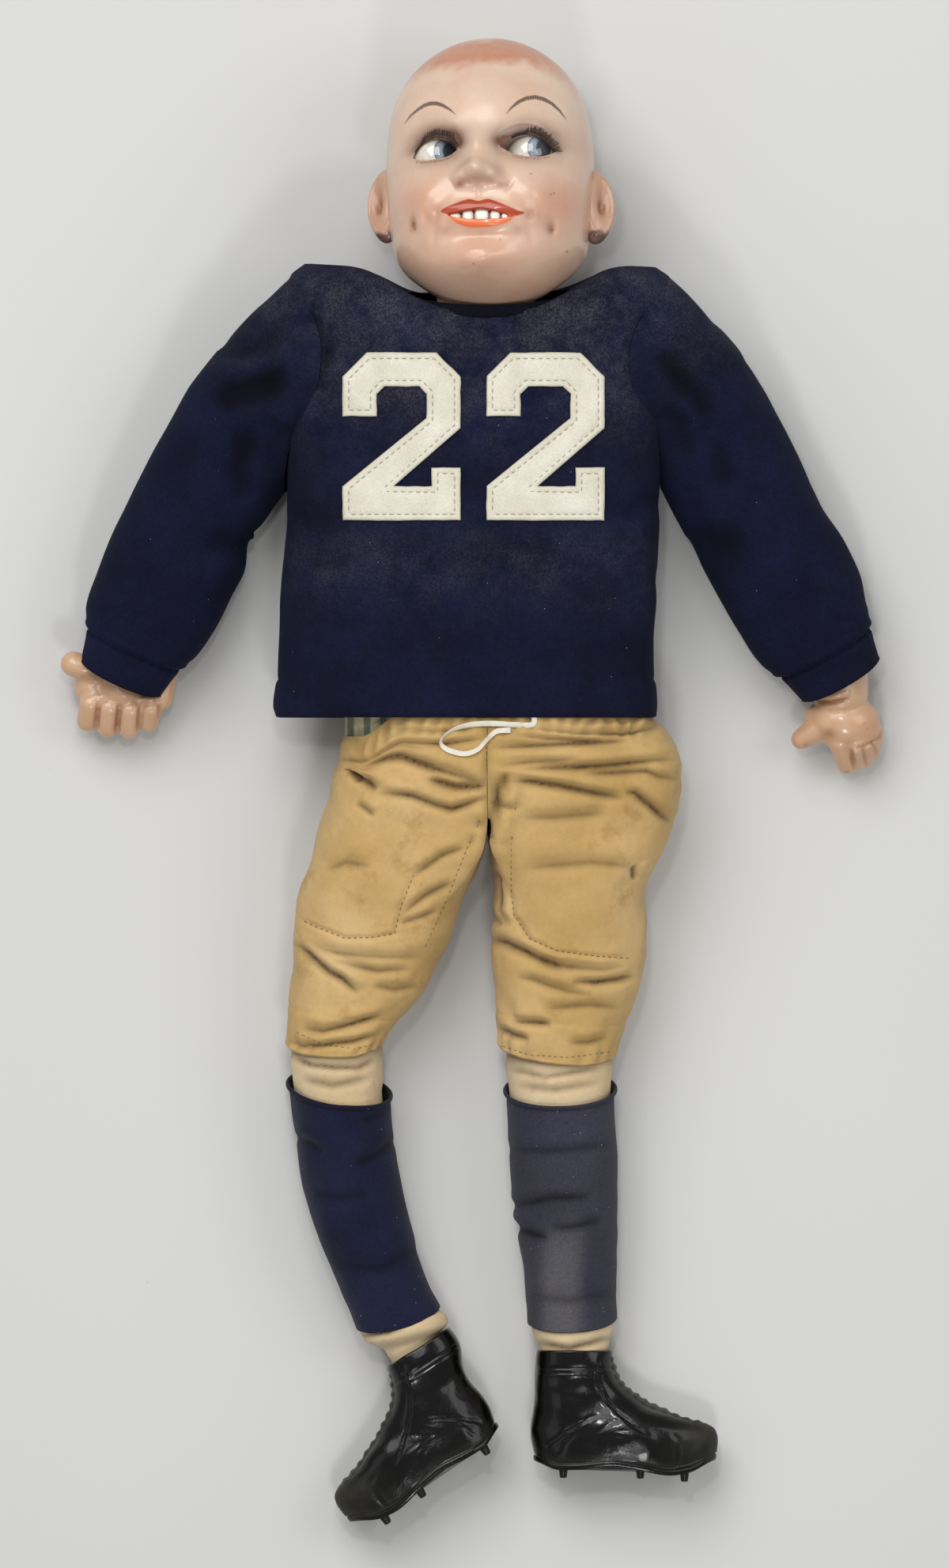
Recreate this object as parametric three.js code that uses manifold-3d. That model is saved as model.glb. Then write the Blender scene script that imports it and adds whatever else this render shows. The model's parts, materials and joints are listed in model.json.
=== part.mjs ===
// A football player doll, lying on its back with its arms and legs spread.
//
// The doll has a hollow moulded head with glancing glass eyes, a stuffed
// cloth body, a wool jersey with felt numerals, canvas knee pants, footless
// wool socks, moulded hands and moulded boots with round studs.
//
// Lengths are in millimetres. +X is to the right of someone who looks down
// at the doll, +Y runs to the crown of the head, +Z is up from the floor.
// "Right" and "left" in the names are the doll's own right and left.

import * as THREE from 'three';
import { mergeVertices } from 'three/addons/utils/BufferGeometryUtils.js';
import Module from 'manifold-3d';

const wasm = await Module();
wasm.setup();

// Clearances and cloth
const clearance = 0.4;
const knitThickness = 3;
const canvasThickness = 2;
const sockThickness = 1.8;
const feltThickness = 2;
const padThickness = 2.2;
const tapeThickness = 1.2;
const tapeWidth = 3;
const tieRadius = 1.3;
const sweepSpace = 1.4;

// Head
const headX = 8.6;
const headChinGap = 1.8;
const headZ = 64.5;
const headHalfHeight = 75;
const headPitch = 12;
const headYaw = 7;
const headRoll = 0.5;
const headWall = 4;
const faceWall = 13;
const headRoundness = 2.12;
const noseHeight = 13;
const noseLevel = -12;
const earHalfHeight = 20.5;
const earReach = 9.5;
const earThickness = 7;
const earLevel = -20;
const earTurn = 24;

// Eyes and the rod that turns them together
const eyeSpacing = 51;
const eyeLevel = 3.3;
const eyeballRadius = 13.5;
const eyeSetback = 12.7;
const eyeOpeningWidth = 25.5;
const eyeOpeningHeight = 11.5;
const eyeGlance = 22;
const eyePinRadius = 1.5;
const eyePinLength = 4.2;
const frameBarHeight = 4;
const frameBarDepth = 8;
const framePostWidth = 6;
const crankRadius = 19;
const crankThickness = 4;
const crankPinRadius = 1.2;
const crankPinLength = 4.6;
const slotPlay = 0.8;
const tieBarHeight = 3;
const tieBarDepth = 9;
const weightRadius = 5;
const weightHeight = 11;
const lashWidth = 2.4;
const lashThickness = 0.9;

// Mouth and teeth
const mouthLevel = -35;
const mouthWidth = 33;
const mouthHeight = 7;
const mouthFloor = 54.5;
const toothThickness = 3;
const toothPlay = 0.35;
const toothGroove = 0.7;

// Neck
const neckX = 6;
const neckZ = 52;
const neckRadius = 26.5;
const neckBore = 20;
const flangeRadius = 31;
const flangeHeight = 7;
const flangeLevel = 240;
const neckTopLevel = 300;
const collarLevel = 255.2;
const headY = collarLevel + headChinGap + headHalfHeight;

// Jersey body: level, left edge, right edge, lowest and highest point
const jerseyStations = [
  [38, -107, 98, 1.5, 92],
  [44, -108.5, 98.5, 0, 93],
  [58, -106.5, 98, -1, 94],
  [112, -104, 99.5, -1.5, 96],
  [169, -103, 101, -1.5, 97],
  [210, -103.5, 102.5, -1.5, 96],
  [245, -104, 106, -1.5, 93],
  [266, -104, 109, 3, 89],
  [277, -100, 107, 12, 82],
  [283, -92, 99, 24, 72],
];
const jerseyCorner = 3.1;
const neckbandWidth = 50;
const neckbandFront = 40;
const neckbandBack = 41;
const neckbandThickness = 1.7;
const neckbandRise = 2.4;
const neckbandHeight = 3;

// Stuffed body below the jersey and the pants over it
const waistLevel = 37;
const seatBottom = -24;
const chestBottom = 58;
const pelvisStations = [
  [-24, -60, 96, 12, 80],
  [-16, -70, 106, 6, 86],
  [0, -75, 112, 2.4, 90],
  [16, -75.5, 113, 1.4, 91.5],
  [28, -74, 110, 2, 91],
  [37, -72, 97, 4, 88.5],
  [60, -70, 92, 7, 85],
  [76, -64, 84, 12, 80],
];
const pelvisCorner = 2.7;

// Arms: joints, then share of the length, half width and half depth
const rightShoulder = new THREE.Vector3(-100, 241, 48);
const rightElbow = new THREE.Vector3(-150, 153, 35.5);
const rightWrist = new THREE.Vector3(-192, 60, 25);
const leftShoulder = new THREE.Vector3(105, 240, 48);
const leftElbow = new THREE.Vector3(149, 148, 35.5);
const leftWrist = new THREE.Vector3(199, 59, 25);
const upperSleeveStations = [
  [0, 34, 33],
  [0.25, 36.5, 33.5],
  [0.65, 37, 32.5],
  [1.05, 36, 30.5],
];
const lowerSleeveStations = [
  [0, 36, 30.5],
  [0.25, 36.5, 30],
  [0.55, 36, 29],
  [0.74, 33, 27],
  [0.82, 29, 25.5],
  [1, 24.5, 23.8],
];
const sleeveCorner = 2.15;
const cuffShare = 0.82;
const cuffRise = 0.9;
const forearmShare = 0.84;
const forearmTaper = 4.5;
const handStubRadius = 11;
const handStubLength = 15;
const shoulderRaise = 75;
const elbowBend = 60;

// Legs: joints, then share of the length, half width and half depth
const rightHip = new THREE.Vector3(-38, -3, 45);
const rightKnee = new THREE.Vector3(-75, -149, 30.5);
const rightAnkle = new THREE.Vector3(-38, -299, 22.5);
const leftHip = new THREE.Vector3(60, -3, 45);
const leftKnee = new THREE.Vector3(46, -153, 30.5);
const leftAnkle = new THREE.Vector3(54, -301, 22.5);
const rightThighStations = [
  [0, 43, 38],
  [0.2, 46, 39],
  [0.4, 44, 37],
  [0.7, 36.5, 32],
  [1.02, 27.5, 28.5],
];
const leftThighStations = [
  [0, 47, 38],
  [0.2, 48.5, 39],
  [0.4, 45.5, 37.5],
  [0.7, 39.5, 33],
  [1.02, 31.5, 28.8],
];
const rightShinStations = [
  [0, 25.8, 25.8],
  [0.14, 24.6, 25],
  [0.35, 25.6, 24.8],
  [0.6, 23.8, 22.8],
  [0.85, 21.2, 20.6],
  [0.95, 22.2, 20],
  [1.03, 19.6, 17.6],
  [1.12, 16, 16],
];
const leftShinStations = [
  [0, 29.4, 26.2],
  [0.14, 27.6, 25],
  [0.35, 28.2, 24.8],
  [0.6, 25.8, 22.8],
  [0.85, 22.6, 20.6],
  [0.95, 22.6, 20],
  [1.03, 19.6, 17.6],
  [1.12, 16, 16],
];
const legCorner = 2.15;
const pantsHemShare = 0.93;
const hemRise = 0.9;
const sockTopShare = 0.11;
const sockBottomShare = 0.93;
const sockCurl = 1.3;
const ankleStubShare = 1.14;
const rightShinBow = 8;
const hipLift = 70;
const kneeBend = 45;

// Boots
const bootToeTurnRight = 213;
const bootToeTurnLeft = 0;
const bootSoleDepth = 65.5;
const bootDropRight = 10;
const bootDropLeft = 6;
const weltReach = 1.1;
const weltHeight = 3.2;
const studRadius = 2.4;
const studHeight = 4.2;
const studSpread = 10;
const studPlaces = [-6, 36, 60];
const bootProfile = [
  // share of the way down to the middle of the welt, heel edge, front edge, half thickness
  [0, -20.5, 21.5, 19],
  [0.125, -20.8, 22, 19.4],
  [0.282, -21.5, 26, 18.6],
  [0.391, -22.2, 33.5, 18],
  [0.485, -22.8, 43.5, 18.4],
  [0.563, -23, 58, 19],
  [0.657, -23.2, 72.5, 19.6],
  [0.814, -23.2, 78, 20],
  [1, -21.5, 76.5, 19.4],
];
const weltMiddle = bootSoleDepth - weltHeight / 2;
const bootStations = bootProfile.map(([share, ...row]) => [share * weltMiddle, ...row]);

// Felt numerals on the chest
const numeralHeight = 91;
const numeralWidth = 64;
const numeralBar = 18.5;
const numeralBottom = 144;
const rightNumeralX = -71.5;
const leftNumeralX = 6.5;

// Hands
const palmWidth = 44;
const palmLength = 30;
const palmThickness = 24;
const fingerRadius = 6;
const fingerReach = 28;
const thumbReach = 33;
const thumbRadius = 6.4;
const handTurnRight = 6;
const handTurnLeft = 4;
const handDrop = 6;
const handReachRight = 0;
const handReachLeft = 10;
const handStretchRight = 1;
const handStretchLeft = 1.25;
const handStubReach = 8;

// How finely the round shapes are divided
const finest = 0.03;
const bodySides = 16;
const limbSides = 12;
const ballSides = 12;

const axisX = new THREE.Vector3(1, 0, 0);
const axisY = new THREE.Vector3(0, 1, 0);
const axisZ = new THREE.Vector3(0, 0, 1);
const radians = THREE.MathUtils.degToRad;

// Materials
function paint(colour, roughness, metalness = 0) {
  return new THREE.MeshStandardMaterial({ color: colour, roughness, metalness });
}

const flesh = paint(0xd9b396, 0.25);
const ivory = paint(0xf1ead8, 0.2);
const glassEye = paint(0xe9e6da, 0.08);
const darkHair = paint(0x2b1c16, 0.8);
const woolNavy = paint(0x181b38, 0.95);
const felt = paint(0xdcd5bd, 0.95);
const canvas = paint(0xc6a468, 0.9);
const muslin = paint(0xcfb98f, 0.92);
const sockWool = paint(0x2b2b42, 0.92);
const bootBlack = paint(0x14130f, 0.25);
const cottonTape = paint(0xe9e4d3, 0.85);
const steel = paint(0x8c8f92, 0.4, 0.9);
const lead = paint(0x6d7074, 0.6, 0.7);
const string = paint(0xb8a888, 0.9);

// From a closed surface to a solid that can be cut, and back
function solidOf(geometry) {
  const bare = geometry.clone();
  bare.deleteAttribute('normal');
  bare.deleteAttribute('uv');
  const welded = mergeVertices(bare, 1e-4);
  return new wasm.Manifold(new wasm.Mesh({
    numProp: 3,
    vertProperties: new Float32Array(welded.attributes.position.array),
    triVerts: new Uint32Array(welded.index.array),
  }));
}

function geometryOf(solid) {
  const mesh = solid.getMesh();
  const points = new Float32Array(mesh.numVert * 3);
  for (let i = 0; i < mesh.numVert; i += 1) {
    for (let k = 0; k < 3; k += 1) {
      points[i * 3 + k] = mesh.vertProperties[i * mesh.numProp + k];
    }
  }
  const geometry = new THREE.BufferGeometry();
  geometry.setAttribute('position', new THREE.BufferAttribute(points, 3));
  geometry.setIndex(new THREE.BufferAttribute(new Uint32Array(mesh.triVerts), 1));
  geometry.computeVertexNormals();
  return geometry;
}

// A closed skin through rings of equal count, capped at both ends
function skin(rings) {
  const count = rings[0].length;
  const points = rings.flat();
  const faces = [];
  for (let r = 0; r < rings.length - 1; r += 1) {
    for (let i = 0; i < count; i += 1) {
      const j = (i + 1) % count;
      const a = r * count + i;
      const b = r * count + j;
      faces.push(a, b, b + count, a, b + count, a + count);
    }
  }
  const first = points.length;
  const middle = (ring) => {
    const sum = new THREE.Vector3();
    ring.forEach((point) => sum.add(point));
    return sum.divideScalar(ring.length);
  };
  points.push(middle(rings[0]), middle(rings[rings.length - 1]));
  const lastRing = (rings.length - 1) * count;
  for (let i = 0; i < count; i += 1) {
    const j = (i + 1) % count;
    faces.push(first, j, i);
    faces.push(first + 1, lastRing + i, lastRing + j);
  }
  return closedSurface(points, faces);
}

// Puts points and faces together with the faces pointing outward
function closedSurface(points, faces) {
  let volume = 0;
  for (let f = 0; f < faces.length; f += 3) {
    const [a, b, c] = [points[faces[f]], points[faces[f + 1]], points[faces[f + 2]]];
    volume += a.dot(new THREE.Vector3().crossVectors(b, c));
  }
  const ordered = volume > 0 ? faces : faces.slice().reverse();
  const geometry = new THREE.BufferGeometry();
  geometry.setAttribute('position', new THREE.BufferAttribute(
    new Float32Array(points.flatMap((point) => [point.x, point.y, point.z])), 3));
  geometry.setIndex(ordered);
  return geometry;
}

// Smooth reading between the rows of a table whose first column rises
function readTable(rows, where) {
  const last = rows.length - 1;
  if (where <= rows[0][0]) return rows[0].slice(1);
  if (where >= rows[last][0]) return rows[last].slice(1);
  let i = 0;
  while (rows[i + 1][0] < where) i += 1;
  const step = rows[i + 1][0] - rows[i][0];
  const t = (where - rows[i][0]) / step;
  return rows[i].slice(1).map((value, k) => {
    const slope = (m) => {
      const lower = rows[Math.max(m - 1, 0)];
      const upper = rows[Math.min(m + 1, last)];
      return (upper[k + 1] - lower[k + 1]) / (upper[0] - lower[0]);
    };
    const next = rows[i + 1][k + 1];
    const h = t * t * (3 - 2 * t);
    const rise = t * (1 - t) * (1 - t) * slope(i) - t * t * (1 - t) * slope(i + 1);
    return value * (1 - h) + next * h + rise * step;
  });
}

// One ring of a rounded section; a corner value of 2 is an ellipse
function ovalRing(centre, side, up, halfWidth, halfDepth, corner, sides) {
  const ring = [];
  for (let i = 0; i < sides; i += 1) {
    const angle = (i / sides) * Math.PI * 2;
    const c = Math.cos(angle);
    const s = Math.sin(angle);
    const across = Math.sign(c) * Math.abs(c) ** (2 / corner) * halfWidth;
    const high = Math.sign(s) * Math.abs(s) ** (2 / corner) * halfDepth;
    ring.push(centre.clone().addScaledVector(side, across).addScaledVector(up, high));
  }
  return ring;
}

// Body shapes: stations along Y with their edges, grown or shrunk all round
function bodySkin(stations, from, to, grow, corner, stretch = 1) {
  const start = stations[0][0];
  const stretched = stations.map(([place]) => start + (place - start) * stretch);
  const between = stretched.filter((level) => level > from + 0.5 && level < to - 0.5);
  return skin([from, ...between, to].map((level) => {
    const place = start + (level - start) / stretch;
    const [low, high, bottom, top] = readTable(stations, place);
    const centre = new THREE.Vector3((low + high) / 2, level, (bottom + top) / 2);
    const halfWidth = (high - low) / 2 + grow;
    const halfDepth = (top - bottom) / 2 + grow;
    return ovalRing(centre, axisX, axisZ, halfWidth, halfDepth, corner, bodySides);
  }));
}

function spaced(from, to, count) {
  return Array.from({ length: count + 1 }, (_, i) => from + ((to - from) * i) / count);
}

// A limb runs from one joint to the next; its rings lie in the plane of the
// hinge at each end and turn smoothly from one to the other
function makeLimb(start, end, stations, corner, sideStart, sideEnd, bow = 0) {
  return { start, end, stations, corner, sideStart, sideEnd, bow };
}

function limbFrame(limb, share) {
  const along = limb.end.clone().sub(limb.start).normalize();
  const side = limb.sideStart.clone().lerp(limb.sideEnd, Math.min(share, 1)).normalize();
  const up = new THREE.Vector3().crossVectors(side, along).normalize();
  if (up.z < 0) up.negate();
  return { along, side, up };
}

function limbRing(limb, share, grow) {
  const { side, up } = limbFrame(limb, share);
  const centre = limb.start.clone().lerp(limb.end, share);
  const bowShare = Math.sin(Math.PI * Math.min(Math.max(share, 0), 1));
  centre.addScaledVector(side, -limb.bow * bowShare);
  const [halfWidth, halfDepth] = readTable(limb.stations, share);
  return ovalRing(centre, side, up, halfWidth + grow, halfDepth + grow, limb.corner, limbSides);
}

function limbShares(limb, from, to) {
  const between = limb.stations.map(([share]) => share)
    .filter((share) => share > from + 0.01 && share < to - 0.01);
  return [from, ...between, to];
}

function limbSkin(limb, from, to, grow) {
  return skin(limbShares(limb, from, to).map((share) => limbRing(limb, share, grow)));
}

// The same with a growth of its own for each ring, for hems, cuffs and curls
function hemmedSkin(limb, rings) {
  return skin(rings.map(([share, grow]) => limbRing(limb, share, grow)));
}

// The round end of a limb: a ball that is true to the hinge it turns on
function limbBall(limb, grow, hinge, swell = 1) {
  const [halfWidth, halfDepth] = limb.stations[0].slice(1);
  const wide = halfWidth + grow;
  const deep = halfDepth + grow;
  const { side } = limbFrame(limb, 0);
  const ball = new THREE.SphereGeometry(1, ballSides, ballSides / 2);
  const upright = Math.abs(hinge.z) > 0.5;
  const pole = upright ? axisZ : side;
  const radius = (upright ? wide : deep) * swell;
  const length = upright ? deep : wide;
  const turn = new THREE.Quaternion().setFromUnitVectors(axisY, pole);
  ball.scale(radius, length, radius);
  ball.applyQuaternion(turn);
  ball.translate(limb.start.x, limb.start.y, limb.start.z);
  return ball;
}

function turned(geometry, pivot, axis, degrees) {
  const copy = geometry.clone();
  copy.translate(-pivot.x, -pivot.y, -pivot.z);
  copy.applyMatrix4(new THREE.Matrix4().makeRotationAxis(axis, radians(degrees)));
  copy.translate(pivot.x, pivot.y, pivot.z);
  return copy;
}

// All the room that a limb needs as it turns from rest to its limit; the
// socket is as wide as the corners of the faceted ball that turns in it
function limbSweep(limb, hinge, limit, grow) {
  const corners = 1 / Math.cos(Math.PI / ballSides);
  let room = solidOf(limbBall(limb, clearance, hinge, corners));
  const tube = limbSkin(limb, 0, 1, grow + sweepSpace);
  const steps = Math.ceil(limit / 30);
  for (let i = 0; i <= steps; i += 1) {
    room = room.add(solidOf(turned(tube, limb.start, hinge, (limit * i) / steps)));
  }
  return room;
}

// A flat outline pushed up along Z between two heights
function slab(outline, from, to) {
  const shape = new THREE.Shape(outline.map(([x, y]) => new THREE.Vector2(x, y)));
  const body = new THREE.ExtrudeGeometry(shape, { depth: to - from, bevelEnabled: false });
  body.translate(0, 0, from);
  return body;
}

function boxAt(x, y, z, width, height, depth) {
  const box = new THREE.BoxGeometry(width, height, depth);
  box.translate(x, y, z);
  return box;
}

// A turned body: a closed outline of radius and level, spun about the neck
function aboutNeck(profile) {
  const body = new THREE.LatheGeometry(
    profile.map(([radius, level]) => new THREE.Vector2(radius, level)), 20);
  body.translate(neckX, 0, neckZ);
  return body;
}

// A ring of string about a centre, in the plane square to its axis
function stringRing(centre, axis, radius, thickness) {
  const steps = 12;
  const ring = new THREE.TorusGeometry(radius / Math.cos(Math.PI / steps), thickness, 4, steps);
  ring.applyQuaternion(new THREE.Quaternion().setFromUnitVectors(axisZ, axis));
  ring.translate(centre.x, centre.y, centre.z);
  return ring;
}

// HEAD
// Height share, half width, reach of the face, reach of the back of the head
const headStations = [
  [-1, 66, 92, 42],
  [-0.84, 66, 92, 45],
  [-0.69, 67, 78, 50],
  [-0.46, 60.8, 66, 56],
  [-0.165, 56.7, 60, 62],
  [0.13, 56.6, 59, 63],
  [0.42, 58.8, 60, 62.5],
  [0.71, 61.4, 59, 60],
  [1, 62, 57, 56],
];
const faceAtEyes = readTable(headStations, eyeLevel / headHalfHeight)[1];
const eyeballDepth = faceAtEyes - eyeSetback - eyeballRadius;

function hill(x, y, centreX, centreY, widthX, widthY) {
  return Math.exp(-(((x - centreX) / widthX) ** 2) - (((y - centreY) / widthY) ** 2));
}

// How far the modelled face stands proud of the plain egg of the head
function faceRelief(x, y) {
  const across = Math.abs(x);
  let rise = noseHeight * hill(across, y, 0, noseLevel, 7.5, 7);
  rise += 5 * hill(across, y, 0, noseLevel + 12, 5, 8);
  rise += 4 * hill(across, y, 9.5, noseLevel - 3, 4, 4.5);
  rise += 5 * hill(across, y, 30, -27, 15, 14);
  rise += 3.5 * hill(across, y, 0, mouthLevel, 19, 7);
  rise += 6 * hill(across, y, 0, -60, 14, 8);
  rise -= 6.5 * hill(across, y, eyeSpacing / 2, eyeLevel, 13, 9);
  rise -= 2.5 * hill(across, y, 0, mouthLevel - 12, 16, 4);
  return rise;
}

const headHeights = [
  1, 0.98, 0.88, 0.72, 0.52, 0.34, 0.18, 0.06, -0.05, -0.12,
  -0.18, -0.24, -0.33, -0.41, -0.48, -0.57, -0.68, -0.8,
  -0.91, -0.98, -1,
];
const headAngles = [
  ...spaced(0, 180, 16).slice(0, -1).map((angle) => 90 + (angle - 90) * (0.55 + 0.45
    * Math.abs((angle - 90) / 90))),
  ...spaced(180, 360, 7).slice(0, -1),
].map(radians);

function headRing(share, grow, angles, relief) {
  const [width, face, back] = readTable(headStations, share);
  const round = Math.sqrt(Math.max(0, 1 - share * share));
  const y = share * (headHalfHeight + grow);
  return angles.map((angle) => {
    const c = Math.cos(angle);
    const s = Math.sin(angle);
    const reach = s > 0 ? face : back;
    const power = 2 / headRoundness;
    const x = Math.sign(c) * Math.abs(c) ** power * (width * round + grow);
    const z = Math.sign(s) * Math.abs(s) ** power * (reach * round + grow);
    const lift = relief && s > 0 ? faceRelief(x, y) * Math.min(1, s * 1.6) : 0;
    return new THREE.Vector3(x, y, z + lift);
  });
}

function headSkin(grow) {
  const inner = headHeights.slice(1, -1);
  return skin(inner.map((share) => headRing(share, grow, headAngles, true)));
}

function headCavity(extra) {
  const angles = spaced(0, 360, 10).slice(0, -1).map(radians);
  const shares = spaced(-0.96, 0.96, 6);
  return skin(shares.map((share) => headRing(share, 0, angles, false).map((point) => {
    const frontWall = point.z > 0 ? faceWall : headWall;
    const scaleZ = 1 - (frontWall + extra) / 60;
    const scaleX = 1 - (headWall + extra) / 57;
    const scaleY = 1 - (headWall + extra) / headHalfHeight;
    return new THREE.Vector3(point.x * scaleX, point.y * scaleY, point.z * scaleZ);
  })));
}

const headMatrix = new THREE.Matrix4()
  .makeTranslation(headX, headY, headZ)
  .multiply(new THREE.Matrix4().makeRotationX(radians(-headPitch)))
  .multiply(new THREE.Matrix4().makeRotationY(radians(-headYaw)))
  .multiply(new THREE.Matrix4().makeRotationZ(radians(headRoll)));

function inHead(geometry) {
  return geometry.clone().applyMatrix4(headMatrix);
}

// An eye opening or mouth: two arcs that meet at the corners
function lens(x, y, width, above, below, points = 8) {
  const outline = [];
  for (let i = 0; i <= points; i += 1) {
    const t = -1 + (2 * i) / points;
    outline.push([x + (t * width) / 2, y - below * (1 - t * t)]);
  }
  for (let i = points - 1; i > 0; i -= 1) {
    const t = -1 + (2 * i) / points;
    outline.push([x + (t * width) / 2, y + above * (1 - t * t)]);
  }
  return outline;
}

function eyeOutline(side, grow) {
  return lens(side * (eyeSpacing / 2), eyeLevel, eyeOpeningWidth + 2 * grow,
    eyeOpeningHeight * 0.56 + grow, eyeOpeningHeight * 0.44 + grow);
}

function mouthOutline(shrink) {
  return lens(0, mouthLevel, mouthWidth - 4 * shrink,
    mouthHeight * 0.28 - shrink, mouthHeight * 0.72 - shrink);
}

function eyeCentre(side) {
  return new THREE.Vector3(side * (eyeSpacing / 2), eyeLevel, eyeballDepth);
}

const eyeBarCentre = eyeballRadius + clearance + 0.6 + frameBarHeight / 2;

function uprightPin(x, y, z, radius, length, sides = 8) {
  const pin = new THREE.CylinderGeometry(radius, radius, length, sides);
  pin.translate(x, y, z);
  return pin;
}

function earShape(side) {
  const ear = new THREE.SphereGeometry(1, 12, 7);
  ear.scale(earReach, earHalfHeight, earThickness);
  ear.rotateY(radians(side * earTurn));
  ear.translate(side * (56 + earReach * 0.25), earLevel, -2);
  return ear;
}

function headShell() {
  const neck = aboutNeck([
    [0, flangeLevel],
    [flangeRadius, flangeLevel],
    [flangeRadius, flangeLevel + flangeHeight],
    [neckRadius, flangeLevel + flangeHeight],
    [neckRadius, neckTopLevel],
    [0, neckTopLevel],
  ]);
  const bore = aboutNeck([
    [0, flangeLevel - 1],
    [neckBore, flangeLevel - 1],
    [neckBore, neckTopLevel + 12],
    [0, neckTopLevel + 12],
  ]);
  let shell = solidOf(inHead(headSkin(0)));
  shell = shell.add(solidOf(inHead(earShape(-1)))).add(solidOf(inHead(earShape(1))));
  shell = shell.add(solidOf(neck));
  shell = shell.subtract(solidOf(inHead(headCavity(0)))).subtract(solidOf(bore));
  for (const side of [-1, 1]) {
    const centre = eyeCentre(side);
    const pocket = new THREE.SphereGeometry(eyeballRadius + 2 * clearance, 12, 9);
    pocket.translate(centre.x, centre.y, centre.z);
    shell = shell.subtract(solidOf(inHead(pocket)));
    const opening = slab(eyeOutline(side, 0), eyeballDepth, eyeballDepth + 60);
    shell = shell.subtract(solidOf(inHead(opening)));
  }
  const mouth = slab(mouthOutline(0), mouthFloor, mouthFloor + 60);
  return shell.subtract(solidOf(inHead(mouth)));
}

function teethBar() {
  const front = mouthFloor + toothPlay + toothThickness;
  let teeth = solidOf(slab(mouthOutline(toothPlay), mouthFloor + toothPlay, front));
  for (const x of [-9.8, -3.7, 3.7, 9.8]) {
    const groove = boxAt(x, mouthLevel, front, toothGroove, mouthHeight * 2, toothThickness);
    teeth = teeth.subtract(solidOf(groove));
  }
  return inHead(geometryOf(teeth));
}

// The brace behind the face that carries both eyes on their pins
function eyeFrame() {
  const z = eyeballDepth;
  let frame = null;
  for (const level of [eyeLevel + eyeBarCentre, eyeLevel - eyeBarCentre]) {
    let bar = solidOf(boxAt(0, level, z, 130, frameBarHeight, frameBarDepth));
    for (const side of [-1, 1]) {
      const hole = uprightPin(eyeCentre(side).x, level, z, eyePinRadius + clearance, 12, 10);
      bar = bar.subtract(solidOf(hole));
    }
    frame = frame ? frame.add(bar) : bar;
  }
  frame = frame.add(solidOf(boxAt(0, eyeLevel, z, framePostWidth, eyeBarCentre * 2, frameBarDepth)));
  return inHead(geometryOf(frame.intersect(solidOf(headCavity(clearance)))));
}

// A glass eye with its two pins and the crank behind it, turned to a side
function eyeball(side) {
  const centre = eyeCentre(side);
  const pinLevel = eyeballRadius - 1 + eyePinLength / 2;
  let eye = solidOf(new THREE.SphereGeometry(eyeballRadius, 12, 9));
  eye = eye.add(solidOf(uprightPin(0, pinLevel, 0, eyePinRadius, eyePinLength)));
  eye = eye.add(solidOf(uprightPin(0, -pinLevel, 0, eyePinRadius, eyePinLength)));
  const armLength = crankRadius - eyeballRadius / 2 + crankPinRadius;
  const armMiddle = -(eyeballRadius / 2 + armLength / 2);
  eye = eye.add(solidOf(boxAt(0, 0, armMiddle, 5, crankThickness, armLength)));
  const pinMiddle = crankThickness / 2 + crankPinLength / 2 - 0.2;
  const pin = uprightPin(0, pinMiddle, -crankRadius, crankPinRadius, crankPinLength);
  eye = eye.add(solidOf(pin));
  const shape = geometryOf(eye);
  shape.rotateY(radians(eyeGlance));
  shape.translate(centre.x, centre.y, centre.z);
  return inHead(shape);
}

const glanceShift = -crankRadius * Math.sin(radians(eyeGlance));
const tieBarLevel = eyeLevel + crankThickness / 2 + 0.5 + tieBarHeight / 2;
const tieBarZ = eyeballDepth - crankRadius * (1 + Math.cos(radians(eyeGlance))) / 2;

// The bar that joins the two cranks; each slot lets its pin swing forward
function tieBar() {
  const length = eyeSpacing + 12;
  let bar = solidOf(boxAt(glanceShift, tieBarLevel, tieBarZ, length, tieBarHeight, tieBarDepth));
  const swing = crankRadius * (1 - Math.cos(radians(eyeGlance)));
  const slotDepth = swing + 2 * (crankPinRadius + slotPlay);
  const slotWidth = 2 * (crankPinRadius + slotPlay / 2);
  for (const side of [-1, 1]) {
    const x = side * (eyeSpacing / 2) + glanceShift;
    bar = bar.subtract(solidOf(boxAt(x, tieBarLevel, tieBarZ, slotWidth, 10, slotDepth)));
  }
  return inHead(geometryOf(bar));
}

function eyeWeight() {
  const level = tieBarLevel + tieBarHeight / 2 + 0.3 + weightHeight / 2;
  return inHead(uprightPin(glanceShift, level, tieBarZ, weightRadius, weightHeight, 14));
}

// A strip of lashes that lies on the upper lid just above its edge
function lashStrip(side) {
  const base = eyeOutline(side, 0.4).slice(9);
  const rim = eyeOutline(side, 0.4 + lashWidth).slice(9);
  const outline = [...base, ...rim.reverse()];
  let lash = solidOf(slab(outline, eyeballDepth, eyeballDepth + 60));
  lash = lash.intersect(solidOf(headSkin(0.35 + lashThickness)));
  return inHead(geometryOf(lash.subtract(solidOf(headSkin(0.35)))));
}

// BODY AND CLOTHES OF THE TRUNK
const jerseyTop = jerseyStations[jerseyStations.length - 1][0];
const jerseyHem = jerseyStations[0][0];

// The space in which the head turns, as seen from the neck
const headRoom = aboutNeck([
  [0, collarLevel],
  [44, collarLevel],
  [53, collarLevel + 2.5],
  [59, collarLevel + 7],
  [63, collarLevel + 13],
  [66, collarLevel + 21],
  [67, collarLevel + 60],
  [0, collarLevel + 60],
]);

function jerseyOuter(grow) {
  return bodySkin(jerseyStations, jerseyHem, jerseyTop, grow, jerseyCorner);
}

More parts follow.
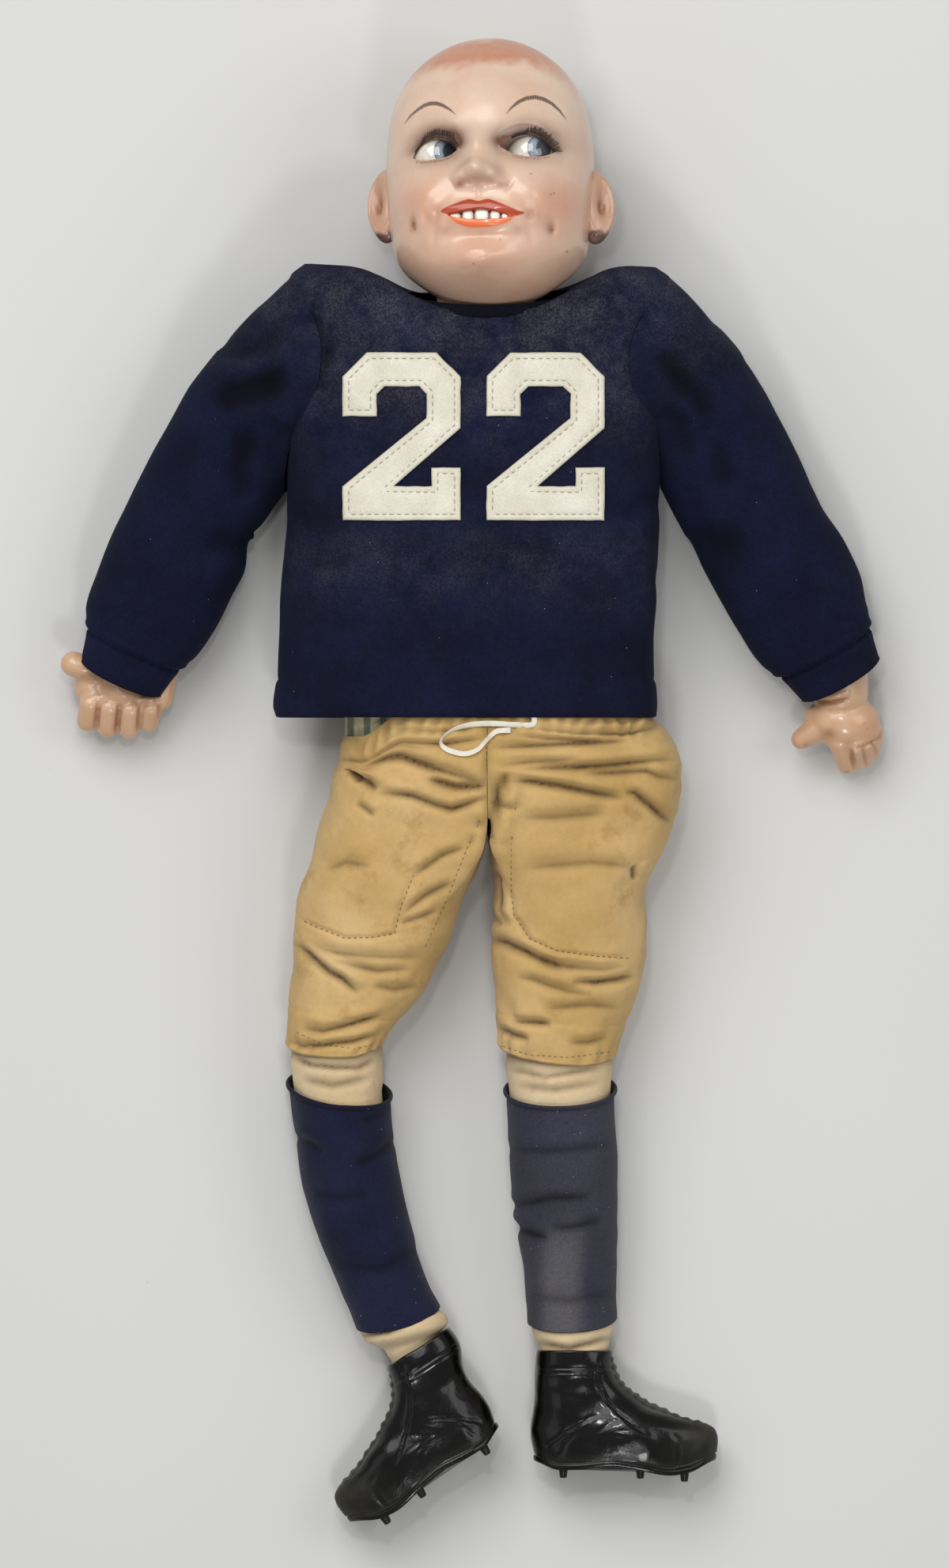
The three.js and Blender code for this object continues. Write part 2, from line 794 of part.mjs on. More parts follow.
function jerseyInner(from, shrink) {
  const top = jerseyTop - shrink;
  const stretch = (top - jerseyHem) / (jerseyTop - jerseyHem);
  return bodySkin(jerseyStations, from, top, -shrink, jerseyCorner, stretch);
}

function pelvis(grow, from, to) {
  return bodySkin(pelvisStations, from, to, grow, pelvisCorner);
}

function belowFloor() {
  return solidOf(boxAt(0, 0, -50, 1200, 1200, 100));
}

// Sections of the limbs
const shoulderHingeRight = new THREE.Vector3(0, 0, -1);
const shoulderHingeLeft = new THREE.Vector3(0, 0, 1);
const hipHinge = new THREE.Vector3(-1, 0, 0);

function flatSide(from, to) {
  return new THREE.Vector3().crossVectors(to.clone().sub(from), axisZ).normalize();
}

// The hinge of an elbow or knee is square to the average of its two limbs
function bendHinge(before, joint, after) {
  return flatSide(before, joint).add(flatSide(joint, after)).normalize();
}

const elbowHingeRight = bendHinge(rightShoulder, rightElbow, rightWrist);
const elbowHingeLeft = bendHinge(leftShoulder, leftElbow, leftWrist);
const kneeHingeRight = bendHinge(rightHip, rightKnee, rightAnkle).negate();
const kneeHingeLeft = bendHinge(leftHip, leftKnee, leftAnkle).negate();

const arms = {
  right: {
    upper: makeLimb(rightShoulder, rightElbow, upperSleeveStations, sleeveCorner,
      flatSide(rightShoulder, rightElbow), elbowHingeRight),
    lower: makeLimb(rightElbow, rightWrist, lowerSleeveStations, sleeveCorner,
      elbowHingeRight, flatSide(rightElbow, rightWrist)),
    shoulderHinge: shoulderHingeRight,
    elbowHinge: elbowHingeRight,
  },
  left: {
    upper: makeLimb(leftShoulder, leftElbow, upperSleeveStations, sleeveCorner,
      flatSide(leftShoulder, leftElbow), elbowHingeLeft),
    lower: makeLimb(leftElbow, leftWrist, lowerSleeveStations, sleeveCorner,
      elbowHingeLeft, flatSide(leftElbow, leftWrist)),
    shoulderHinge: shoulderHingeLeft,
    elbowHinge: elbowHingeLeft,
  },
};

const legs = {
  right: {
    thigh: makeLimb(rightHip, rightKnee, rightThighStations, legCorner,
      hipHinge, kneeHingeRight.clone().negate()),
    shin: makeLimb(rightKnee, rightAnkle, rightShinStations, legCorner,
      kneeHingeRight, flatSide(rightKnee, rightAnkle).negate(), rightShinBow),
    kneeHinge: kneeHingeRight,
  },
  left: {
    thigh: makeLimb(leftHip, leftKnee, leftThighStations, legCorner,
      hipHinge, kneeHingeLeft.clone().negate()),
    shin: makeLimb(leftKnee, leftAnkle, leftShinStations, legCorner,
      kneeHingeLeft, flatSide(leftKnee, leftAnkle).negate()),
    kneeHinge: kneeHingeLeft,
  },
};

const armRoom = {
  right: limbSweep(arms.right.upper, shoulderHingeRight, shoulderRaise, clearance),
  left: limbSweep(arms.left.upper, shoulderHingeLeft, shoulderRaise, clearance),
};
const elbowRoom = {
  right: limbSweep(arms.right.lower, elbowHingeRight, elbowBend, clearance),
  left: limbSweep(arms.left.lower, elbowHingeLeft, elbowBend, clearance),
};
const hipRoom = {
  right: limbSweep(legs.right.thigh, hipHinge, hipLift, padThickness + clearance),
  left: limbSweep(legs.left.thigh, hipHinge, hipLift, padThickness + clearance),
};
const kneeRoom = {
  right: limbSweep(legs.right.shin, kneeHingeRight, kneeBend, sockThickness + sockCurl + clearance),
  left: limbSweep(legs.left.shin, kneeHingeLeft, kneeBend, sockThickness + sockCurl + clearance),
};

function cutBy(solid, cutters) {
  return cutters.reduce((rest, cutter) => rest.subtract(cutter), solid);
}

const limbRooms = [armRoom.right, armRoom.left, hipRoom.right, hipRoom.left];

// The stuffed body, with sockets for the arms and legs and a seat for the
// flange at the foot of the neck
function torsoBody() {
  const chest = solidOf(jerseyInner(chestBottom, knitThickness + clearance));
  const hips = solidOf(pelvis(-canvasThickness - clearance, seatBottom, 76));
  const seat = aboutNeck([
    [0, flangeLevel - clearance],
    [flangeRadius + clearance, flangeLevel - clearance],
    [flangeRadius + clearance, flangeLevel + flangeHeight + clearance],
    [neckRadius + clearance, flangeLevel + flangeHeight + clearance],
    [neckRadius + clearance, collarLevel + 5],
    [0, collarLevel + 5],
  ]);
  const openings = [...limbRooms, solidOf(seat), solidOf(headRoom)];
  return cutBy(chest.add(hips), openings);
}

function jerseyBody() {
  let jersey = solidOf(jerseyOuter(0));
  jersey = jersey.subtract(solidOf(jerseyInner(jerseyHem - 8, knitThickness)));
  return cutBy(jersey, [armRoom.right, armRoom.left, solidOf(headRoom), belowFloor()]);
}

// The knitted band round the neck opening, low in front and high at the sides
function jerseyNeckband() {
  const rings = spaced(0, 360, 20).slice(0, -1).map(radians).map((angle) => {
    const c = Math.cos(angle);
    const s = Math.sin(angle);
    const reach = s > 0 ? neckbandFront : neckbandBack;
    const middle = collarLevel + neckbandHeight + 0.35 + neckbandRise * c * c;
    const centre = new THREE.Vector3(neckX + neckbandWidth * c, middle, neckZ + reach * s);
    const outward = new THREE.Vector3(c, 0, s);
    return ovalRing(centre, outward, axisY, neckbandThickness, neckbandHeight, 2.4, 6);
  });
  const points = rings.flat();
  const faces = [];
  rings.forEach((ring, r) => {
    const next = ((r + 1) % rings.length) * 6;
    for (let i = 0; i < 6; i += 1) {
      const j = (i + 1) % 6;
      faces.push(r * 6 + i, r * 6 + j, next + j, r * 6 + i, next + j, next + i);
    }
  });
  return closedSurface(points, faces);
}

// A block numeral two: foot, slanted stroke and square head with a hook
function numeralOutline(x, y) {
  const w = numeralWidth;
  const h = numeralHeight;
  const b = numeralBar;
  const outline = [
    [0, 0], [w, 0], [w, b * 1.55], [w - b * 0.85, b * 1.55], [w - b * 0.85, b],
    [b * 1.5, b], [w, h * 0.55], [w, h - 13], [w - 13, h], [13, h], [0, h - 13],
    [0, h * 0.62], [b, h * 0.62], [b, h - b - 4], [b + 4, h - b], [w - b - 4, h - b],
    [w - b, h - b - 4], [w - b, h * 0.61], [0, b],
  ];
  return outline.map(([px, py]) => [x + px, y + py]);
}

function chestNumeral(x) {
  let piece = solidOf(slab(numeralOutline(x, numeralBottom), 60, 130));
  piece = piece.intersect(solidOf(jerseyOuter(feltThickness + 0.35)));
  return piece.subtract(solidOf(jerseyOuter(0.35)));
}

function pantsSeat() {
  let seat = solidOf(pelvis(0, seatBottom, waistLevel));
  seat = seat.subtract(solidOf(pelvis(-canvasThickness, seatBottom - 8, waistLevel + 8)));
  return cutBy(seat, [hipRoom.right, hipRoom.left]);
}

// The outline of a ribbon laid along points on a plane
function ribbonOutline(path, width) {
  const curve = new THREE.CatmullRomCurve3(path.map(([x, y]) => new THREE.Vector3(x, y, 0)));
  const steps = 12;
  const left = [];
  const right = [];
  for (let i = 0; i <= steps; i += 1) {
    const at = curve.getPoint(i / steps);
    const way = curve.getTangent(i / steps);
    left.push([at.x - (way.y * width) / 2, at.y + (way.x * width) / 2]);
    right.push([at.x + (way.y * width) / 2, at.y - (way.x * width) / 2]);
  }
  return [...left, ...right.reverse()];
}

const drawstringPath = [[34, 33.5], [14, 32.5], [-6, 31], [-17, 26], [-8, 20.5], [12, 22]];

function waistDrawstring() {
  const outline = ribbonOutline(drawstringPath, tapeWidth);
  let tape = solidOf(slab(outline, 60, 130));
  tape = tape.intersect(solidOf(pelvis(tapeThickness + 0.35, seatBottom, waistLevel + 8)));
  return tape.subtract(solidOf(pelvis(0.35, seatBottom - 8, waistLevel + 16))).simplify(finest);
}

// ARMS
function sleeveUpper(side) {
  const { upper, shoulderHinge } = arms[side];
  let sleeve = solidOf(limbSkin(upper, 0, 1.05, 0)).add(solidOf(limbBall(upper, 0, shoulderHinge)));
  sleeve = sleeve.subtract(solidOf(limbSkin(upper, 0, 1.25, -knitThickness)));
  sleeve = sleeve.subtract(solidOf(limbBall(upper, -knitThickness, shoulderHinge)));
  return cutBy(sleeve, [elbowRoom[side]]);
}

function armCore(side) {
  const { upper, shoulderHinge } = arms[side];
  const shrink = -knitThickness - clearance;
  const core = solidOf(limbSkin(upper, 0, 1.05, shrink));
  return cutBy(core.add(solidOf(limbBall(upper, shrink, shoulderHinge))), [elbowRoom[side]]);
}

function sleeveLower(side) {
  const { lower, elbowHinge } = arms[side];
  const rings = limbShares(lower, 0, cuffShare - 0.01).map((share) => [share, 0]);
  rings.push([cuffShare, cuffRise], [1, cuffRise]);
  let sleeve = solidOf(hemmedSkin(lower, rings));
  sleeve = sleeve.add(solidOf(limbBall(lower, 0, elbowHinge)));
  sleeve = sleeve.subtract(solidOf(limbSkin(lower, 0, 1.1, -knitThickness)));
  return sleeve.subtract(solidOf(limbBall(lower, -knitThickness, elbowHinge)));
}

function wristFrame(side) {
  const { lower } = arms[side];
  const along = lower.end.clone().sub(lower.start).normalize();
  const length = lower.end.distanceTo(lower.start);
  return { along, length, lower };
}

function stubAt(side, radius, from, length) {
  const { along, lower } = wristFrame(side);
  const stub = new THREE.CylinderGeometry(radius, radius, length, 12);
  stub.translate(0, length / 2, 0);
  stub.applyQuaternion(new THREE.Quaternion().setFromUnitVectors(axisY, along));
  const foot = lower.start.clone().addScaledVector(along, from);
  stub.translate(foot.x, foot.y, foot.z);
  return stub;
}

// The stuffed forearm narrows to the wrist, where it is tied round the hand
function forearmCore(side) {
  const { lower, elbowHinge } = arms[side];
  const { length } = wristFrame(side);
  const shrink = -knitThickness - clearance;
  const rings = limbShares(lower, 0, forearmShare - 0.14).map((share) => (
    limbRing(lower, share, shrink)));
  rings.push(limbRing(lower, forearmShare - 0.05, shrink - forearmTaper - 3));
  rings.push(limbRing(lower, forearmShare, shrink - forearmTaper - 3));
  let core = solidOf(skin(rings)).add(solidOf(limbBall(lower, shrink, elbowHinge)));
  const depth = handStubLength + clearance;
  const hole = stubAt(side, handStubRadius + clearance, length * forearmShare - depth, depth + 20);
  return core.subtract(solidOf(hole));
}

function wristTie(side) {
  const { along, length, lower } = wristFrame(side);
  const at = forearmShare - 0.025;
  const centre = lower.start.clone().addScaledVector(along, length * at);
  const [wide] = readTable(lower.stations, at);
  const radius = wide - knitThickness - clearance - forearmTaper - 3 + tieRadius + 0.3;
  return stringRing(centre, along, radius, tieRadius);
}

// A finger or thumb: a round tube through three points with round tips
function finger(points, radius) {
  const curve = new THREE.CatmullRomCurve3(points.map(([x, y, z]) => new THREE.Vector3(x, y, z)));
  const steps = 4;
  const rings = [];
  for (let i = 0; i <= steps; i += 1) {
    const t = i / steps;
    const centre = curve.getPoint(t);
    const way = curve.getTangent(t);
    const side = new THREE.Vector3().crossVectors(way, axisX);
    const across = side.length() > 0.3 ? axisX.clone() : axisY.clone();
    const up = new THREE.Vector3().crossVectors(way, across).normalize();
    const flat = new THREE.Vector3().crossVectors(up, way).normalize();
    const end = i === 0 || i === steps ? 0.55 : 1;
    rings.push(ovalRing(centre, flat, up, radius * end, radius * end, 2, 6));
  }
  return skin(rings);
}

// The hand lies with its palm to +Z here, fingers along +Y, thumb to +X
function handShape() {
  const palm = new THREE.SphereGeometry(1, 10, 6);
  palm.scale(palmWidth / 2, palmLength / 2, palmThickness / 2);
  palm.translate(0, palmLength * 0.36, -1);
  let hand = solidOf(palm);
  const spread = (palmWidth - 2 * fingerRadius) / 3;
  [0, 1, 2, 3].forEach((i) => {
    const x = -palmWidth / 2 + fingerRadius + i * spread;
    const reach = fingerReach - Math.abs(i - 1.6) * 1.8;
    const bend = [
      [x * 0.86, reach * 0.42, -5],
      [x, reach * 0.95, -5],
      [x, reach + 3.5, 3],
      [x * 0.96, reach * 0.72, 9.5],
    ];
    hand = hand.add(solidOf(finger(bend, fingerRadius)));
  });
  const fist = new THREE.SphereGeometry(1, 8, 5);
  fist.scale(palmWidth / 2 - 2, fingerReach * 0.44, 9.5);
  fist.translate(0, fingerReach * 0.72, 1.5);
  hand = hand.add(solidOf(fist));
  const thumb = [
    [palmWidth * 0.2, 5, 0],
    [palmWidth * 0.52, 1, 3],
    [thumbReach, 2.5, 3],
  ];
  return hand.add(solidOf(finger(thumb, thumbRadius)));
}

function placedHand(side) {
  const shape = geometryOf(handShape());
  const wrist = side === 'right' ? rightWrist : leftWrist;
  const points = shape.attributes.position;
  const faces = Array.from(shape.index.array);
  const palmUp = side === 'right' ? 1 : -1;
  const turn = radians(side === 'right' ? handTurnRight : handTurnLeft);
  const reach = side === 'right' ? handReachRight : handReachLeft;
  const stretch = side === 'right' ? handStretchRight : handStretchLeft;
  const placed = [];
  for (let i = 0; i < points.count; i += 1) {
    const along = -points.getY(i) * stretch - reach;
    const at = new THREE.Vector3(-points.getX(i), along, points.getZ(i) * palmUp);
    at.applyAxisAngle(axisZ, turn);
    at.z -= handDrop;
    placed.push(at.add(wrist));
  }
  return closedSurface(placed, faces);
}

// The hand ends at the cuff, and its stub runs on into the forearm
function handPiece(side) {
  const { length, lower } = wristFrame(side);
  const from = length * forearmShare - handStubLength;
  const stub = stubAt(side, handStubRadius, from, length - from + handStubReach);
  const cuff = limbSkin(lower, 0.6, 1 + clearance / length, cuffRise + clearance);
  return solidOf(placedHand(side)).subtract(solidOf(cuff)).add(solidOf(stub));
}

// LEGS
function pantsLeg(side) {
  const { thigh } = legs[side];
  const hemTop = pantsHemShare - 0.05;
  const rings = limbShares(thigh, 0, hemTop).map((share) => [share, 0]);
  rings.push([hemTop + 0.005, hemRise], [pantsHemShare, hemRise]);
  let leg = solidOf(hemmedSkin(thigh, rings));
  leg = leg.add(solidOf(limbBall(thigh, 0, hipHinge)));
  leg = leg.subtract(solidOf(limbSkin(thigh, 0, 1.1, -canvasThickness)));
  leg = leg.subtract(solidOf(limbBall(thigh, -canvasThickness, hipHinge)));
  return cutBy(leg, [kneeRoom[side]]);
}

function thighCore(side) {
  const { thigh } = legs[side];
  const shrink = -canvasThickness - clearance;
  const core = solidOf(limbSkin(thigh, 0, 1, shrink));
  return cutBy(core.add(solidOf(limbBall(thigh, shrink, hipHinge))), [kneeRoom[side]]);
}

const rightPadOutline = [
  [-95, -34], [-95.5, -71], [-71, -82], [-44, -80.5], [-38, -64], [-33, -40], [-36, -30],
  [-66, -26],
];
const leftPadOutline = [
  [21, -24], [20, -58], [22, -70], [30, -83], [45, -89.5], [67, -92], [84, -93], [91, -60],
  [96, -32], [60, -22],
];

function thighPad(side) {
  const { thigh } = legs[side];
  const outline = side === 'right' ? rightPadOutline : leftPadOutline;
  const ends = [0.04, pantsHemShare - 0.06];
  let pad = solidOf(slab(outline, 45, 120));
  pad = pad.intersect(solidOf(limbSkin(thigh, ...ends, padThickness + 0.35)));
  return pad.subtract(solidOf(limbSkin(thigh, ...ends, 0.35)));
}

function shinCore(side) {
  const { shin, kneeHinge } = legs[side];
  const core = solidOf(limbSkin(shin, 0, ankleStubShare, 0));
  return core.add(solidOf(limbBall(shin, 0, kneeHinge)));
}

function sock(side) {
  const { shin } = legs[side];
  const outer = clearance + sockThickness;
  const rings = [
    [sockTopShare, outer + sockCurl * 0.4],
    [sockTopShare + 0.015, outer + sockCurl],
    [sockTopShare + 0.03, outer],
  ];
  limbShares(shin, 0.2, sockBottomShare).forEach((share) => rings.push([share, outer]));
  const piece = solidOf(hemmedSkin(shin, rings));
  return piece.subtract(solidOf(limbSkin(shin, 0.05, 1, clearance)));
}

// The boot stands in its own frame: X to the toe, Y up the leg, Z across
function bootRing(depth, heel, front, half) {
  const ring = [];
  const count = 16;
  const length = front - heel;
  const heelRound = Math.min(half, length / 2);
  const toeRound = Math.min(half * 1.5, length - heelRound);
  for (let i = 0; i < count; i += 1) {
    const angle = (i / count) * Math.PI * 2;
    const c = Math.cos(angle);
    const s = Math.sin(angle);
    const centre = c > 0 ? front - toeRound : heel + heelRound;
    const reach = c > 0 ? toeRound : heelRound;
    const across = Math.sign(s) * Math.abs(s) ** (2 / 2.3) * half;
    const along = centre + Math.sign(c) * Math.abs(c) ** (2 / 2.3) * reach;
    ring.push(new THREE.Vector3(along, -depth, across));
  }
  return ring;
}

function bootMatrix(side) {
  const ankle = side === 'right' ? rightAnkle : leftAnkle;
  const toe = side === 'right' ? bootToeTurnRight : bootToeTurnLeft;
  const way = new THREE.Vector3(Math.cos(radians(toe)), Math.sin(radians(toe)), 0);
  const up = side === 'right'
    ? new THREE.Vector3(way.y, -way.x, 0)
    : new THREE.Vector3(-way.y, way.x, 0);
  const across = new THREE.Vector3().crossVectors(way, up);
  const shin = legs[side].shin;
  const down = shin.end.clone().sub(shin.start).normalize();
  const drop = side === 'right' ? bootDropRight : bootDropLeft;
  const top = ankle.clone().addScaledVector(down, drop);
  top.z = Math.max(...bootStations.map((row) => row[3])) + weltReach + 0.4;
  return new THREE.Matrix4().makeBasis(way, up, across).setPosition(top);
}

function bootShape() {
  let boot = solidOf(skin(bootStations.map((row) => bootRing(...row))));
  const last = bootStations[bootStations.length - 1];
  const welt = [bootSoleDepth - weltHeight, bootSoleDepth].map((depth) => bootRing(
    depth, last[1] - weltReach, last[2] + weltReach, last[3] + weltReach));
  boot = boot.add(solidOf(skin(welt)));
  return geometryOf(boot);
}

function bootPiece(side) {
  const { shin } = legs[side];
  const boot = solidOf(bootShape().applyMatrix4(bootMatrix(side)));
  return boot.subtract(solidOf(limbSkin(shin, 0.9, ankleStubShare + 0.01, clearance)));
}

function studPiece(side, place, across) {
  const stud = new THREE.CylinderGeometry(studRadius * 0.82, studRadius, studHeight, 8);
  stud.rotateX(Math.PI);
  stud.translate(place, -bootSoleDepth - studHeight / 2 - 0.3, across);
  return stud.applyMatrix4(bootMatrix(side));
}

// ASSEMBLY
const doll = new THREE.Group();

function place(group, name, shape, material) {
  const geometry = shape.isBufferGeometry ? shape : geometryOf(shape);
  const mesh = new THREE.Mesh(geometry, material);
  mesh.name = name;
  group.add(mesh);
}

const trunk = new THREE.Group();
doll.add(trunk);
place(trunk, 'torso_body', torsoBody(), muslin);
place(trunk, 'jersey_body', jerseyBody(), woolNavy);
place(trunk, 'jersey_neckband', jerseyNeckband(), woolNavy);
place(trunk, 'numeral_right', chestNumeral(rightNumeralX), felt);
place(trunk, 'numeral_left', chestNumeral(leftNumeralX), felt);
place(trunk, 'pants_seat', pantsSeat(), canvas);
place(trunk, 'waist_drawstring', waistDrawstring(), cottonTape);
const neckTieCentre = new THREE.Vector3(neckX, collarLevel + tieRadius + 0.3, neckZ);
const neckTieRadius = neckRadius + 0.4 + tieRadius;
place(trunk, 'neck_tie', stringRing(neckTieCentre, axisY, neckTieRadius, tieRadius), string);

const head = new THREE.Group();
doll.add(head);
place(head, 'head_shell', headShell(), flesh);
place(head, 'teeth', teethBar(), ivory);
place(head, 'eye_frame', eyeFrame(), steel);
place(head, 'lashes_right', lashStrip(-1), darkHair);
place(head, 'lashes_left', lashStrip(1), darkHair);
place(head, 'eyeball_right', eyeball(-1), glassEye);
place(head, 'eyeball_left', eyeball(1), glassEye);
place(head, 'eye_tie_bar', tieBar(), steel);
place(head, 'eye_weight', eyeWeight(), lead);

for (const side of ['right', 'left']) {
  const arm = new THREE.Group();
  doll.add(arm);
  place(arm, `sleeve_upper_${side}`, sleeveUpper(side), woolNavy);
  place(arm, `arm_core_${side}`, armCore(side), muslin);
  place(arm, `sleeve_lower_${side}`, sleeveLower(side), woolNavy);
  place(arm, `forearm_core_${side}`, forearmCore(side), muslin);
  place(arm, `hand_${side}`, handPiece(side), flesh);
  place(arm, `wrist_tie_${side}`, wristTie(side), string);

  const leg = new THREE.Group();
  doll.add(leg);
  place(leg, `pants_leg_${side}`, pantsLeg(side), canvas);
  place(leg, `thigh_core_${side}`, thighCore(side), muslin);
  place(leg, `thigh_pad_${side}`, thighPad(side), canvas);
  place(leg, `shin_core_${side}`, shinCore(side), muslin);
  place(leg, `sock_${side}`, sock(side), sockWool);
  place(leg, `boot_${side}`, bootPiece(side), bootBlack);
  studPlaces.forEach((along, row) => {
    place(leg, `stud_${side}_${row * 2 + 1}`, studPiece(side, along, -studSpread), bootBlack);
    place(leg, `stud_${side}_${row * 2 + 2}`, studPiece(side, along, studSpread), bootBlack);
  });
}

export default doll;
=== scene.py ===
# %% [markdown]
# # A football player doll, lying on its back
#
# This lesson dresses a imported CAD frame. The frame is the skeleton of the
# doll: every part is where it belongs and has its real size, in metres, with
# +Z up from the table, +Y to the crown of the head and +X to the right of
# someone who looks down. The lesson adds what the eye sees: knitted wool,
# felt, canvas, muslin, painted composition, glass and enamel.
# "Right" and "left" in the names are the doll's own right and left.

# %% Load the frame
import json
import math
import bpy
import bmesh
import numpy as np
from mathutils import Matrix, Vector

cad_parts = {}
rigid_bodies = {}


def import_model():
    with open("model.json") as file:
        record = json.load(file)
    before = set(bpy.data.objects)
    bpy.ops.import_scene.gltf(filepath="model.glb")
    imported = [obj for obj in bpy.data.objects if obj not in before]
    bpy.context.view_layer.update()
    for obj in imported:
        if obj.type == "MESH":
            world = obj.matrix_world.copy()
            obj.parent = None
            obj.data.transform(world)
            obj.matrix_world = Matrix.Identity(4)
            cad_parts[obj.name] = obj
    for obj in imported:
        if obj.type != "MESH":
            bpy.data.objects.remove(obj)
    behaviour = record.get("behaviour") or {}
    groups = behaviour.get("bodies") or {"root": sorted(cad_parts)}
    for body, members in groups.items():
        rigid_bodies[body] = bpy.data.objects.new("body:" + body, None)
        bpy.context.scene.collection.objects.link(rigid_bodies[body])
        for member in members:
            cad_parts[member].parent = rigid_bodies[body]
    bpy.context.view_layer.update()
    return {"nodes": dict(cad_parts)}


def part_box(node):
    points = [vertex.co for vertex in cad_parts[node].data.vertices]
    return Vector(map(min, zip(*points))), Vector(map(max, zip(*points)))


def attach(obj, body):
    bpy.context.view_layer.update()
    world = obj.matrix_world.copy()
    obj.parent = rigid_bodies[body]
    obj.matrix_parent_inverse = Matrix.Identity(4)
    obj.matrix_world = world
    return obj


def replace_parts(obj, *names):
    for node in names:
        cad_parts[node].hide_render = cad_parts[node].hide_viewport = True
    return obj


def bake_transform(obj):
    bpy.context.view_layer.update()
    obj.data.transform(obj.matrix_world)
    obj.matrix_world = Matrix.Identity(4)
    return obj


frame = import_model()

# %% [markdown]
# ## Camera
# The doll is seen from straight above through a long lens, so there is hardly
# any perspective. A pixel of the photograph covers 0.43 mm of the table, so
# its height covers 853 mm, and the lens follows from that and from the height
# of the camera.

# %% Camera
PIXEL = 0.43
PICTURE_ROWS = 1983
camera_height = 14.0
view_height = PICTURE_ROWS * PIXEL * 0.001
camera_data = bpy.data.cameras.new("camera")
camera_data.sensor_fit = "VERTICAL"
camera_data.sensor_height = 36.0
camera_data.lens = 36.0 * (camera_height - 0.05) / view_height
camera = bpy.data.objects.new("camera", camera_data)
camera.location = (0.0, 0.0011, camera_height)
bpy.context.scene.collection.objects.link(camera)
bpy.context.scene.camera = camera
bpy.context.scene.view_settings.view_transform = "Standard"
print("lens", round(camera_data.lens, 1), "mm")

# %% [markdown]
# ## Colours and nodes
# A colour is picked as it looks on a screen, so it is written as an sRGB hex
# value and turned to the linear numbers that a shader works with. One small
# function adds a node with its settings, by name or place, and gives back what
# comes out of it. What comes out of another node is linked, a name that starts
# with a dot is a property of the node itself, and ".stops" are the places and
# colours of a ramp.

# %% Colour and node helpers
def linear(code, alpha=1.0):
    parts = [int(code[i:i + 2], 16) / 255 for i in (1, 3, 5)]
    light = [c / 12.92 if c <= 0.04045 else ((c + 0.055) / 1.055) ** 2.4 for c in parts]
    return tuple(light) + (alpha,)


def add(tree, kind, settings=None, out=0):
    made = tree.nodes.new("ShaderNode" + kind)
    for name, value in (settings or {}).items():
        if name == ".stops":
            band = made.color_ramp.elements
            while len(band) < len(value):
                band.new(0.5)
            for element, (place, colour) in zip(band, value):
                element.position = place
                element.color = colour if len(colour) == 4 else (colour[0],) * 3 + (1,)
        elif isinstance(name, str) and name.startswith("."):
            setattr(made, name[1:], value)
        elif isinstance(value, bpy.types.NodeSocket):
            tree.links.new(value, made.inputs[name])
        else:
            made.inputs[name].default_value = value
    return made.outputs[out] if made.outputs else made


def new_material(name, **shader_values):
    made = bpy.data.materials.new(name)
    made.use_nodes = True
    shader = made.node_tree.nodes["Principled BSDF"]
    for key, value in shader_values.items():
        shader.inputs[key.replace("_", " ")].default_value = value
    return made, made.node_tree, shader


print("helpers ready; mid grey is", round(linear("#808080")[0], 3))

# %% [markdown]
# ## Table and light
# The table is a pale grey board. The light comes from a large soft lamp beyond
# the head, with four weaker ones overhead, at the feet, on the right and on
# the left, and a dim even sky. They are set so that a surface which faces up
# renders about in the colour that it is given.

# %% Table
board, tree, shader = new_material("painted_board", Roughness=0.7)
place = add(tree, "TexCoord", out="Object")
cloud = add(tree, "TexNoise", {"Scale": 1.6, "Detail": 2.0, "Vector": place})
tone = add(tree, "ValToRGB", {".stops": [(0.3, linear("#c7c7c5")), (0.7, linear("#cdcdcb"))], 0: cloud})
specks = add(tree, "TexVoronoi", {"Scale": 26.0, "Vector": place})
speck = add(tree, "ValToRGB", {".stops": [(0.009, linear("#a9a6a0")), (0.016, linear("#ffffff"))], 0: specks})
tree.links.new(add(tree, "Mix", {".data_type": "RGBA", ".blend_type": "MULTIPLY", 0: 0.5, 6: tone,
                                 7: speck}, out=2), shader.inputs["Base Color"])
table_mesh = bpy.data.meshes.new("table")
table_mesh.from_pydata([(-4, -4, -0.0006), (4, -4, -0.0006), (4, 4, -0.0006), (-4, 4, -0.0006)], [],
                       [(0, 1, 2, 3)])
table = bpy.data.objects.new("table", table_mesh)
table_mesh.materials.append(board)
bpy.context.scene.collection.objects.link(table)
print("table", board.name)

# %% Lamps and sky
def softbox(name, place, size, power):
    lamp = bpy.data.lights.new(name, "AREA")
    lamp.shape = "SQUARE"
    lamp.size = size
    lamp.energy = power
    thing = bpy.data.objects.new(name, lamp)
    thing.location = place
    aim = Vector((0, 0, 0.05)) - Vector(place)
    thing.rotation_euler = aim.to_track_quat("-Z", "Y").to_euler()
    bpy.context.scene.collection.objects.link(thing)
    return thing


softbox("lamp_top", (-0.7, 1.5, 2.3), 2.0, 52.0)
softbox("lamp_small", (-0.1, 0.5, 2.5), 0.14, 6.0)
softbox("lamp_feet", (0.15, -1.2, 1.9), 0.3, 8.0)
softbox("lamp_right", (1.7, 0.5, 2.0), 1.2, 12.0)
softbox("lamp_left", (-1.9, -0.2, 1.9), 1.2, 3.0)
world = bpy.data.worlds.new("studio")
world.use_nodes = True
sky = world.node_tree
for old in list(sky.nodes):
    sky.nodes.remove(old)
seen = add(sky, "Math", {".operation": "MAXIMUM", 0: add(sky, "LightPath", out="Is Camera Ray"),
                         1: add(sky, "LightPath", out="Is Transmission Ray")})
dim = add(sky, "Background", {"Color": linear("#ffffff"), "Strength": 0.33})
pale = add(sky, "Background", {"Color": linear("#dcdcda"), "Strength": 1.0})
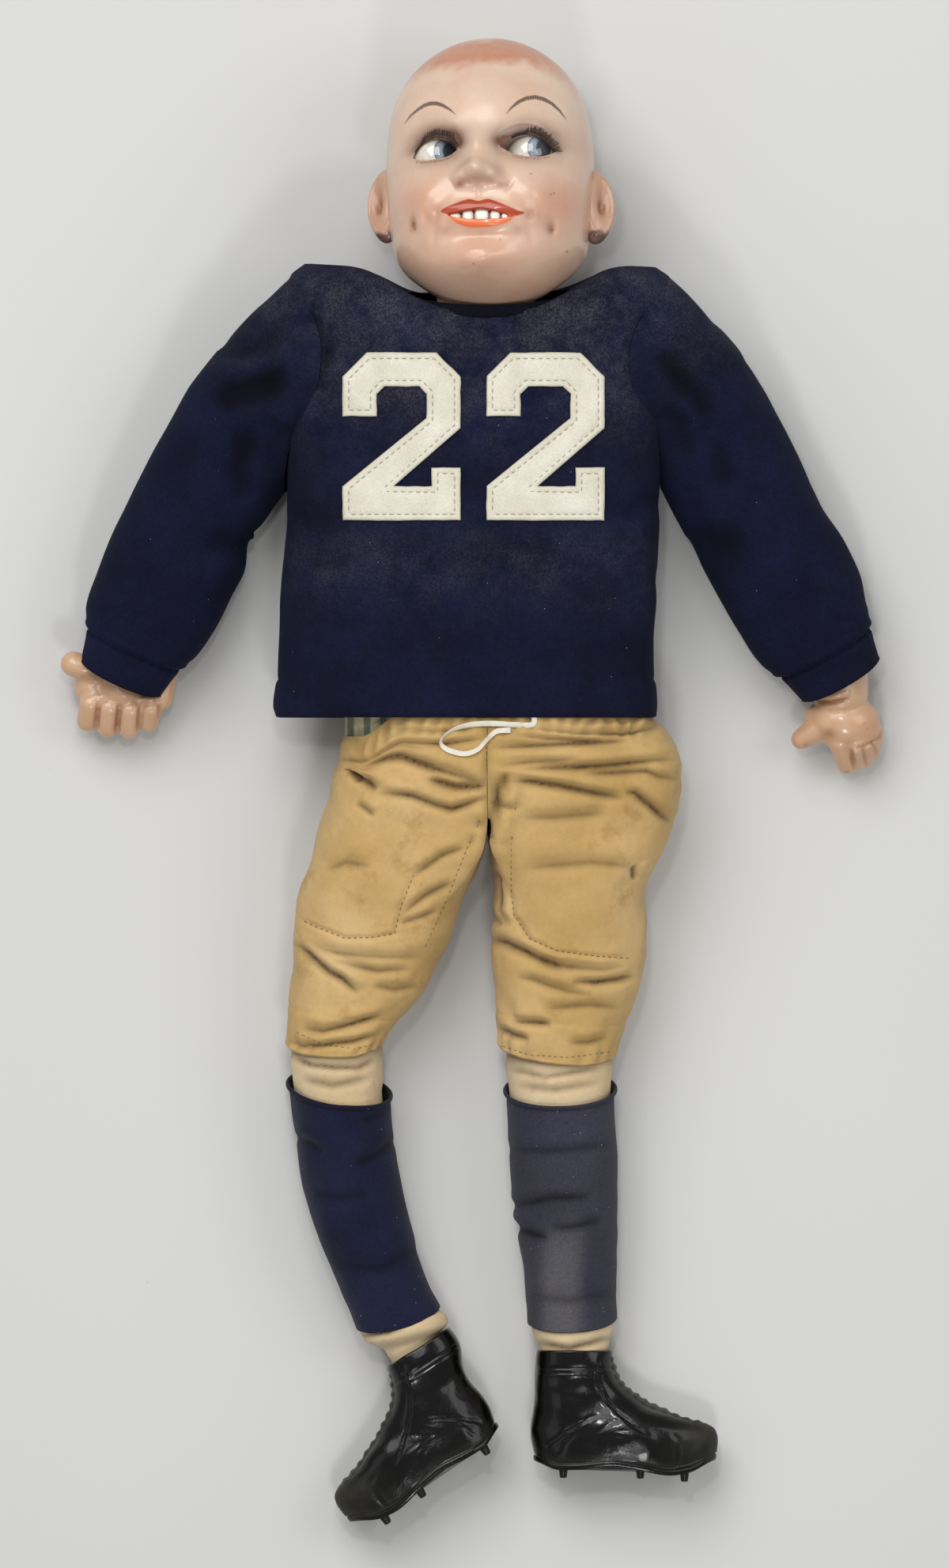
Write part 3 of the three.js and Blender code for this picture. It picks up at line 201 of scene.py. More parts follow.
both = add(sky, "MixShader", {0: seen, 1: dim, 2: pale})
add(sky, "OutputWorld", {0: both})
bpy.context.scene.world = world

# %% [markdown]
# ## Shapes from rings
# Cloth over stuffing is a tube whose sections swell and taper. Such a piece
# is built as rings of points: a table gives the half width and half depth
# along the limb, and a smooth reading between its rows gives every ring.
# Numbers are in millimetres until a mesh is made.

# %% Reading a table smoothly
def read_table(rows, where):
    last = len(rows) - 1
    if where <= rows[0][0]:
        return np.array(rows[0][1:], float)
    if where >= rows[last][0]:
        return np.array(rows[last][1:], float)
    i = 0
    while rows[i + 1][0] < where:
        i += 1

    def slope(m):
        low, high = rows[max(m - 1, 0)], rows[min(m + 1, last)]
        return (np.array(high[1:], float) - np.array(low[1:], float)) / (high[0] - low[0])

    step = rows[i + 1][0] - rows[i][0]
    t = (where - rows[i][0]) / step
    h = t * t * (3 - 2 * t)
    rise = t * (1 - t) ** 2 * slope(i) - t * t * (1 - t) * slope(i + 1)
    return np.array(rows[i][1:], float) * (1 - h) + np.array(rows[i + 1][1:], float) * h + rise * step


def unit(vector):
    vector = np.asarray(vector, float)
    return vector / np.linalg.norm(vector)


def power(value, exponent):
    return np.sign(value) * np.abs(value) ** exponent


def smooth(low, high, value):
    t = np.clip((value - low) / (high - low), 0, 1)
    return t * t * (3 - 2 * t)


def bell(value, width):
    return np.exp(-(value / width) ** 2)


def fade(share, exponent):
    """1 along most of a line and 0 at its two ends."""
    return 1 - np.abs(2 * share - 1) ** exponent


def turns(count):
    """Angles all round a ring."""
    return np.arange(count) / count * 2 * math.pi


def between(p, f):
    """The point a share f past the second of four points, on a smooth curve."""
    return 0.5 * (2 * p[1] + (p[2] - p[0]) * f + (2 * p[0] - 5 * p[1] + 4 * p[2] - p[3]) * f ** 2
                  + (3 * p[1] - p[0] - 3 * p[2] + p[3]) * f ** 3)


print("a table row half way:", read_table([[0, 1], [1, 3]], 0.5))

# %% [markdown]
# ## Meshes from grids
# A grid of points becomes a mesh in one step. Each mesh also keeps where its
# cloth lay before the doll moved: "rest" is the place of a point in the
# resting doll, and "cloth" is how far along and around the piece it is. The
# materials read these, so a weave or a stain stays on its thread in any pose.

# %% Grid to mesh
def outward(grid, wrap=True):
    down = np.gradient(grid, axis=0)
    if wrap:
        across = np.roll(grid, -1, 1) - np.roll(grid, 1, 1)
    else:
        across = np.gradient(grid, axis=1)
    normal = np.cross(across, down)
    length = np.linalg.norm(normal, axis=2, keepdims=True)
    normal = normal / np.maximum(length, 1e-9)
    middle = grid.mean(axis=1, keepdims=True)
    if (normal * (grid - middle)).sum() < 0:
        normal = -normal
    return normal


def grid_mesh(name, grid, material, values=None, wrap=True, caps=(False, False)):
    rows, count = grid.shape[:2]
    points = grid.reshape(-1, 3)
    row = np.arange(rows - 1)[:, None] * count
    column = np.arange(count if wrap else count - 1)[None, :]
    after = (column + 1) % count
    faces = np.stack([row + column, row + after, row + count + after, row + count + column],
                     -1).reshape(-1, 4)
    faces = faces.tolist()
    if caps[0]:
        faces.append(list(range(count))[::-1])
    if caps[1]:
        faces.append([(rows - 1) * count + i for i in range(count)])
    mesh = bpy.data.meshes.new(name)
    mesh.from_pydata((points * 0.001).tolist(), [], faces)
    facing = outward(grid, wrap)[rows // 2, count // 4]
    corner = (rows // 2) * (count if wrap else count - 1) + count // 4
    if Vector(facing).dot(mesh.polygons[corner].normal) < 0:
        mesh.flip_normals()
    along = np.cumsum(np.linalg.norm(np.diff(grid, axis=0, prepend=grid[:1]), axis=2), axis=0)
    around = np.cumsum(np.linalg.norm(np.diff(grid, axis=1, prepend=grid[:, :1]), axis=2), axis=1)
    cloth = np.stack([around, along, np.zeros_like(along)], -1)
    keep_values(mesh, {"rest": grid, "cloth": cloth, **(values or {})})
    return finish_mesh(name, mesh, material)


def keep_values(mesh, values):
    for key, array in values.items():
        array = np.asarray(array, np.float32)
        if array.ndim and array.shape[-1] == 3 and array.size == 3 * len(mesh.vertices):
            mesh.attributes.new(key, "FLOAT_VECTOR", "POINT").data.foreach_set("vector", array.ravel())
        else:
            mesh.attributes.new(key, "FLOAT", "POINT").data.foreach_set("value", array.ravel())


def finish_mesh(name, mesh, material):
    mesh.shade_smooth()
    mesh.materials.append(material)
    made = bpy.data.objects.new(name, mesh)
    bpy.context.scene.collection.objects.link(made)
    return made


def joined(name, parts):
    with bpy.context.temp_override(active_object=parts[0], selected_editable_objects=parts, object=parts[0]):
        bpy.ops.object.join()
    parts[0].name = name
    parts[0].data.name = name
    return parts[0]


print("grids become meshes with rest and cloth places")

# %% [markdown]
# ## Folds, lumps and wear
# A fold in cloth is a tight valley beside a soft roll. The folds of this doll
# are written down as lines, as they run when one looks down on it, each with
# a width and a depth. A small noise in plain numbers adds the uneven lumps
# that hand stuffing gives, the same on every run.

# %% Fold and noise helpers
def noise(points, size, seed=0):
    scaled = np.asarray(points, float) / size + seed * 7.31
    cell = np.floor(scaled).astype(np.int64)
    part = scaled - cell
    part = part * part * (3 - 2 * part)
    total = np.zeros(scaled.shape[:-1])
    for corner in np.ndindex(2, 2, 2):
        at = cell + np.array(corner)
        mixed = at[..., 0] * 374761393 + at[..., 1] * 668265263 + at[..., 2] * 1442695041 + seed * 97
        mixed = ((mixed ^ (mixed >> 13)) & 0xFFFFFFFF) * 1274126177
        mixed = (mixed ^ (mixed >> 16)) & 0xFFFFFF
        weight = np.prod(np.where(np.array(corner) == 1, part, 1 - part), axis=-1)
        total += (mixed / 0x7FFFFF - 1) * weight
    return total


def line_distance(points, path):
    """Signed distance to a line in the plan view, and how far along it the nearest point is."""
    flat = np.asarray(points, float)[..., :2]
    path = np.array(path, float)
    lengths = np.linalg.norm(np.diff(path, axis=0), axis=1)
    total = lengths.sum()
    best = np.full(flat.shape[:-1], 1e9)
    side = np.ones(flat.shape[:-1])
    share = np.zeros(flat.shape[:-1])
    done = 0.0
    for start, end, length in zip(path[:-1], path[1:], lengths):
        way = (end - start) / length
        rel = flat - start
        t = np.clip(rel @ way, 0, length)
        gap = np.linalg.norm(rel - t[..., None] * way, axis=-1)
        nearer = gap < best
        best = np.where(nearer, gap, best)
        turn = way[0] * rel[..., 1] - way[1] * rel[..., 0]
        side = np.where(nearer, np.sign(turn + 1e-12), side)
        share = np.where(nearer, (done + t) / total, share)
        done += length
    return best * side, share


def folds(points, lines, sharp=0.0):
    """Height of the folds, or with sharp a line of painted shade at the bottom of each."""
    height = np.zeros(np.asarray(points).shape[:-1])
    for width, depth, path in lines:
        gap, share = line_distance(points, path)
        ends = fade(share, 4)
        if sharp:
            line = np.exp(-np.abs(gap / (sharp * width)) ** 1.5)
            height = np.maximum(height, ends * line * min(depth / 2.4, 1))
            continue
        valley = bell(gap, width)
        roll = 0.55 * bell(gap - 1.9 * width, 1.4 * width)
        height += depth * ends * (roll - valley)
    return height


def moved(grid, height, wrap=True, floor=0.4):
    out = grid + outward(grid, wrap) * height[..., None]
    out[..., 2] = np.maximum(out[..., 2], floor)
    return out


print("noise at a point:", round(float(noise(np.array([1.0, 2.0, 3.0]), 5.0)), 3))

# %% [markdown]
# ## Where the limbs lie
# Each limb is a straight length between two joints. A ring across it needs
# two directions: "side" lies flat to the left or right of the limb, "up"
# faces the viewer. At an elbow or knee both lengths share the side of the
# hinge, so their rings meet in one curve.

# %% Limb directions
JOINTS = {
    "rightShoulder": (-100, 241, 48), "rightElbow": (-150, 153, 35.5), "rightWrist": (-192, 60, 25),
    "leftShoulder": (105, 240, 48), "leftElbow": (149, 148, 35.5), "leftWrist": (199, 59, 25),
    "rightHip": (-38, -3, 45), "rightKnee": (-75, -149, 30.5), "rightAnkle": (-38, -299, 22.5),
    "leftHip": (60, -3, 45), "leftKnee": (46, -153, 30.5), "leftAnkle": (54, -301, 22.5),
}
JOINTS = {name: np.array(place, float) for name, place in JOINTS.items()}


def flat_side(start, end):
    return unit(np.cross(end - start, (0, 0, 1)))


class Limb:
    def __init__(self, start, end, side_start, side_end, bow=0.0):
        self.start, self.end, self.bow = start, end, bow
        self.side_start, self.side_end = side_start, side_end
        self.along = unit(end - start)
        self.length = np.linalg.norm(end - start)

    def frame(self, share):
        side = unit(self.side_start + (self.side_end - self.side_start) * np.clip(share, 0, 1))
        side = unit(side - self.along * (side @ self.along))
        up = np.cross(side, self.along)
        if up[2] < 0:
            up = -up
        bowed = -self.bow * math.sin(math.pi * min(max(share, 0), 1))
        return self.start + self.along * self.length * share + bowed * side, side, up

    def point(self, share, angle, half_width, half_depth, corner=2.15):
        """A point of the skin: angle 0 points to the side, a quarter turn points up."""
        centre, side, up = self.frame(share)
        across = power(math.cos(angle), 2 / corner) * half_width
        depth = power(math.sin(angle), 2 / corner) * half_depth
        return centre + across * side + depth * up

    def ring(self, share, half_width, half_depth, count, corner=2.15, sag=0.0, grow=0.0):
        angle = turns(count)
        points = [self.point(share, a, half_width + grow, half_depth + grow, corner) for a in angle]
        return np.array(points) + (sag * np.sin(angle))[:, None] * self.along


def arm_limbs(prefix):
    shoulder, elbow, wrist = (JOINTS[prefix + n] for n in ("Shoulder", "Elbow", "Wrist"))
    hinge = unit(flat_side(shoulder, elbow) + flat_side(elbow, wrist))
    return (Limb(shoulder, elbow, flat_side(shoulder, elbow), hinge),
            Limb(elbow, wrist, hinge, flat_side(elbow, wrist)))


def leg_limbs(prefix, bow):
    hip, knee, ankle = (JOINTS[prefix + n] for n in ("Hip", "Knee", "Ankle"))
    hinge = unit(flat_side(hip, knee) + flat_side(knee, ankle))
    return (Limb(hip, knee, np.array((1.0, 0, 0)), -hinge * np.sign(-hinge[0])),
            Limb(knee, ankle, -hinge * np.sign(-hinge[0]), -flat_side(knee, ankle), bow))


arms = {"right": arm_limbs("right"), "left": arm_limbs("left")}
legs = {"right": leg_limbs("right", 8.0), "left": leg_limbs("left", 0.0)}
for side in ("right", "left"):
    print(side, "forearm side", arms[side][1].frame(0.5)[1].round(2), "shin side",
          legs[side][1].frame(0.5)[1].round(2))

# %% [markdown]
# ## Wool, felt and thread
# The jersey is a fine navy wool knit, brushed so that the loops hardly show.
# Two things make it wool: a sheen at grazing angles from the upright fibres,
# and pale dust and lint that sit in the fuzz of the shoulders. The felt of
# the numerals is pressed wool, so it has no weave, only soft clouds and pits.

# %% Fabric materials
PLACES = ("rest", "cloth")


def wool_material(name, base, dusty, dust_amount):
    made, tree, shader = new_material(name, Roughness=0.95, Sheen_Weight=0.08, Sheen_Roughness=0.5)
    shader.inputs["Sheen Tint"].default_value = linear("#44486e")
    shader.inputs["Specular IOR Level"].default_value = 0.15
    rest, cloth = [add(tree, "Attribute", {".attribute_name": name}, out="Vector") for name in PLACES]
    wales = add(tree, "TexWave", {".bands_direction": "X", "Scale": 0.2, "Distortion": 1.4, "Detail": 2.0,
                                  "Detail Scale": 2.0, "Vector": cloth}, out="Fac")
    fuzz = add(tree, "TexNoise", {"Scale": 0.55, "Detail": 4.0, "Roughness": 0.7, "Vector": rest})
    clouds = add(tree, "TexNoise", {"Scale": 0.022, "Detail": 3.0, "Roughness": 0.6, "Vector": rest})
    deep = add(tree, "ValToRGB", {".stops": [(0.3, linear(base[0])), (0.7, linear(base[1]))], 0: clouds})
    fibre = add(tree, "ValToRGB", {".stops": [(0.25, (0.62,)), (0.75, (1.35,))], 0: fuzz})
    coloured = add(tree, "Mix", {".data_type": "RGBA", ".blend_type": "MULTIPLY", 0: 1.0, 6: deep,
                                 7: fibre}, out=2)
    patches = add(tree, "TexNoise", {"Scale": 0.05, "Detail": 6.0, "Roughness": 0.75, "Vector": rest})
    lint = add(tree, "TexNoise", {"Scale": 0.9, "Detail": 2.0, "Roughness": 0.8, "Vector": rest})
    spread = add(tree,
                 "Math", {".operation": "MULTIPLY",
                          0: add(tree, "ValToRGB", {".stops": [(0.36, (0.0,)), (0.7, (1.0,))], 0: patches}),
                          1: add(tree, "ValToRGB", {".stops": [(0.4, (0.15,)), (0.68, (1.0,))], 0: lint})})
    dust = add(tree, "Math", {".operation": "MULTIPLY", ".use_clamp": True, 0: spread,
                              1: add(tree, "Attribute", {".attribute_name": "dust"}, out="Fac")})
    dust = add(tree, "Math", {".operation": "MULTIPLY", ".use_clamp": True, 0: dust, 1: dust_amount})
    coloured = add(tree, "Mix", {".data_type": "RGBA", 0: dust, 6: coloured, 7: linear(dusty)}, out=2)
    spots = add(tree, "TexVoronoi", {"Scale": 0.11, "Randomness": 1.0, "Vector": rest})
    spot = add(tree, "ValToRGB", {".stops": [(0.012, (1.0,)), (0.028, (0.0,))], 0: spots})
    coloured = add(tree, "Mix",
                   {".data_type": "RGBA", 0: add(tree, "Math", {".operation": "MULTIPLY", 0: spot, 1: 0.8}),
                    6: coloured, 7: linear("#b9b6b4")}, out=2)
    # Painted shade: where a piece carries "deep", the knit is mixed towards near black, for the shade in its
    # fold valleys and turned edges.
    coloured = add(tree, "Mix",
                   {".data_type": "RGBA", 0: add(tree, "Attribute", {".attribute_name": "deep"}, out="Fac"),
                    6: coloured, 7: linear("#030309")}, out=2)
    tree.links.new(coloured, shader.inputs["Base Color"])
    relief = add(tree, "Math", {".operation": "ADD", 0: add(tree, "Math", {".operation": "MULTIPLY",
                                                                           0: wales, 1: 0.25}), 1: fuzz})
    tree.links.new(add(tree, "Bump", {"Strength": 0.55, "Distance": 0.0008, "Height": relief}),
                   shader.inputs["Normal"])
    return made


wool = wool_material("navy_wool_knit_brushed", ("#090b1e", "#10142f"), "#56555c", 0.85)
knit_band = wool_material("navy_wool_rib_knit", ("#060710", "#0a0b18"), "#3a3636", 0.2)

felt, tree, shader = new_material("cream_wool_felt_pressed", Roughness=0.92, Sheen_Weight=0.25)
rest = add(tree, "Attribute", {".attribute_name": "rest"}, out="Vector")
clouds = add(tree, "TexNoise", {"Scale": 0.07, "Detail": 4.0, "Vector": rest})
pits = add(tree, "TexNoise", {"Scale": 0.9, "Detail": 4.0, "Roughness": 0.7, "Vector": rest})
tone = add(tree, "ValToRGB", {".stops": [(0.32, linear("#cfcab6")), (0.68, linear("#ded9ca"))], 0: clouds})
pit = add(tree, "ValToRGB", {".stops": [(0.3, (0.86,)), (0.6, (1.04,))], 0: pits})
toned = add(tree, "Mix", {".data_type": "RGBA", ".blend_type": "MULTIPLY", 0: 1.0, 6: tone, 7: pit}, out=2)
soiled = add(tree, "Math", {".operation": "MULTIPLY",
                            0: add(tree, "Attribute", {".attribute_name": "edge"}, out="Fac"), 1: 0.5})
tree.links.new(add(tree, "Mix", {".data_type": "RGBA", 0: soiled, 6: toned, 7: linear("#a39c86")}, out=2),
               shader.inputs["Base Color"])
tree.links.new(add(tree, "Bump", {"Strength": 0.5, "Distance": 0.0006, "Height": pits}),
               shader.inputs["Normal"])


def thread_material(name, dark, pale):
    made, tree, shader = new_material(name, Roughness=0.8)
    place = add(tree, "Attribute", {".attribute_name": "rest"}, out="Vector")
    twist = add(tree, "TexNoise", {"Scale": 1.4, "Detail": 3.0, "Vector": place})
    tree.links.new(add(tree, "ValToRGB", {".stops": [(0.35, linear(dark)), (0.65, linear(pale))],
                                          0: twist}), shader.inputs["Base Color"])
    tree.links.new(add(tree, "Bump", {"Strength": 0.4, "Distance": 0.0003, "Height": twist}),
                   shader.inputs["Normal"])
    return made


grey_thread = thread_material("grey_cotton_thread", "#8d8a7c", "#b5b09d")
brown_thread = thread_material("brown_cotton_thread", "#5f4526", "#86683c")
print("fabrics:", wool.name, knit_band.name, felt.name)

# %% [markdown]
# ## Threads
# Stitches and lashes are thin round strands. Many strands go into one mesh,
# and each is a narrow tube that thins out at both ends.

# %% Strands
def strands(name, paths, radius, material, sides=5, taper=(0.5, 0.5), extra=None):
    points, faces = [], []
    angle = turns(sides)
    for path in paths:
        path = np.asarray(path, float)
        way = np.gradient(path, axis=0)
        way /= np.maximum(np.linalg.norm(way, axis=1, keepdims=True), 1e-9)
        spare = np.array((0, 0, 1.0)) if abs(way[0][2]) < 0.8 else np.array((1.0, 0, 0))
        first = np.cross(way, spare)
        first /= np.maximum(np.linalg.norm(first, axis=1, keepdims=True), 1e-9)
        second = np.cross(way, first)
        share = np.linspace(0, 1, len(path))
        size = radius * np.minimum(taper[0] + share * 4, np.minimum(1, taper[1] + (1 - share) * 4))
        ring = (path[:, None] + (np.cos(angle)[None, :, None] * first[:, None]
                                 + np.sin(angle)[None, :, None] * second[:, None]) * size[:, None, None])
        base = len(points)
        points.extend(ring.reshape(-1, 3).tolist())
        for i in range(len(path) - 1):
            for j in range(sides):
                k = (j + 1) % sides
                faces.append((base + i * sides + j, base + i * sides + k,
                              base + (i + 1) * sides + k, base + (i + 1) * sides + j))
        faces.append(tuple(base + j for j in range(sides))[::-1])
        faces.append(tuple(base + (len(path) - 1) * sides + j for j in range(sides)))
    mesh = bpy.data.meshes.new(name)
    array = np.array(points)
    mesh.from_pydata((array * 0.001).tolist(), [], faces)
    keep_values(mesh, {"rest": array, **(extra or {})})
    tidy = bmesh.new()
    tidy.from_mesh(mesh)
    bmesh.ops.recalc_face_normals(tidy, faces=tidy.faces)
    tidy.to_mesh(mesh)
    tidy.free()
    return finish_mesh(name, mesh, material)


def stitches_along(path, place, length=3.0, gap=1.8, lift=0.25):
    """Short strands along a plan line; place(x, y) gives the height of the cloth there."""
    path = np.array(path, float)
    steps = np.linalg.norm(np.diff(path, axis=0), axis=1)
    total = np.concatenate([[0], np.cumsum(steps)])
    out = []
    at = gap
    while at + length < total[-1]:
        where = np.linspace(at, at + length, 4)
        x = np.interp(where, total, path[:, 0])
        y = np.interp(where, total, path[:, 1])
        lifted = lift * np.array((-0.6, 1, 1, -0.6))
        out.append(np.stack([x, y, place(x, y) + lifted], 1))
        at += length + gap
    return out


print("strand helper ready")

# %% [markdown]
# ## The jersey
# A pullover on a stuffed body: a tube with flat sides and back, square
# shoulders and a round opening for the neck. The rings go up the body, over
# the shoulders and in to the neck, so the shoulders round off by themselves.
# The hem is turned up once and held by a line of stitches, pressed in as a shallow groove.

# %% Jersey body
JERSEY = [[38, -107, 98, 1.5, 92], [44, -108.5, 98.5, 0, 93], [58, -106.5, 98, -1, 94],
          [112, -104, 99.5, -1.5, 96], [169, -103, 101, -1.5, 97], [210, -103.5, 102.5, -1.5, 96],
          [245, -104, 106, -1.5, 93], [266, -104, 109, 3, 89], [277, -100, 107, 12, 82],
          [283, -92, 99, 24, 72]]
JERSEY_CORNER = 3.1
NECK = (6.0, 52.0)


def oval(row, count, corner, grow=0.0):
    low_x, high_x, low_z, high_z = row
    angle = turns(count)
    c, s = np.cos(angle), np.sin(angle)
    x = (low_x + high_x) / 2 + power(c, 2 / corner) * ((high_x - low_x) / 2 + grow)
    z = (low_z + high_z) / 2 + power(s, 2 / corner) * ((high_z - low_z) / 2 + grow)
    return x, z, c, s


def jersey_lumps(points):
    soft = 1.3 * noise(points, 46, 3) + 0.7 * noise(points, 19, 5)
    lines = [
        (7.0, 2.6, [(-101, 152), (-86, 141), (-66, 137)]),
        (6.0, 2.0, [(-103, 130), (-84, 120), (-58, 122)]),
        (8.0, 2.2, [(98, 160), (84, 150), (70, 151)]),
        (7.0, 1.6, [(-60, 126), (-20, 118), (26, 121), (62, 117)]),
        (9.0, 1.8, [(99, 120), (70, 104), (30, 106)]),
        (8.0, 1.5, [(-98, 96), (-60, 86), (-20, 92)]),
        (6.0, 2.2, [(-96, 262), (-80, 240), (-84, 212)]),
        (6.0, 2.0, [(100, 262), (86, 240), (88, 214)]),
        (1.1, 0.9, [(-99.5, 283), (-103, 255), (-105.5, 222), (-104.5, 188)]),
        (1.1, 0.9, [(111, 281), (106, 255), (102.5, 225), (100, 188)]),
    ]
    return soft + folds(points, lines)


def chest(x, y):
    """Height of the knit above the table at plan places."""
    x, y = np.atleast_1d(np.asarray(x, float)), np.atleast_1d(np.asarray(y, float))
    low_x, high_x, low_z, high_z = np.array([read_table(JERSEY, at) for at in y]).T
    across = np.minimum(np.abs(x - (low_x + high_x) / 2) / ((high_x - low_x) / 2), 0.999)
    z = (low_z + high_z) / 2 + (1 - across ** JERSEY_CORNER) ** (1 / JERSEY_CORNER) * (high_z - low_z) / 2
    return z + jersey_lumps(np.stack([x, y, z], -1))


def jersey_points(y, c, s, grow=0.0):
    """Points of the jersey skin at any heights, one for each direction."""
    levels = np.arange(30, 290, 0.5)
    table = np.array([read_table(JERSEY, at) for at in levels])
    low_x, high_x, low_z, high_z = [np.interp(y, levels, column) for column in table.T]
    x = (low_x + high_x) / 2 + power(c, 2 / JERSEY_CORNER) * ((high_x - low_x) / 2 + grow)
    z = (low_z + high_z) / 2 + power(s, 2 / JERSEY_CORNER) * ((high_z - low_z) / 2 + grow)
    return np.stack([x, y, np.maximum(z, 0.0)], -1)


count = 300
angle = turns(count)
c, s = np.cos(angle), np.sin(angle)
across = np.abs(power(c, 2 / JERSEY_CORNER) * 103 + 2.5 - NECK[0])
shoulder = 283 - 13 * (1 - smooth(40, 85, across))
neckline = 256 + 14 * (across / 50) ** 2
shoulder = np.where(s > 0, np.minimum(shoulder, neckline), shoulder)
rings = []
for y in np.concatenate([np.linspace(38, 236, 80), np.linspace(238, 283, 30)]):
    raised = y if y < 238 else 238 + (y - 238) * (shoulder - 238) / 45
    rings.append(jersey_points(np.broadcast_to(raised, count).astype(float), c, s))
top = rings[-1]
aim = np.arctan2((top[:, 2] - NECK[1]) / 38.5, (top[:, 0] - NECK[0]) / 48.5)
rim_y = 270 - 14.5 * np.maximum(np.sin(aim), 0) ** 2 - np.maximum(-np.sin(aim), 0) ** 2
rim_y = np.minimum(rim_y, top[:, 1] - 1.2)
rim = np.stack([NECK[0] + 48.5 * np.cos(aim), rim_y, NECK[1] + 38.5 * np.sin(aim)], 1)
for t in np.linspace(0, 1, 18)[1:]:
    point = top + (rim - top) * t
    point[:, 1] = top[:, 1] + (rim[:, 1] - top[:, 1]) * (1 - math.cos(t * math.pi / 2))
    rings.append(point)
grid = np.array(rings)
height = jersey_lumps(grid)
height *= smooth(0, 0.12, np.linspace(0, 1, len(rings)))[:, None] * 0.85 + 0.15
hem = grid[..., 1]
height += 0.9 * (1 - smooth(55.5, 57.0, hem)) - 0.9 * bell(hem - 57.0, 1.1)
grid = moved(grid, height, floor=0.25)
inner = []
for y, grow in ((37.2, -0.9), (37.4, -2.0), (39.0, -2.8), (52.0, -3.0), (66.0, -3.2)):
    x, z, c, s = oval(read_table(JERSEY, y), count, JERSEY_CORNER, grow)
    inner.insert(0, np.stack([x, np.full(count, y), np.maximum(z, 0.3)], 1))
grid = np.concatenate([np.array(inner), grid])
dust = smooth(150, 265, grid[..., 1]) * (0.5 + 0.5 * smooth(60, 92, grid[..., 2])) + 0.05
dust += 0.4 * bell(grid[..., 1] - 122, 22)
# Painted shade: the knit is darkened in the valleys of its folds.
deep = np.clip(-height / 3.4 - 0.25, 0, 0.75)
deep = np.concatenate([np.zeros((len(inner), count)), deep])
jersey = grid_mesh("jersey_body_knit", grid, wool, {"dust": np.clip(dust, 0, 1), "deep": deep})
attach(jersey, "trunk")
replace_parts(jersey, "jersey_body")
print("jersey:", len(jersey.data.vertices), "points")

# %% [markdown]
# The neckband is a narrow rib knit, folded over the edge of the opening.

# %% Neckband
rings = []
angle = turns(180)
for turn in np.linspace(0, 2 * math.pi, 19):
    out = 2.0 * math.cos(turn)
    up = 3.4 * math.sin(turn)
    rib = 0.25 * np.cos(angle * 90)
    x = NECK[0] + (50 + out + rib) * np.cos(angle)
    z = NECK[1] + (40.5 + out + rib) * np.sin(angle)
    y = 257.6 + up + 6.4 * np.cos(angle) ** 2
    rings.append(np.stack([x, y, z], 1))
grid = np.array(rings)
band = grid_mesh("jersey_neckband_rib", grid, knit_band, {"dust": np.full(grid.shape[:2], 0.4)})
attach(band, "trunk")
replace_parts(band, "jersey_neckband")
print("neckband:", len(band.data.vertices), "points")

# %% [markdown]
# ## Felt numerals
# Each numeral is a flat piece of felt, cut to shape and stitched on a little
# inside its edge. It takes the curve of the chest under it. The outline is
# inset a few times, so there are points to round the cut edge and to press
# the stitch line down; the rest is sliced into a net that can bend.

# %% Numerals
NUMERAL_W, NUMERAL_H, NUMERAL_B, NUMERAL_BOTTOM = 64.0, 91.0, 18.5, 144.0
w, h, b = NUMERAL_W, NUMERAL_H, NUMERAL_B
TWO = [(0, 0), (w, 0), (w, b * 1.55), (w - b * 0.85, b * 1.55), (w - b * 0.85, b), (b * 1.5, b),
       (w, h * 0.55), (w, h - 13), (w - 13, h), (13, h), (0, h - 13), (0, h * 0.62), (b, h * 0.62),
       (b, h - b - 4), (b + 4, h - b), (w - b - 4, h - b), (w - b, h - b - 4), (w - b, h * 0.61), (0, b)]


def inset_outline(outline, distance):
    points = np.array(outline, float)
    before = points - np.roll(points, 1, 0)
    after = np.roll(points, -1, 0) - points
    out = []
    for p, u, v in zip(points, before, after):
        u, v = u / np.linalg.norm(u), v / np.linalg.norm(v)
        nu, nv = np.array((-u[1], u[0])), np.array((-v[1], v[0]))
        middle = (nu + nv) / max(1 + nu @ nv, 0.3)
        out.append(p + middle * distance)
    return np.array(out)


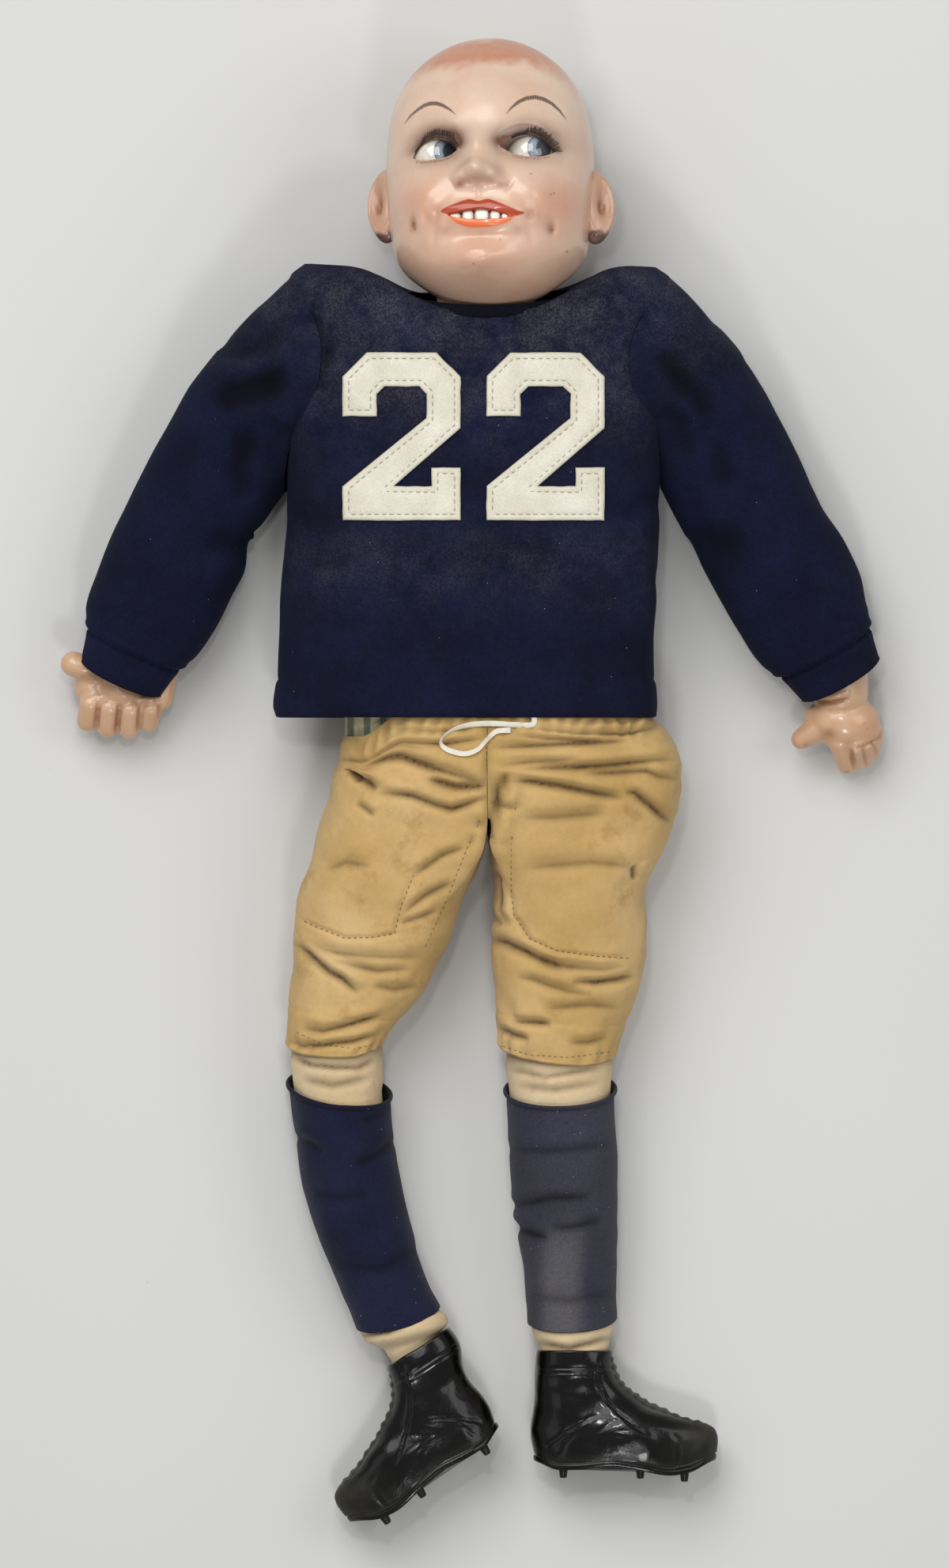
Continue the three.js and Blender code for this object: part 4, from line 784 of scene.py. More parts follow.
def numeral(name, x0, seed):
    place = np.array((x0, NUMERAL_BOTTOM))
    bm = bmesh.new()
    loops = []
    for distance in (0.0, 0.5, 1.1, 2.7, 3.3, 3.8):
        ring = inset_outline(TWO, distance) + place
        loops.append([bm.verts.new((p[0], p[1], 0.0)) for p in ring])
    n = len(TWO)
    for first, second in zip(loops[:-1], loops[1:]):
        for i in range(n):
            j = (i + 1) % n
            bm.faces.new((first[i], first[j], second[j], second[i]))
    bm.faces.new(loops[-1])
    skirt = [bm.verts.new((v.co.x, v.co.y, -1.0)) for v in loops[0]]
    for i in range(n):
        j = (i + 1) % n
        bm.faces.new((skirt[i], skirt[j], loops[0][j], loops[0][i]))
    for at in np.arange(2.0, w, 2.5):
        bmesh.ops.bisect_plane(bm, geom=bm.verts[:] + bm.edges[:] + bm.faces[:], plane_co=(x0 + at, 0, 0),
                               plane_no=(1, 0, 0))
    for at in np.arange(2.0, h, 2.5):
        bmesh.ops.bisect_plane(bm, geom=bm.verts[:] + bm.edges[:] + bm.faces[:],
                               plane_co=(0, NUMERAL_BOTTOM + at, 0), plane_no=(0, 1, 0))
    bmesh.ops.triangulate(bm, faces=[f for f in bm.faces if len(f.verts) > 4])
    outline = np.array(TWO + TWO[:1], float) + place
    at = np.array([v.co for v in bm.verts])
    gap = np.abs(line_distance(at, outline)[0])
    lift = 2.1 - 0.75 * np.exp(-gap / 0.5) - 0.55 * bell(gap - 3.3, 0.55)
    lift = np.where(at[:, 2] < -0.5, 0.2, lift)
    wobble = 0.28 * noise(at * (1, 1, 0) + (0, 0, seed * 9.0), 5.0, seed) * np.exp(-gap / 2)
    base = chest(at[:, 0], at[:, 1])
    for v, shift, z in zip(bm.verts, wobble, base + lift):
        v.co = ((v.co.x + shift) * 0.001, (v.co.y + shift) * 0.001, z * 0.001)
    edges = np.exp(-gap / 0.9)
    rest = np.stack([at[:, 0], at[:, 1], lift], 1)
    bmesh.ops.recalc_face_normals(bm, faces=bm.faces[:])
    mesh = bpy.data.meshes.new(name)
    bm.to_mesh(mesh)
    bm.free()
    keep_values(mesh, {"rest": rest, "cloth": rest, "edge": edges})
    made = finish_mesh(name, mesh, felt)
    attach(made, "trunk")
    ring = inset_outline(TWO, 3.3) + place
    sewn = stitches_along(np.concatenate([ring, ring[:1]]), lambda px, py: chest(px, py) + 1.75, 2.6, 1.5,
                          0.22)
    thread = strands(name + "_stitches", sewn, 0.26, grey_thread)
    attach(thread, "trunk")
    return made


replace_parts(numeral("numeral_right_felt", -71.5, 1), "numeral_right")
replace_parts(numeral("numeral_left_felt", 6.5, 2), "numeral_left")
print("two numerals, each", NUMERAL_H, "mm high")

# %% [markdown]
# ## Sleeves
# A sleeve is sewn into the armhole at the side of the jersey, droops over the
# stuffed arm and ends in a turned cuff. It bends at the shoulder and at the
# elbow, and it is made in two pieces that meet on a slanted line, where both
# are shaped by the upper arm alone. The first ring is the armhole itself, and
# the rings blend from it into the rings of the arm.

# %% Sleeves
UPPER_SLEEVE = [[0, 34, 33], [0.25, 36.5, 33.5], [0.65, 37, 32.5], [1.05, 36, 30.5]]
LOWER_SLEEVE = [[0, 36, 30.5], [0.25, 36.5, 30], [0.55, 36, 29], [0.74, 33, 27], [0.82, 29, 25.5],
                [1, 24.5, 23.8]]
CUFF = 0.82
SLEEVE_SPLIT = 0.72
SLEEVE_SLANT = 0.22
sleeve_count = 180


def jersey_side(y, z, sign):
    low_x, high_x, low_z, high_z = read_table(JERSEY, y)
    up = min(abs(z - (low_z + high_z) / 2) / ((high_z - low_z) / 2), 0.97)
    return (low_x + high_x) / 2 + sign * (high_x
                                          - low_x) / 2 * (1 - up ** JERSEY_CORNER) ** (1 / JERSEY_CORNER)


SLEEVE_FOLDS = {
    "right": [
        (10.0, 9.0, [(-101, 222), (-114, 217), (-130, 214), (-142, 205)]),
        (9.0, 8.0, [(-112, 204), (-122, 190), (-127, 172), (-122, 154)]),
        (6.0, 4.0, [(-101, 246), (-113, 240), (-127, 236), (-140, 236)]),
        (7.0, 5.0, [(-100, 196), (-108, 186), (-110, 168)]),
        (10.0, 2.5, [(-150, 196), (-158, 176), (-156, 150)]),
        (7.0, 3.0, [(-112, 137), (-126, 130), (-146, 132)]),
        (9.0, 2.0, [(-176, 142), (-184, 120), (-180, 98)]),
    ],
    "left": [
        (8.0, 7.0, [(102, 236), (112, 222), (124, 210), (130, 192)]),
        (8.0, 5.0, [(122, 196), (134, 180), (138, 160)]),
        (7.0, 4.0, [(103, 206), (112, 196), (114, 176)]),
        (6.0, 3.0, [(118, 240), (132, 226), (144, 222)]),
        (10.0, 2.2, [(148, 196), (156, 172), (154, 148)]),
        (7.0, 3.0, [(116, 138), (130, 130), (148, 134)]),
        (9.0, 2.0, [(172, 140), (184, 118), (186, 98)]),
    ],
}


def sleeve(side):
    upper, lower = arms[side]
    sign = -1 if side == "right" else 1
    outer = 1 if side == "right" else -1
    angle = turns(sleeve_count)
    c, s = np.cos(angle), np.sin(angle)

    armhole = []
    for ci, si in zip(c * outer, s):
        y = 225 + 55.5 * float(power(ci, 0.9))
        z = 47 + 37 * float(power(si, 0.9))
        armhole.append((jersey_side(y, z, sign) - sign * 2.0, y, z))
    armhole = np.array(armhole)

    def upper_point(share):
        """One ring whose share may differ from point to point."""
        sizes = [read_table(UPPER_SLEEVE, min(max(at, 0), 1.05)) for at in share]
        return np.array([upper.point(at, a, *size) for at, a, size in zip(share, angle, sizes)])

    split = SLEEVE_SPLIT - SLEEVE_SLANT * c * outer
    rings = []
    for t in np.linspace(0, 1, 64):
        share = split * t
        ring = upper_point(share)
        mix = smooth(-0.05, 0.5, share)[:, None]
        rings.append(armhole * (1 - mix) + ring * mix)
    upper_rows = len(rings)
    for t in np.linspace(0, 1, 18)[1:]:
        share = split + (1.0 - split) * t
        rings.append(upper_point(share))
    for at in np.linspace(0.02, CUFF, 64):
        half_width, half_depth = read_table(LOWER_SLEEVE, at)
        rings.append(lower.ring(at, half_width, half_depth, sleeve_count, sag=1.5 * at))
    lower_main = len(rings)
    for at in np.linspace(CUFF + 0.012, 1.0, 22):
        half_width, half_depth = read_table(LOWER_SLEEVE, at)
        gather = 0.45 * (1 - smooth(CUFF, 0.93, at)) * np.cos(angle * 23 + 1.5 * np.sin(angle * 3))
        ring = lower.ring(at, half_width, half_depth, sleeve_count, sag=2.5, grow=-0.4)
        centre = ring.mean(0)
        spread = ring - centre
        rings.append(ring + spread / np.linalg.norm(spread, axis=1, keepdims=True) * gather[:, None])
    grid = np.array(rings)
    rows = len(grid)
    at = np.arange(rows)[:, None]
    height = 1.6 * noise(grid, 38, 11) + 0.8 * noise(grid, 16, 12) + folds(grid, SLEEVE_FOLDS[side])
    height *= smooth(0, 9, at) * (1 - 0.75 * smooth(lower_main - 3, lower_main + 1, at))
    height += 1.1 * bell(at - lower_main + 1.5, 1.6)
    height -= 1.5 * bell(at - lower_main - 1, 1.3)
    # Painted shade in the fold valleys of the sleeve.
    deep = np.clip(-height / 6.0 - 0.12, 0, 0.8)
    grid = moved(grid, height)
    for _ in range(8):
        grid[50:118] = (grid[49:117] + 2 * grid[50:118] + grid[51:119]) / 4
    keep_clear(grid, sign)
    lip = []
    half_width, half_depth = read_table(LOWER_SLEEVE, 1.0)
    for grow, at_end in ((0.2, 1.006), (-0.9, 1.012), (-2.2, 1.008), (-3.0, 0.98), (-3.2, 0.9)):
        lip.append(lower.ring(at_end, half_width, half_depth, sleeve_count, sag=2.5, grow=grow - 0.4))
    lip = np.array(lip)
    lip[..., 2] = np.maximum(lip[..., 2], 0.4)
    grid = np.concatenate([grid, lip])
    dust = smooth(200, 285, grid[..., 1]) * 0.75 + 0.03
    # Painted shade inside the turned cuff.
    deep = np.concatenate([deep, np.full(lip.shape[:2], 0.5)])

    normals = outward(grid)
    made = []
    for name, first, last in (("sleeve_upper_" + side + "_knit", 0, upper_rows),
                              ("sleeve_lower_" + side + "_knit", upper_rows - 1, len(grid))):
        piece = grid_mesh(name, grid[first:last], wool, {"dust": dust[first:last], "deep": deep[first:last]})
        split_normals(piece, normals[first:last])
        made.append(piece)
    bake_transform(made[0])
    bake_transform(made[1])
    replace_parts(made[0], "sleeve_upper_" + side, "arm_core_" + side)
    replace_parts(made[1], "sleeve_lower_" + side, "forearm_core_" + side)
    return made


def keep_clear(grid, sign):
    """The inner side of a sleeve rests against the side of the jersey."""
    rows = grid[6:]
    levels = np.arange(30, 290, 2.0)
    table = np.array([read_table(JERSEY, y) for y in levels])
    low_x, high_x, low_z, high_z = [np.interp(rows[..., 1], levels, column) for column in table.T]
    up = np.clip(np.abs(rows[..., 2] - (low_z + high_z) / 2) / ((high_z - low_z) / 2), 0, 0.97)
    reach = (high_x - low_x) / 2 * (1 - up ** JERSEY_CORNER) ** (1 / JERSEY_CORNER) + 0.4
    limit = (low_x + high_x) / 2 + sign * reach
    inside = (rows[..., 1] > 40) & (rows[..., 1] < 225) & ((rows[..., 0] - limit) * sign < 0)
    rows[..., 0] = np.where(inside, limit, rows[..., 0])


def split_normals(piece, normals):
    """Two pieces that meet share the shading of their common edge."""
    mesh = piece.data
    flat = normals.reshape(-1, 3)
    side = np.array([v.normal for v in mesh.vertices])
    if (side * flat).sum() < 0:
        flat = -flat
    mesh.normals_split_custom_set_from_vertices([Vector(n) for n in flat])


for side in ("right", "left"):
    print("sleeve:", [p.name for p in sleeve(side)])

# %% [markdown]
# ## Canvas, muslin and sock wool
# Canvas and muslin are both plain weaves, so both get fine crossed threads;
# the canvas is coarser. Age adds brown stains, and the deep folds get painted
# shade with a little grime, which is why every piece carries how deep each
# point lies.

# %% Woven materials
def woven_material(name, colours, stain, dirt, pitch, relief, stain_scale):
    made, tree, shader = new_material(name, Roughness=0.85, Sheen_Weight=0.12)
    shader.inputs["Specular IOR Level"].default_value = 0.25
    rest, cloth = [add(tree, "Attribute", {".attribute_name": name}, out="Vector") for name in PLACES]
    threads = []
    for axis in ("X", "Y"):
        wave = add(tree, "TexWave", {".bands_direction": axis, "Scale": 0.314 / pitch, "Distortion": 0.8,
                                     "Detail": 2.0, "Detail Scale": 1.5, "Vector": cloth}, out="Fac")
        threads.append(wave)
    weave = add(tree, "Math", {".operation": "MULTIPLY",
                               0: add(tree, "Math", {".operation": "ADD", 0: threads[0], 1: threads[1]}),
                               1: 0.5})
    slub = add(tree, "TexNoise", {"Scale": 0.35, "Detail": 4.0, "Roughness": 0.65, "Vector": rest})
    clouds = add(tree, "TexNoise", {"Scale": 0.02, "Detail": 3.0, "Vector": rest})
    tone = add(tree, "ValToRGB", {".stops": [(0.3, linear(colours[0])), (0.55, linear(colours[1])),
                                             (0.8, linear(colours[2]))], 0: clouds})
    fine = add(tree, "ValToRGB", {".stops": [(0.25, (0.93,)), (0.75, (1.05,))], 0: slub})
    tone = add(tree, "Mix", {".data_type": "RGBA", ".blend_type": "MULTIPLY", 0: 1.0, 6: tone, 7: fine},
               out=2)
    blot = add(tree, "TexNoise", {"Scale": stain_scale, "Detail": 5.0, "Roughness": 0.7, "Vector": rest})
    mask = add(tree, "ValToRGB", {".stops": [(0.56, (0.0,)), (0.72, (0.6,))], 0: blot})
    tone = add(tree, "Mix", {".data_type": "RGBA", 0: mask, 6: tone, 7: linear(stain)}, out=2)
    # Painted shade with a little grime: the deeper a point lies in a fold, the nearer it comes to the dark
    # fold colour.
    deep = add(tree,
               "Math", {".operation": "MULTIPLY", ".use_clamp": True,
                        0: add(tree, "Attribute", {".attribute_name": "deep"}, out="Fac"),
                        1: add(tree, "ValToRGB", {".stops": [(0.2, (0.55,)), (0.7, (1.0,))], 0: slub})})
    tone = add(tree, "Mix", {".data_type": "RGBA", 0: deep, 6: tone, 7: linear(dirt)}, out=2)
    tree.links.new(tone, shader.inputs["Base Color"])
    height = add(tree, "Math", {".operation": "ADD", 0: add(tree, "Math", {".operation": "MULTIPLY",
                                                                           0: weave, 1: 0.6}), 1: slub})
    tree.links.new(add(tree, "Bump", {"Strength": relief, "Distance": 0.0006, "Height": height}),
                   shader.inputs["Normal"])
    return made


canvas = woven_material("tan_cotton_canvas", ("#b29156", "#c4a36c", "#d0b381"), "#9c7640", "#3d2810", 0.75,
                        0.32, 0.045)
muslin = woven_material("unbleached_muslin", ("#ccb48c", "#d4be99", "#dccaa8"), "#b0946a", "#57432a", 0.55,
                        0.3, 0.05)
tape = woven_material("white_cotton_tape", ("#d9d3c2", "#e4dfd1", "#ece8dc"), "#b9ad92", "#8c8168", 0.5,
                      0.35, 0.05)

sock_wool, tree, shader = new_material("grey_navy_wool_knit_worn", Roughness=0.95, Sheen_Weight=0.08)
shader.inputs["Specular IOR Level"].default_value = 0.15
rest, cloth = [add(tree, "Attribute", {".attribute_name": name}, out="Vector") for name in PLACES]
rows_wave = add(tree, "TexWave", {".bands_direction": "X", "Scale": 0.24, "Distortion": 1.0, "Detail": 2.0,
                                  "Detail Scale": 2.0, "Vector": cloth}, out="Fac")
fuzz = add(tree, "TexNoise", {"Scale": 0.7, "Detail": 4.0, "Roughness": 0.7, "Vector": rest})
clouds = add(tree, "TexNoise", {"Scale": 0.03, "Detail": 4.0, "Vector": rest})
tone = add(tree, "ValToRGB", {".stops": [(0.3, linear("#121429")), (0.7, linear("#1c1e38"))], 0: clouds})
tone = add(tree, "Mix", {".data_type": "RGBA", 0: add(tree, "Attribute", {".attribute_name": "faded"},
                                                      out="Fac"), 6: tone, 7: linear("#5f5d60")}, out=2)
# Painted shade: "deep" mixes the sock towards near black in its folds, its curled top and its end.
tone = add(tree, "Mix", {".data_type": "RGBA", 0: add(tree, "Attribute", {".attribute_name": "deep"},
                                                      out="Fac"), 6: tone, 7: linear("#06060c")}, out=2)
tone = add(tree, "Mix", {".data_type": "RGBA", ".blend_type": "MULTIPLY", 0: 1.0, 6: tone,
                         7: add(tree, "ValToRGB", {".stops": [(0.25, (0.7,)), (0.75, (1.3,))], 0: fuzz})},
           out=2)
spots = add(tree, "TexVoronoi", {"Scale": 0.14, "Vector": rest})
spot = add(tree, "ValToRGB", {".stops": [(0.03, (0.7,)), (0.055, (0.0,))], 0: spots})
tone = add(tree, "Mix", {".data_type": "RGBA", 0: spot, 6: tone, 7: linear("#a7a5a6")}, out=2)
tree.links.new(tone, shader.inputs["Base Color"])
tree.links.new(add(tree, "Bump",
                   {"Strength": 0.5, "Distance": 0.0008,
                    "Height": add(tree, "Math", {".operation": "ADD",
                                                 0: add(tree, "Math", {".operation": "MULTIPLY",
                                                                       0: rows_wave, 1: 0.3}), 1: fuzz})}),
               shader.inputs["Normal"])
print("weaves:", canvas.name, muslin.name, tape.name, sock_wool.name)

# %% [markdown]
# ## Stuffed body at the waist
# Between the jersey hem and the pants a little of the stuffed body shows, in
# a cream cloth with faint green stripes. Only its lower half is ever seen.

# %% Stuffed body
striped, tree, shader = new_material("striped_ticking", Roughness=0.85)
rest = add(tree, "Attribute", {".attribute_name": "rest"}, out="Vector")
bands = add(tree, "TexWave", {".bands_direction": "X", "Scale": 0.035, "Distortion": 0.2, "Vector": rest},
            out="Fac")
stripe = add(tree, "ValToRGB", {".stops": [(0.55, linear("#c9bf9c")), (0.75, linear("#76806a"))], 0: bands})
wear = add(tree, "TexNoise", {"Scale": 0.2, "Detail": 4.0, "Vector": rest})
stained = add(tree, "Mix", {".data_type": "RGBA", ".blend_type": "MULTIPLY", 0: 1.0, 6: stripe,
                            7: add(tree, "ValToRGB", {".stops": [(0.3, (0.7,)), (0.7, (1.1,))], 0: wear})},
              out=2)
tree.links.new(stained, shader.inputs["Base Color"])
tree.links.new(add(tree, "Bump", {"Strength": 0.4, "Distance": 0.0006, "Height": wear}),
               shader.inputs["Normal"])
rings = []
for y in np.linspace(-16, 240, 60):
    row = read_table(JERSEY, max(y, 38))
    waist = read_table([[-16, -62, 100, 12, 80], [10, -72, 108, 6, 86], [38, -74, 96, 4, 86],
                        [90, -84, 80, 6, 84], [200, -84, 84, 6, 84], [240, -60, 66, 16, 74]], y)
    x, z, c, s = oval(waist, 96, 2.6, -3.0)
    rings.append(np.stack([x, np.full(len(x), y), np.maximum(z, 1.0)], 1))
grid = np.array(rings)
grid = moved(grid, 1.2 * noise(grid, 30, 21))
stuffing = grid_mesh("stuffed_body_cloth", grid, striped, caps=(True, True))
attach(stuffing, "trunk")
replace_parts(stuffing, "torso_body")
print("stuffed body:", len(stuffing.data.vertices), "points")

# %% [markdown]
# ## Pants
# Knee pants in tan canvas, much too wide for the stuffed legs, so the cloth
# lies in rolls and sharp folds. Each half is one tube from the waist down one
# leg: at the waist it is half of the seat, flat where it meets the other half
# on the seam down the middle, and further down it is a round leg. The thigh
# pads are quilted in: a line of stitches pulls the cloth down round each pad.

# %% Folds of the pants, in photograph places
def plan(*pixels):
    return [((u - 600) * PIXEL, (994 - v) * PIXEL) for u, v in pixels]


PANTS_FOLDS = { "right": [ (3.2, 3.6, plan((455, 946), (507, 957), (552, 973), (580, 981), (613, 990))),
                          (3.0, 3.4, plan((436, 966), (452, 980), (476, 1000))),
                          (2.6, 2.6, plan((474, 1002), (520, 1007), (552, 1019), (571, 1025),
                                          (590, 1018), (618, 1006))),
                          (1.6, 1.4, plan((616, 1012), (603, 1046), (590, 1076))),
                          (2.6, 1.8, plan((523, 1108), (558, 1083), (588, 1072))),
                          (2.6, 1.8, plan((506, 1157), (535, 1136), (573, 1114))),
                          (2.4, 1.5, plan((505, 1169), (533, 1159), (554, 1151))),
                          (2.4, 1.8, plan((450, 1015), (462, 1023), (474, 1032))),
                          (3.4, 1.6, plan((388, 1185), (408, 1200), (424, 1205), (447, 1207), (482, 1209),
                                          (533, 1210))),
                          (2.8, 2.8, plan((373, 1192), (394, 1212), (415, 1229), (433, 1238), (456, 1258))),
                          (3.2, 1.7, plan((422, 1213), (450, 1222), (478, 1228), (519, 1224))),
                          (2.8, 2.4, plan((380, 1288), (408, 1298), (429, 1298), (450, 1295), (491, 1290))),
                          (2.4, 2.2, plan((364, 1296), (382, 1310), (406, 1316), (447, 1320), (491, 1319))),
                          (3.4, 1.5, plan((420, 930), (470, 936), (540, 948))),
                          (3.4, 1.4, plan((470, 1246), (500, 1252), (528, 1246))),
                          (4.0, 1.4, plan((400, 1100), (430, 1090), (470, 1095))),
                          (1.7, 2.2, plan((470, 937), (510, 939), (560, 941), (596, 936), (614, 934))),
                          (1.3, 1.4, plan((500, 920), (550, 925), (606, 921))),
                          (2.2, 2.6, plan((434, 958), (446, 972), (452, 990))),
                          (3.0, 3.6, plan((540, 985), (575, 996), (604, 996), (616, 990))),
                          (0.8, 0.7, plan((614, 938), (616, 960), (617, 982))), ],
               "left": [ (2.8, 2.6, plan((622, 946), (693, 942), (758, 938), (799, 935))),
                        (3.0, 1.8, plan((632, 968), (678, 963), (711, 961), (732, 957))),
                        (2.8, 3.0, plan((659, 972), (730, 971), (778, 967), (832, 961), (858, 960))),
                        (3.0, 1.9, plan((735, 979), (776, 978), (819, 975), (834, 982), (862, 986))),
                        (3.0, 3.2, plan((637, 988), (656, 988), (678, 990), (711, 995), (741, 1002),
                                        (767, 1007), (791, 1010))),
                        (2.8, 2.8, plan((791, 1002), (804, 1004), (822, 1018), (837, 1031), (850, 1041))),
                        (2.6, 2.0, plan((624, 1022), (637, 1020), (654, 1022))),
                        (4.0, 1.3, plan((659, 1034), (702, 1034), (769, 1029))),
                        (4.2, 1.4, plan((661, 1098), (748, 1090), (815, 1097))),
                        (2.2, 2.4, plan((812, 1094), (822, 1113))),
                        (2.6, 1.8, plan((615, 1098), (628, 1111), (632, 1151), (643, 1172))),
                        (3.4, 2.6, plan((612, 1185), (637, 1192), (661, 1203), (689, 1216), (713, 1224))),
                        (2.8, 1.8, plan((610, 1150), (624, 1162), (636, 1171))),
                        (3.2, 1.8, plan((680, 1211), (706, 1221), (734, 1224), (765, 1226), (792, 1220))),
                        (3.0, 1.7, plan((652, 1235), (673, 1238), (696, 1247), (720, 1254), (750, 1258))),
                        (2.8, 2.4, plan((722, 1241), (755, 1243), (781, 1240), (806, 1234))),
                        (3.4, 1.5, plan((683, 1276), (706, 1274), (746, 1271), (772, 1273), (790, 1276))),
                        (2.6, 2.3, plan((646, 1289), (658, 1292), (675, 1293), (698, 1295))),
                        (2.6, 2.2, plan((629, 1300), (647, 1308), (670, 1314))),
                        (2.8, 1.5, plan((718, 1318), (746, 1319), (767, 1315), (778, 1311))),
                        (3.4, 5.0, plan((640, 976), (632, 1000), (624, 1030), (618, 1064))),
                        (1.7, 2.4, plan((680, 921), (730, 928), (790, 926), (836, 916))),
                        (1.4, 1.6, plan((650, 930), (690, 934), (760, 937))), ], }
PADS = {
    "right": plan((375, 1160), (400, 1172), (436, 1186), (470, 1185), (499, 1180), (508, 1144), (524, 1104)),
    "left": plan((649, 1032), (646, 1080), (646, 1126), (650, 1157), (670, 1187), (704, 1202), (757, 1209),
                 (798, 1212)),
}
SEAT = [[-70, -94, 90, 4, 80], [-24, -86, 106, 3, 85], [-10, -81, 110, 2.6, 88], [0, -78, 112, 2.4, 90],
        [16, -75.5, 111, 1.4, 91.5], [28, -74, 105.5, 2, 91], [37, -72, 97, 4, 88.5], [44, -70, 90, 5, 87]]
THIGHS = { "right": [[-0.3, 43, 38], [0, 43, 38], [0.2, 46, 39], [0.4, 44, 37], [0.7, 36.5, 32],
                     [1.02, 27.5, 28.5]], "left": [[-0.3, 47, 38], [0, 47, 38], [0.2, 48.5, 39],
                                                   [0.4, 45.5, 37.5], [0.7, 39.5, 33], [1.02, 31.5, 28.8]],
          }
SEAM_X = 7.0
PANTS_HEM = 0.93
leg_count = 216


def pants_half(side):
    thigh = legs[side][0]
    right = side == "right"
    angle = turns(leg_count)
    c = np.cos(angle)
    turned = (angle if right else math.pi - angle) % (2 * math.pi)
    turned = np.where(turned > math.pi, turned - 2 * math.pi, turned)
    flat = np.abs(turned) < math.pi / 4
    sweep = math.pi / 2 + (np.abs(turned) - math.pi / 4) * (math.pi / 2) / (math.pi * 0.75)
    inner = c if right else -c

    def half_seat(y):
        low_x, high_x, low_z, high_z = read_table(SEAT, y)
        middle, half = (low_z + high_z) / 2, (high_z - low_z) / 2
        reach = SEAM_X - low_x if right else high_x - SEAM_X
        out = -np.abs(power(np.cos(sweep), 2 / 2.7)) * reach
        z_round = middle + np.sign(turned) * power(np.sin(sweep), 2 / 2.7) * half
        x = np.where(flat, SEAM_X - (0.02 if right else -0.02), SEAM_X + (out if right else -out))
        z = np.where(flat, middle + np.tan(np.clip(turned, -0.785, 0.785)) * half, z_round)
        return np.stack([x, np.full(leg_count, y), z], 1)

    rings, shares = [], []
    top = (-3 - 40.0) / thigh.length
    for share in np.concatenate([np.linspace(top, 0.42, 120), np.linspace(0.425, PANTS_HEM, 120)]):
        size = read_table(THIGHS[side], share)
        ring = thigh.ring(share, size[0], size[1], leg_count, sag=5.0 * float(smooth(0.75, 0.93, share)))
        y = -3 - share * thigh.length
        blend = 0.5 + 0.5 * np.clip(inner * 3, -1, 1)
        mix = smooth(-0.04, 0.30, share) * (1 - blend) + smooth(0.14, 0.40, share) * blend
        rings.append(half_seat(y) * (1 - mix[:, None]) + ring * mix[:, None])
        shares.append(share)
    grid = np.array(rings)
    shares = np.array(shares)[:, None]
    front = smooth(-0.3, 0.5, outward(grid)[..., 2])
    creases = 1.25 * folds(grid, PANTS_FOLDS[side]) * (0.25 + 0.75 * front)
    creased = folds(grid, PANTS_FOLDS[side], 0.42) * front
    pad_gap, pad_share = line_distance(grid, PADS[side])
    pad_ends = fade(pad_share, 8)
    quilt = -1.5 * bell(pad_gap, 1.5) * pad_ends * front
    soft = 1.7 * noise(grid, 34, 31) + 0.9 * noise(grid, 14, 32) + 0.35 * noise(grid, 6, 33)
    height = soft + creases + quilt
    seam = bell(grid[..., 0] - SEAM_X, 2.2) * smooth(6, -6, grid[..., 1])
    height -= 0.8 * seam * front
    gathers = smooth(22, 33, grid[..., 1]) * front
    height += 0.9 * gathers * np.cos(grid[..., 0] / 1.35 + 3.0 * noise(grid, 17, 34))
    height *= smooth(top - 0.01, top + 0.03, shares) * np.where(flat & (shares < 0.1), 0.1, 1.0)
    hem = smooth(PANTS_HEM - 0.115, PANTS_HEM - 0.108, shares) * 0.2
    hem -= 0.25 * bell(shares - PANTS_HEM + 0.115, 0.006)
    hem = hem + 0.8 * np.cos(angle * 17 + 3 * np.sin(angle * 2)) * smooth(PANTS_HEM - 0.10, PANTS_HEM, shares)
    grid = moved(grid, height + hem)
    if right:
        grid[..., 0] = np.minimum(grid[..., 0], SEAM_X)
    else:
        grid[..., 0] = np.maximum(grid[..., 0], SEAM_X)
    outer = smooth(0.2, 0.9, -inner)[None, :] * (1 if right else -1)
    depth, level, width = (5.0, -38, 18) if right else (9.5, -57, 19)
    notch = depth * bell(grid[..., 1] - level, width)
    grid[..., 0] += outer * notch

    def hem_tilt(points, share):
        """The leg narrows to its hem, and the hem of the doll's right leg runs level."""
        near = smooth(0.66, 0.93, share)
        narrow = (7.0 if right else 5.0) * near
        if right:
            points[..., 0] -= narrow * smooth(0.1, 0.9, inner)
            points[..., 1] += 8.0 * near * inner
        else:
            points[..., 0] -= narrow * smooth(0.1, 0.9, -inner)

    hem_tilt(grid, shares)
    if right:
        grid[..., 1] -= 13.0 * smooth(-38, -62, grid[..., 0]) * smooth(2, 30, grid[..., 1])
    # Painted shade: the canvas darkens in its fold valleys, along a line at the bottom of each fold, in the
    # quilted lines, in the seam groove and between the waist gathers.
    deep = np.clip(-(creases + quilt) / 3.2 - 0.2, 0, 1) * 0.6 + 0.75 * creased + 0.16 * seam * front
    deep += 0.25 * gathers * (0.5 - 0.5 * np.cos(grid[..., 0] / 1.35 + 3.0 * noise(grid, 17, 34)))
    size = read_table(THIGHS[side], PANTS_HEM)
    lip = []
    for grow, past in ((0.4, 0.005), (-0.6, 0.009), (-1.8, 0.004), (-2.2, -0.06)):
        lip.append(thigh.ring(PANTS_HEM + past, size[0], size[1], leg_count, sag=5.0, grow=grow))
    lip = np.array(lip)
    lip[..., 2] = np.maximum(lip[..., 2], 0.5)
    hem_tilt(lip, PANTS_HEM)
    grid = np.concatenate([grid, lip])
    # Painted shade on the turned hem.
    deep = np.concatenate([deep, np.full((len(lip), leg_count), 0.35)])
    made = grid_mesh("pants_" + side + "_canvas", grid, canvas, {"deep": np.clip(deep, 0, 1)})
    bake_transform(made)
    return made, grid


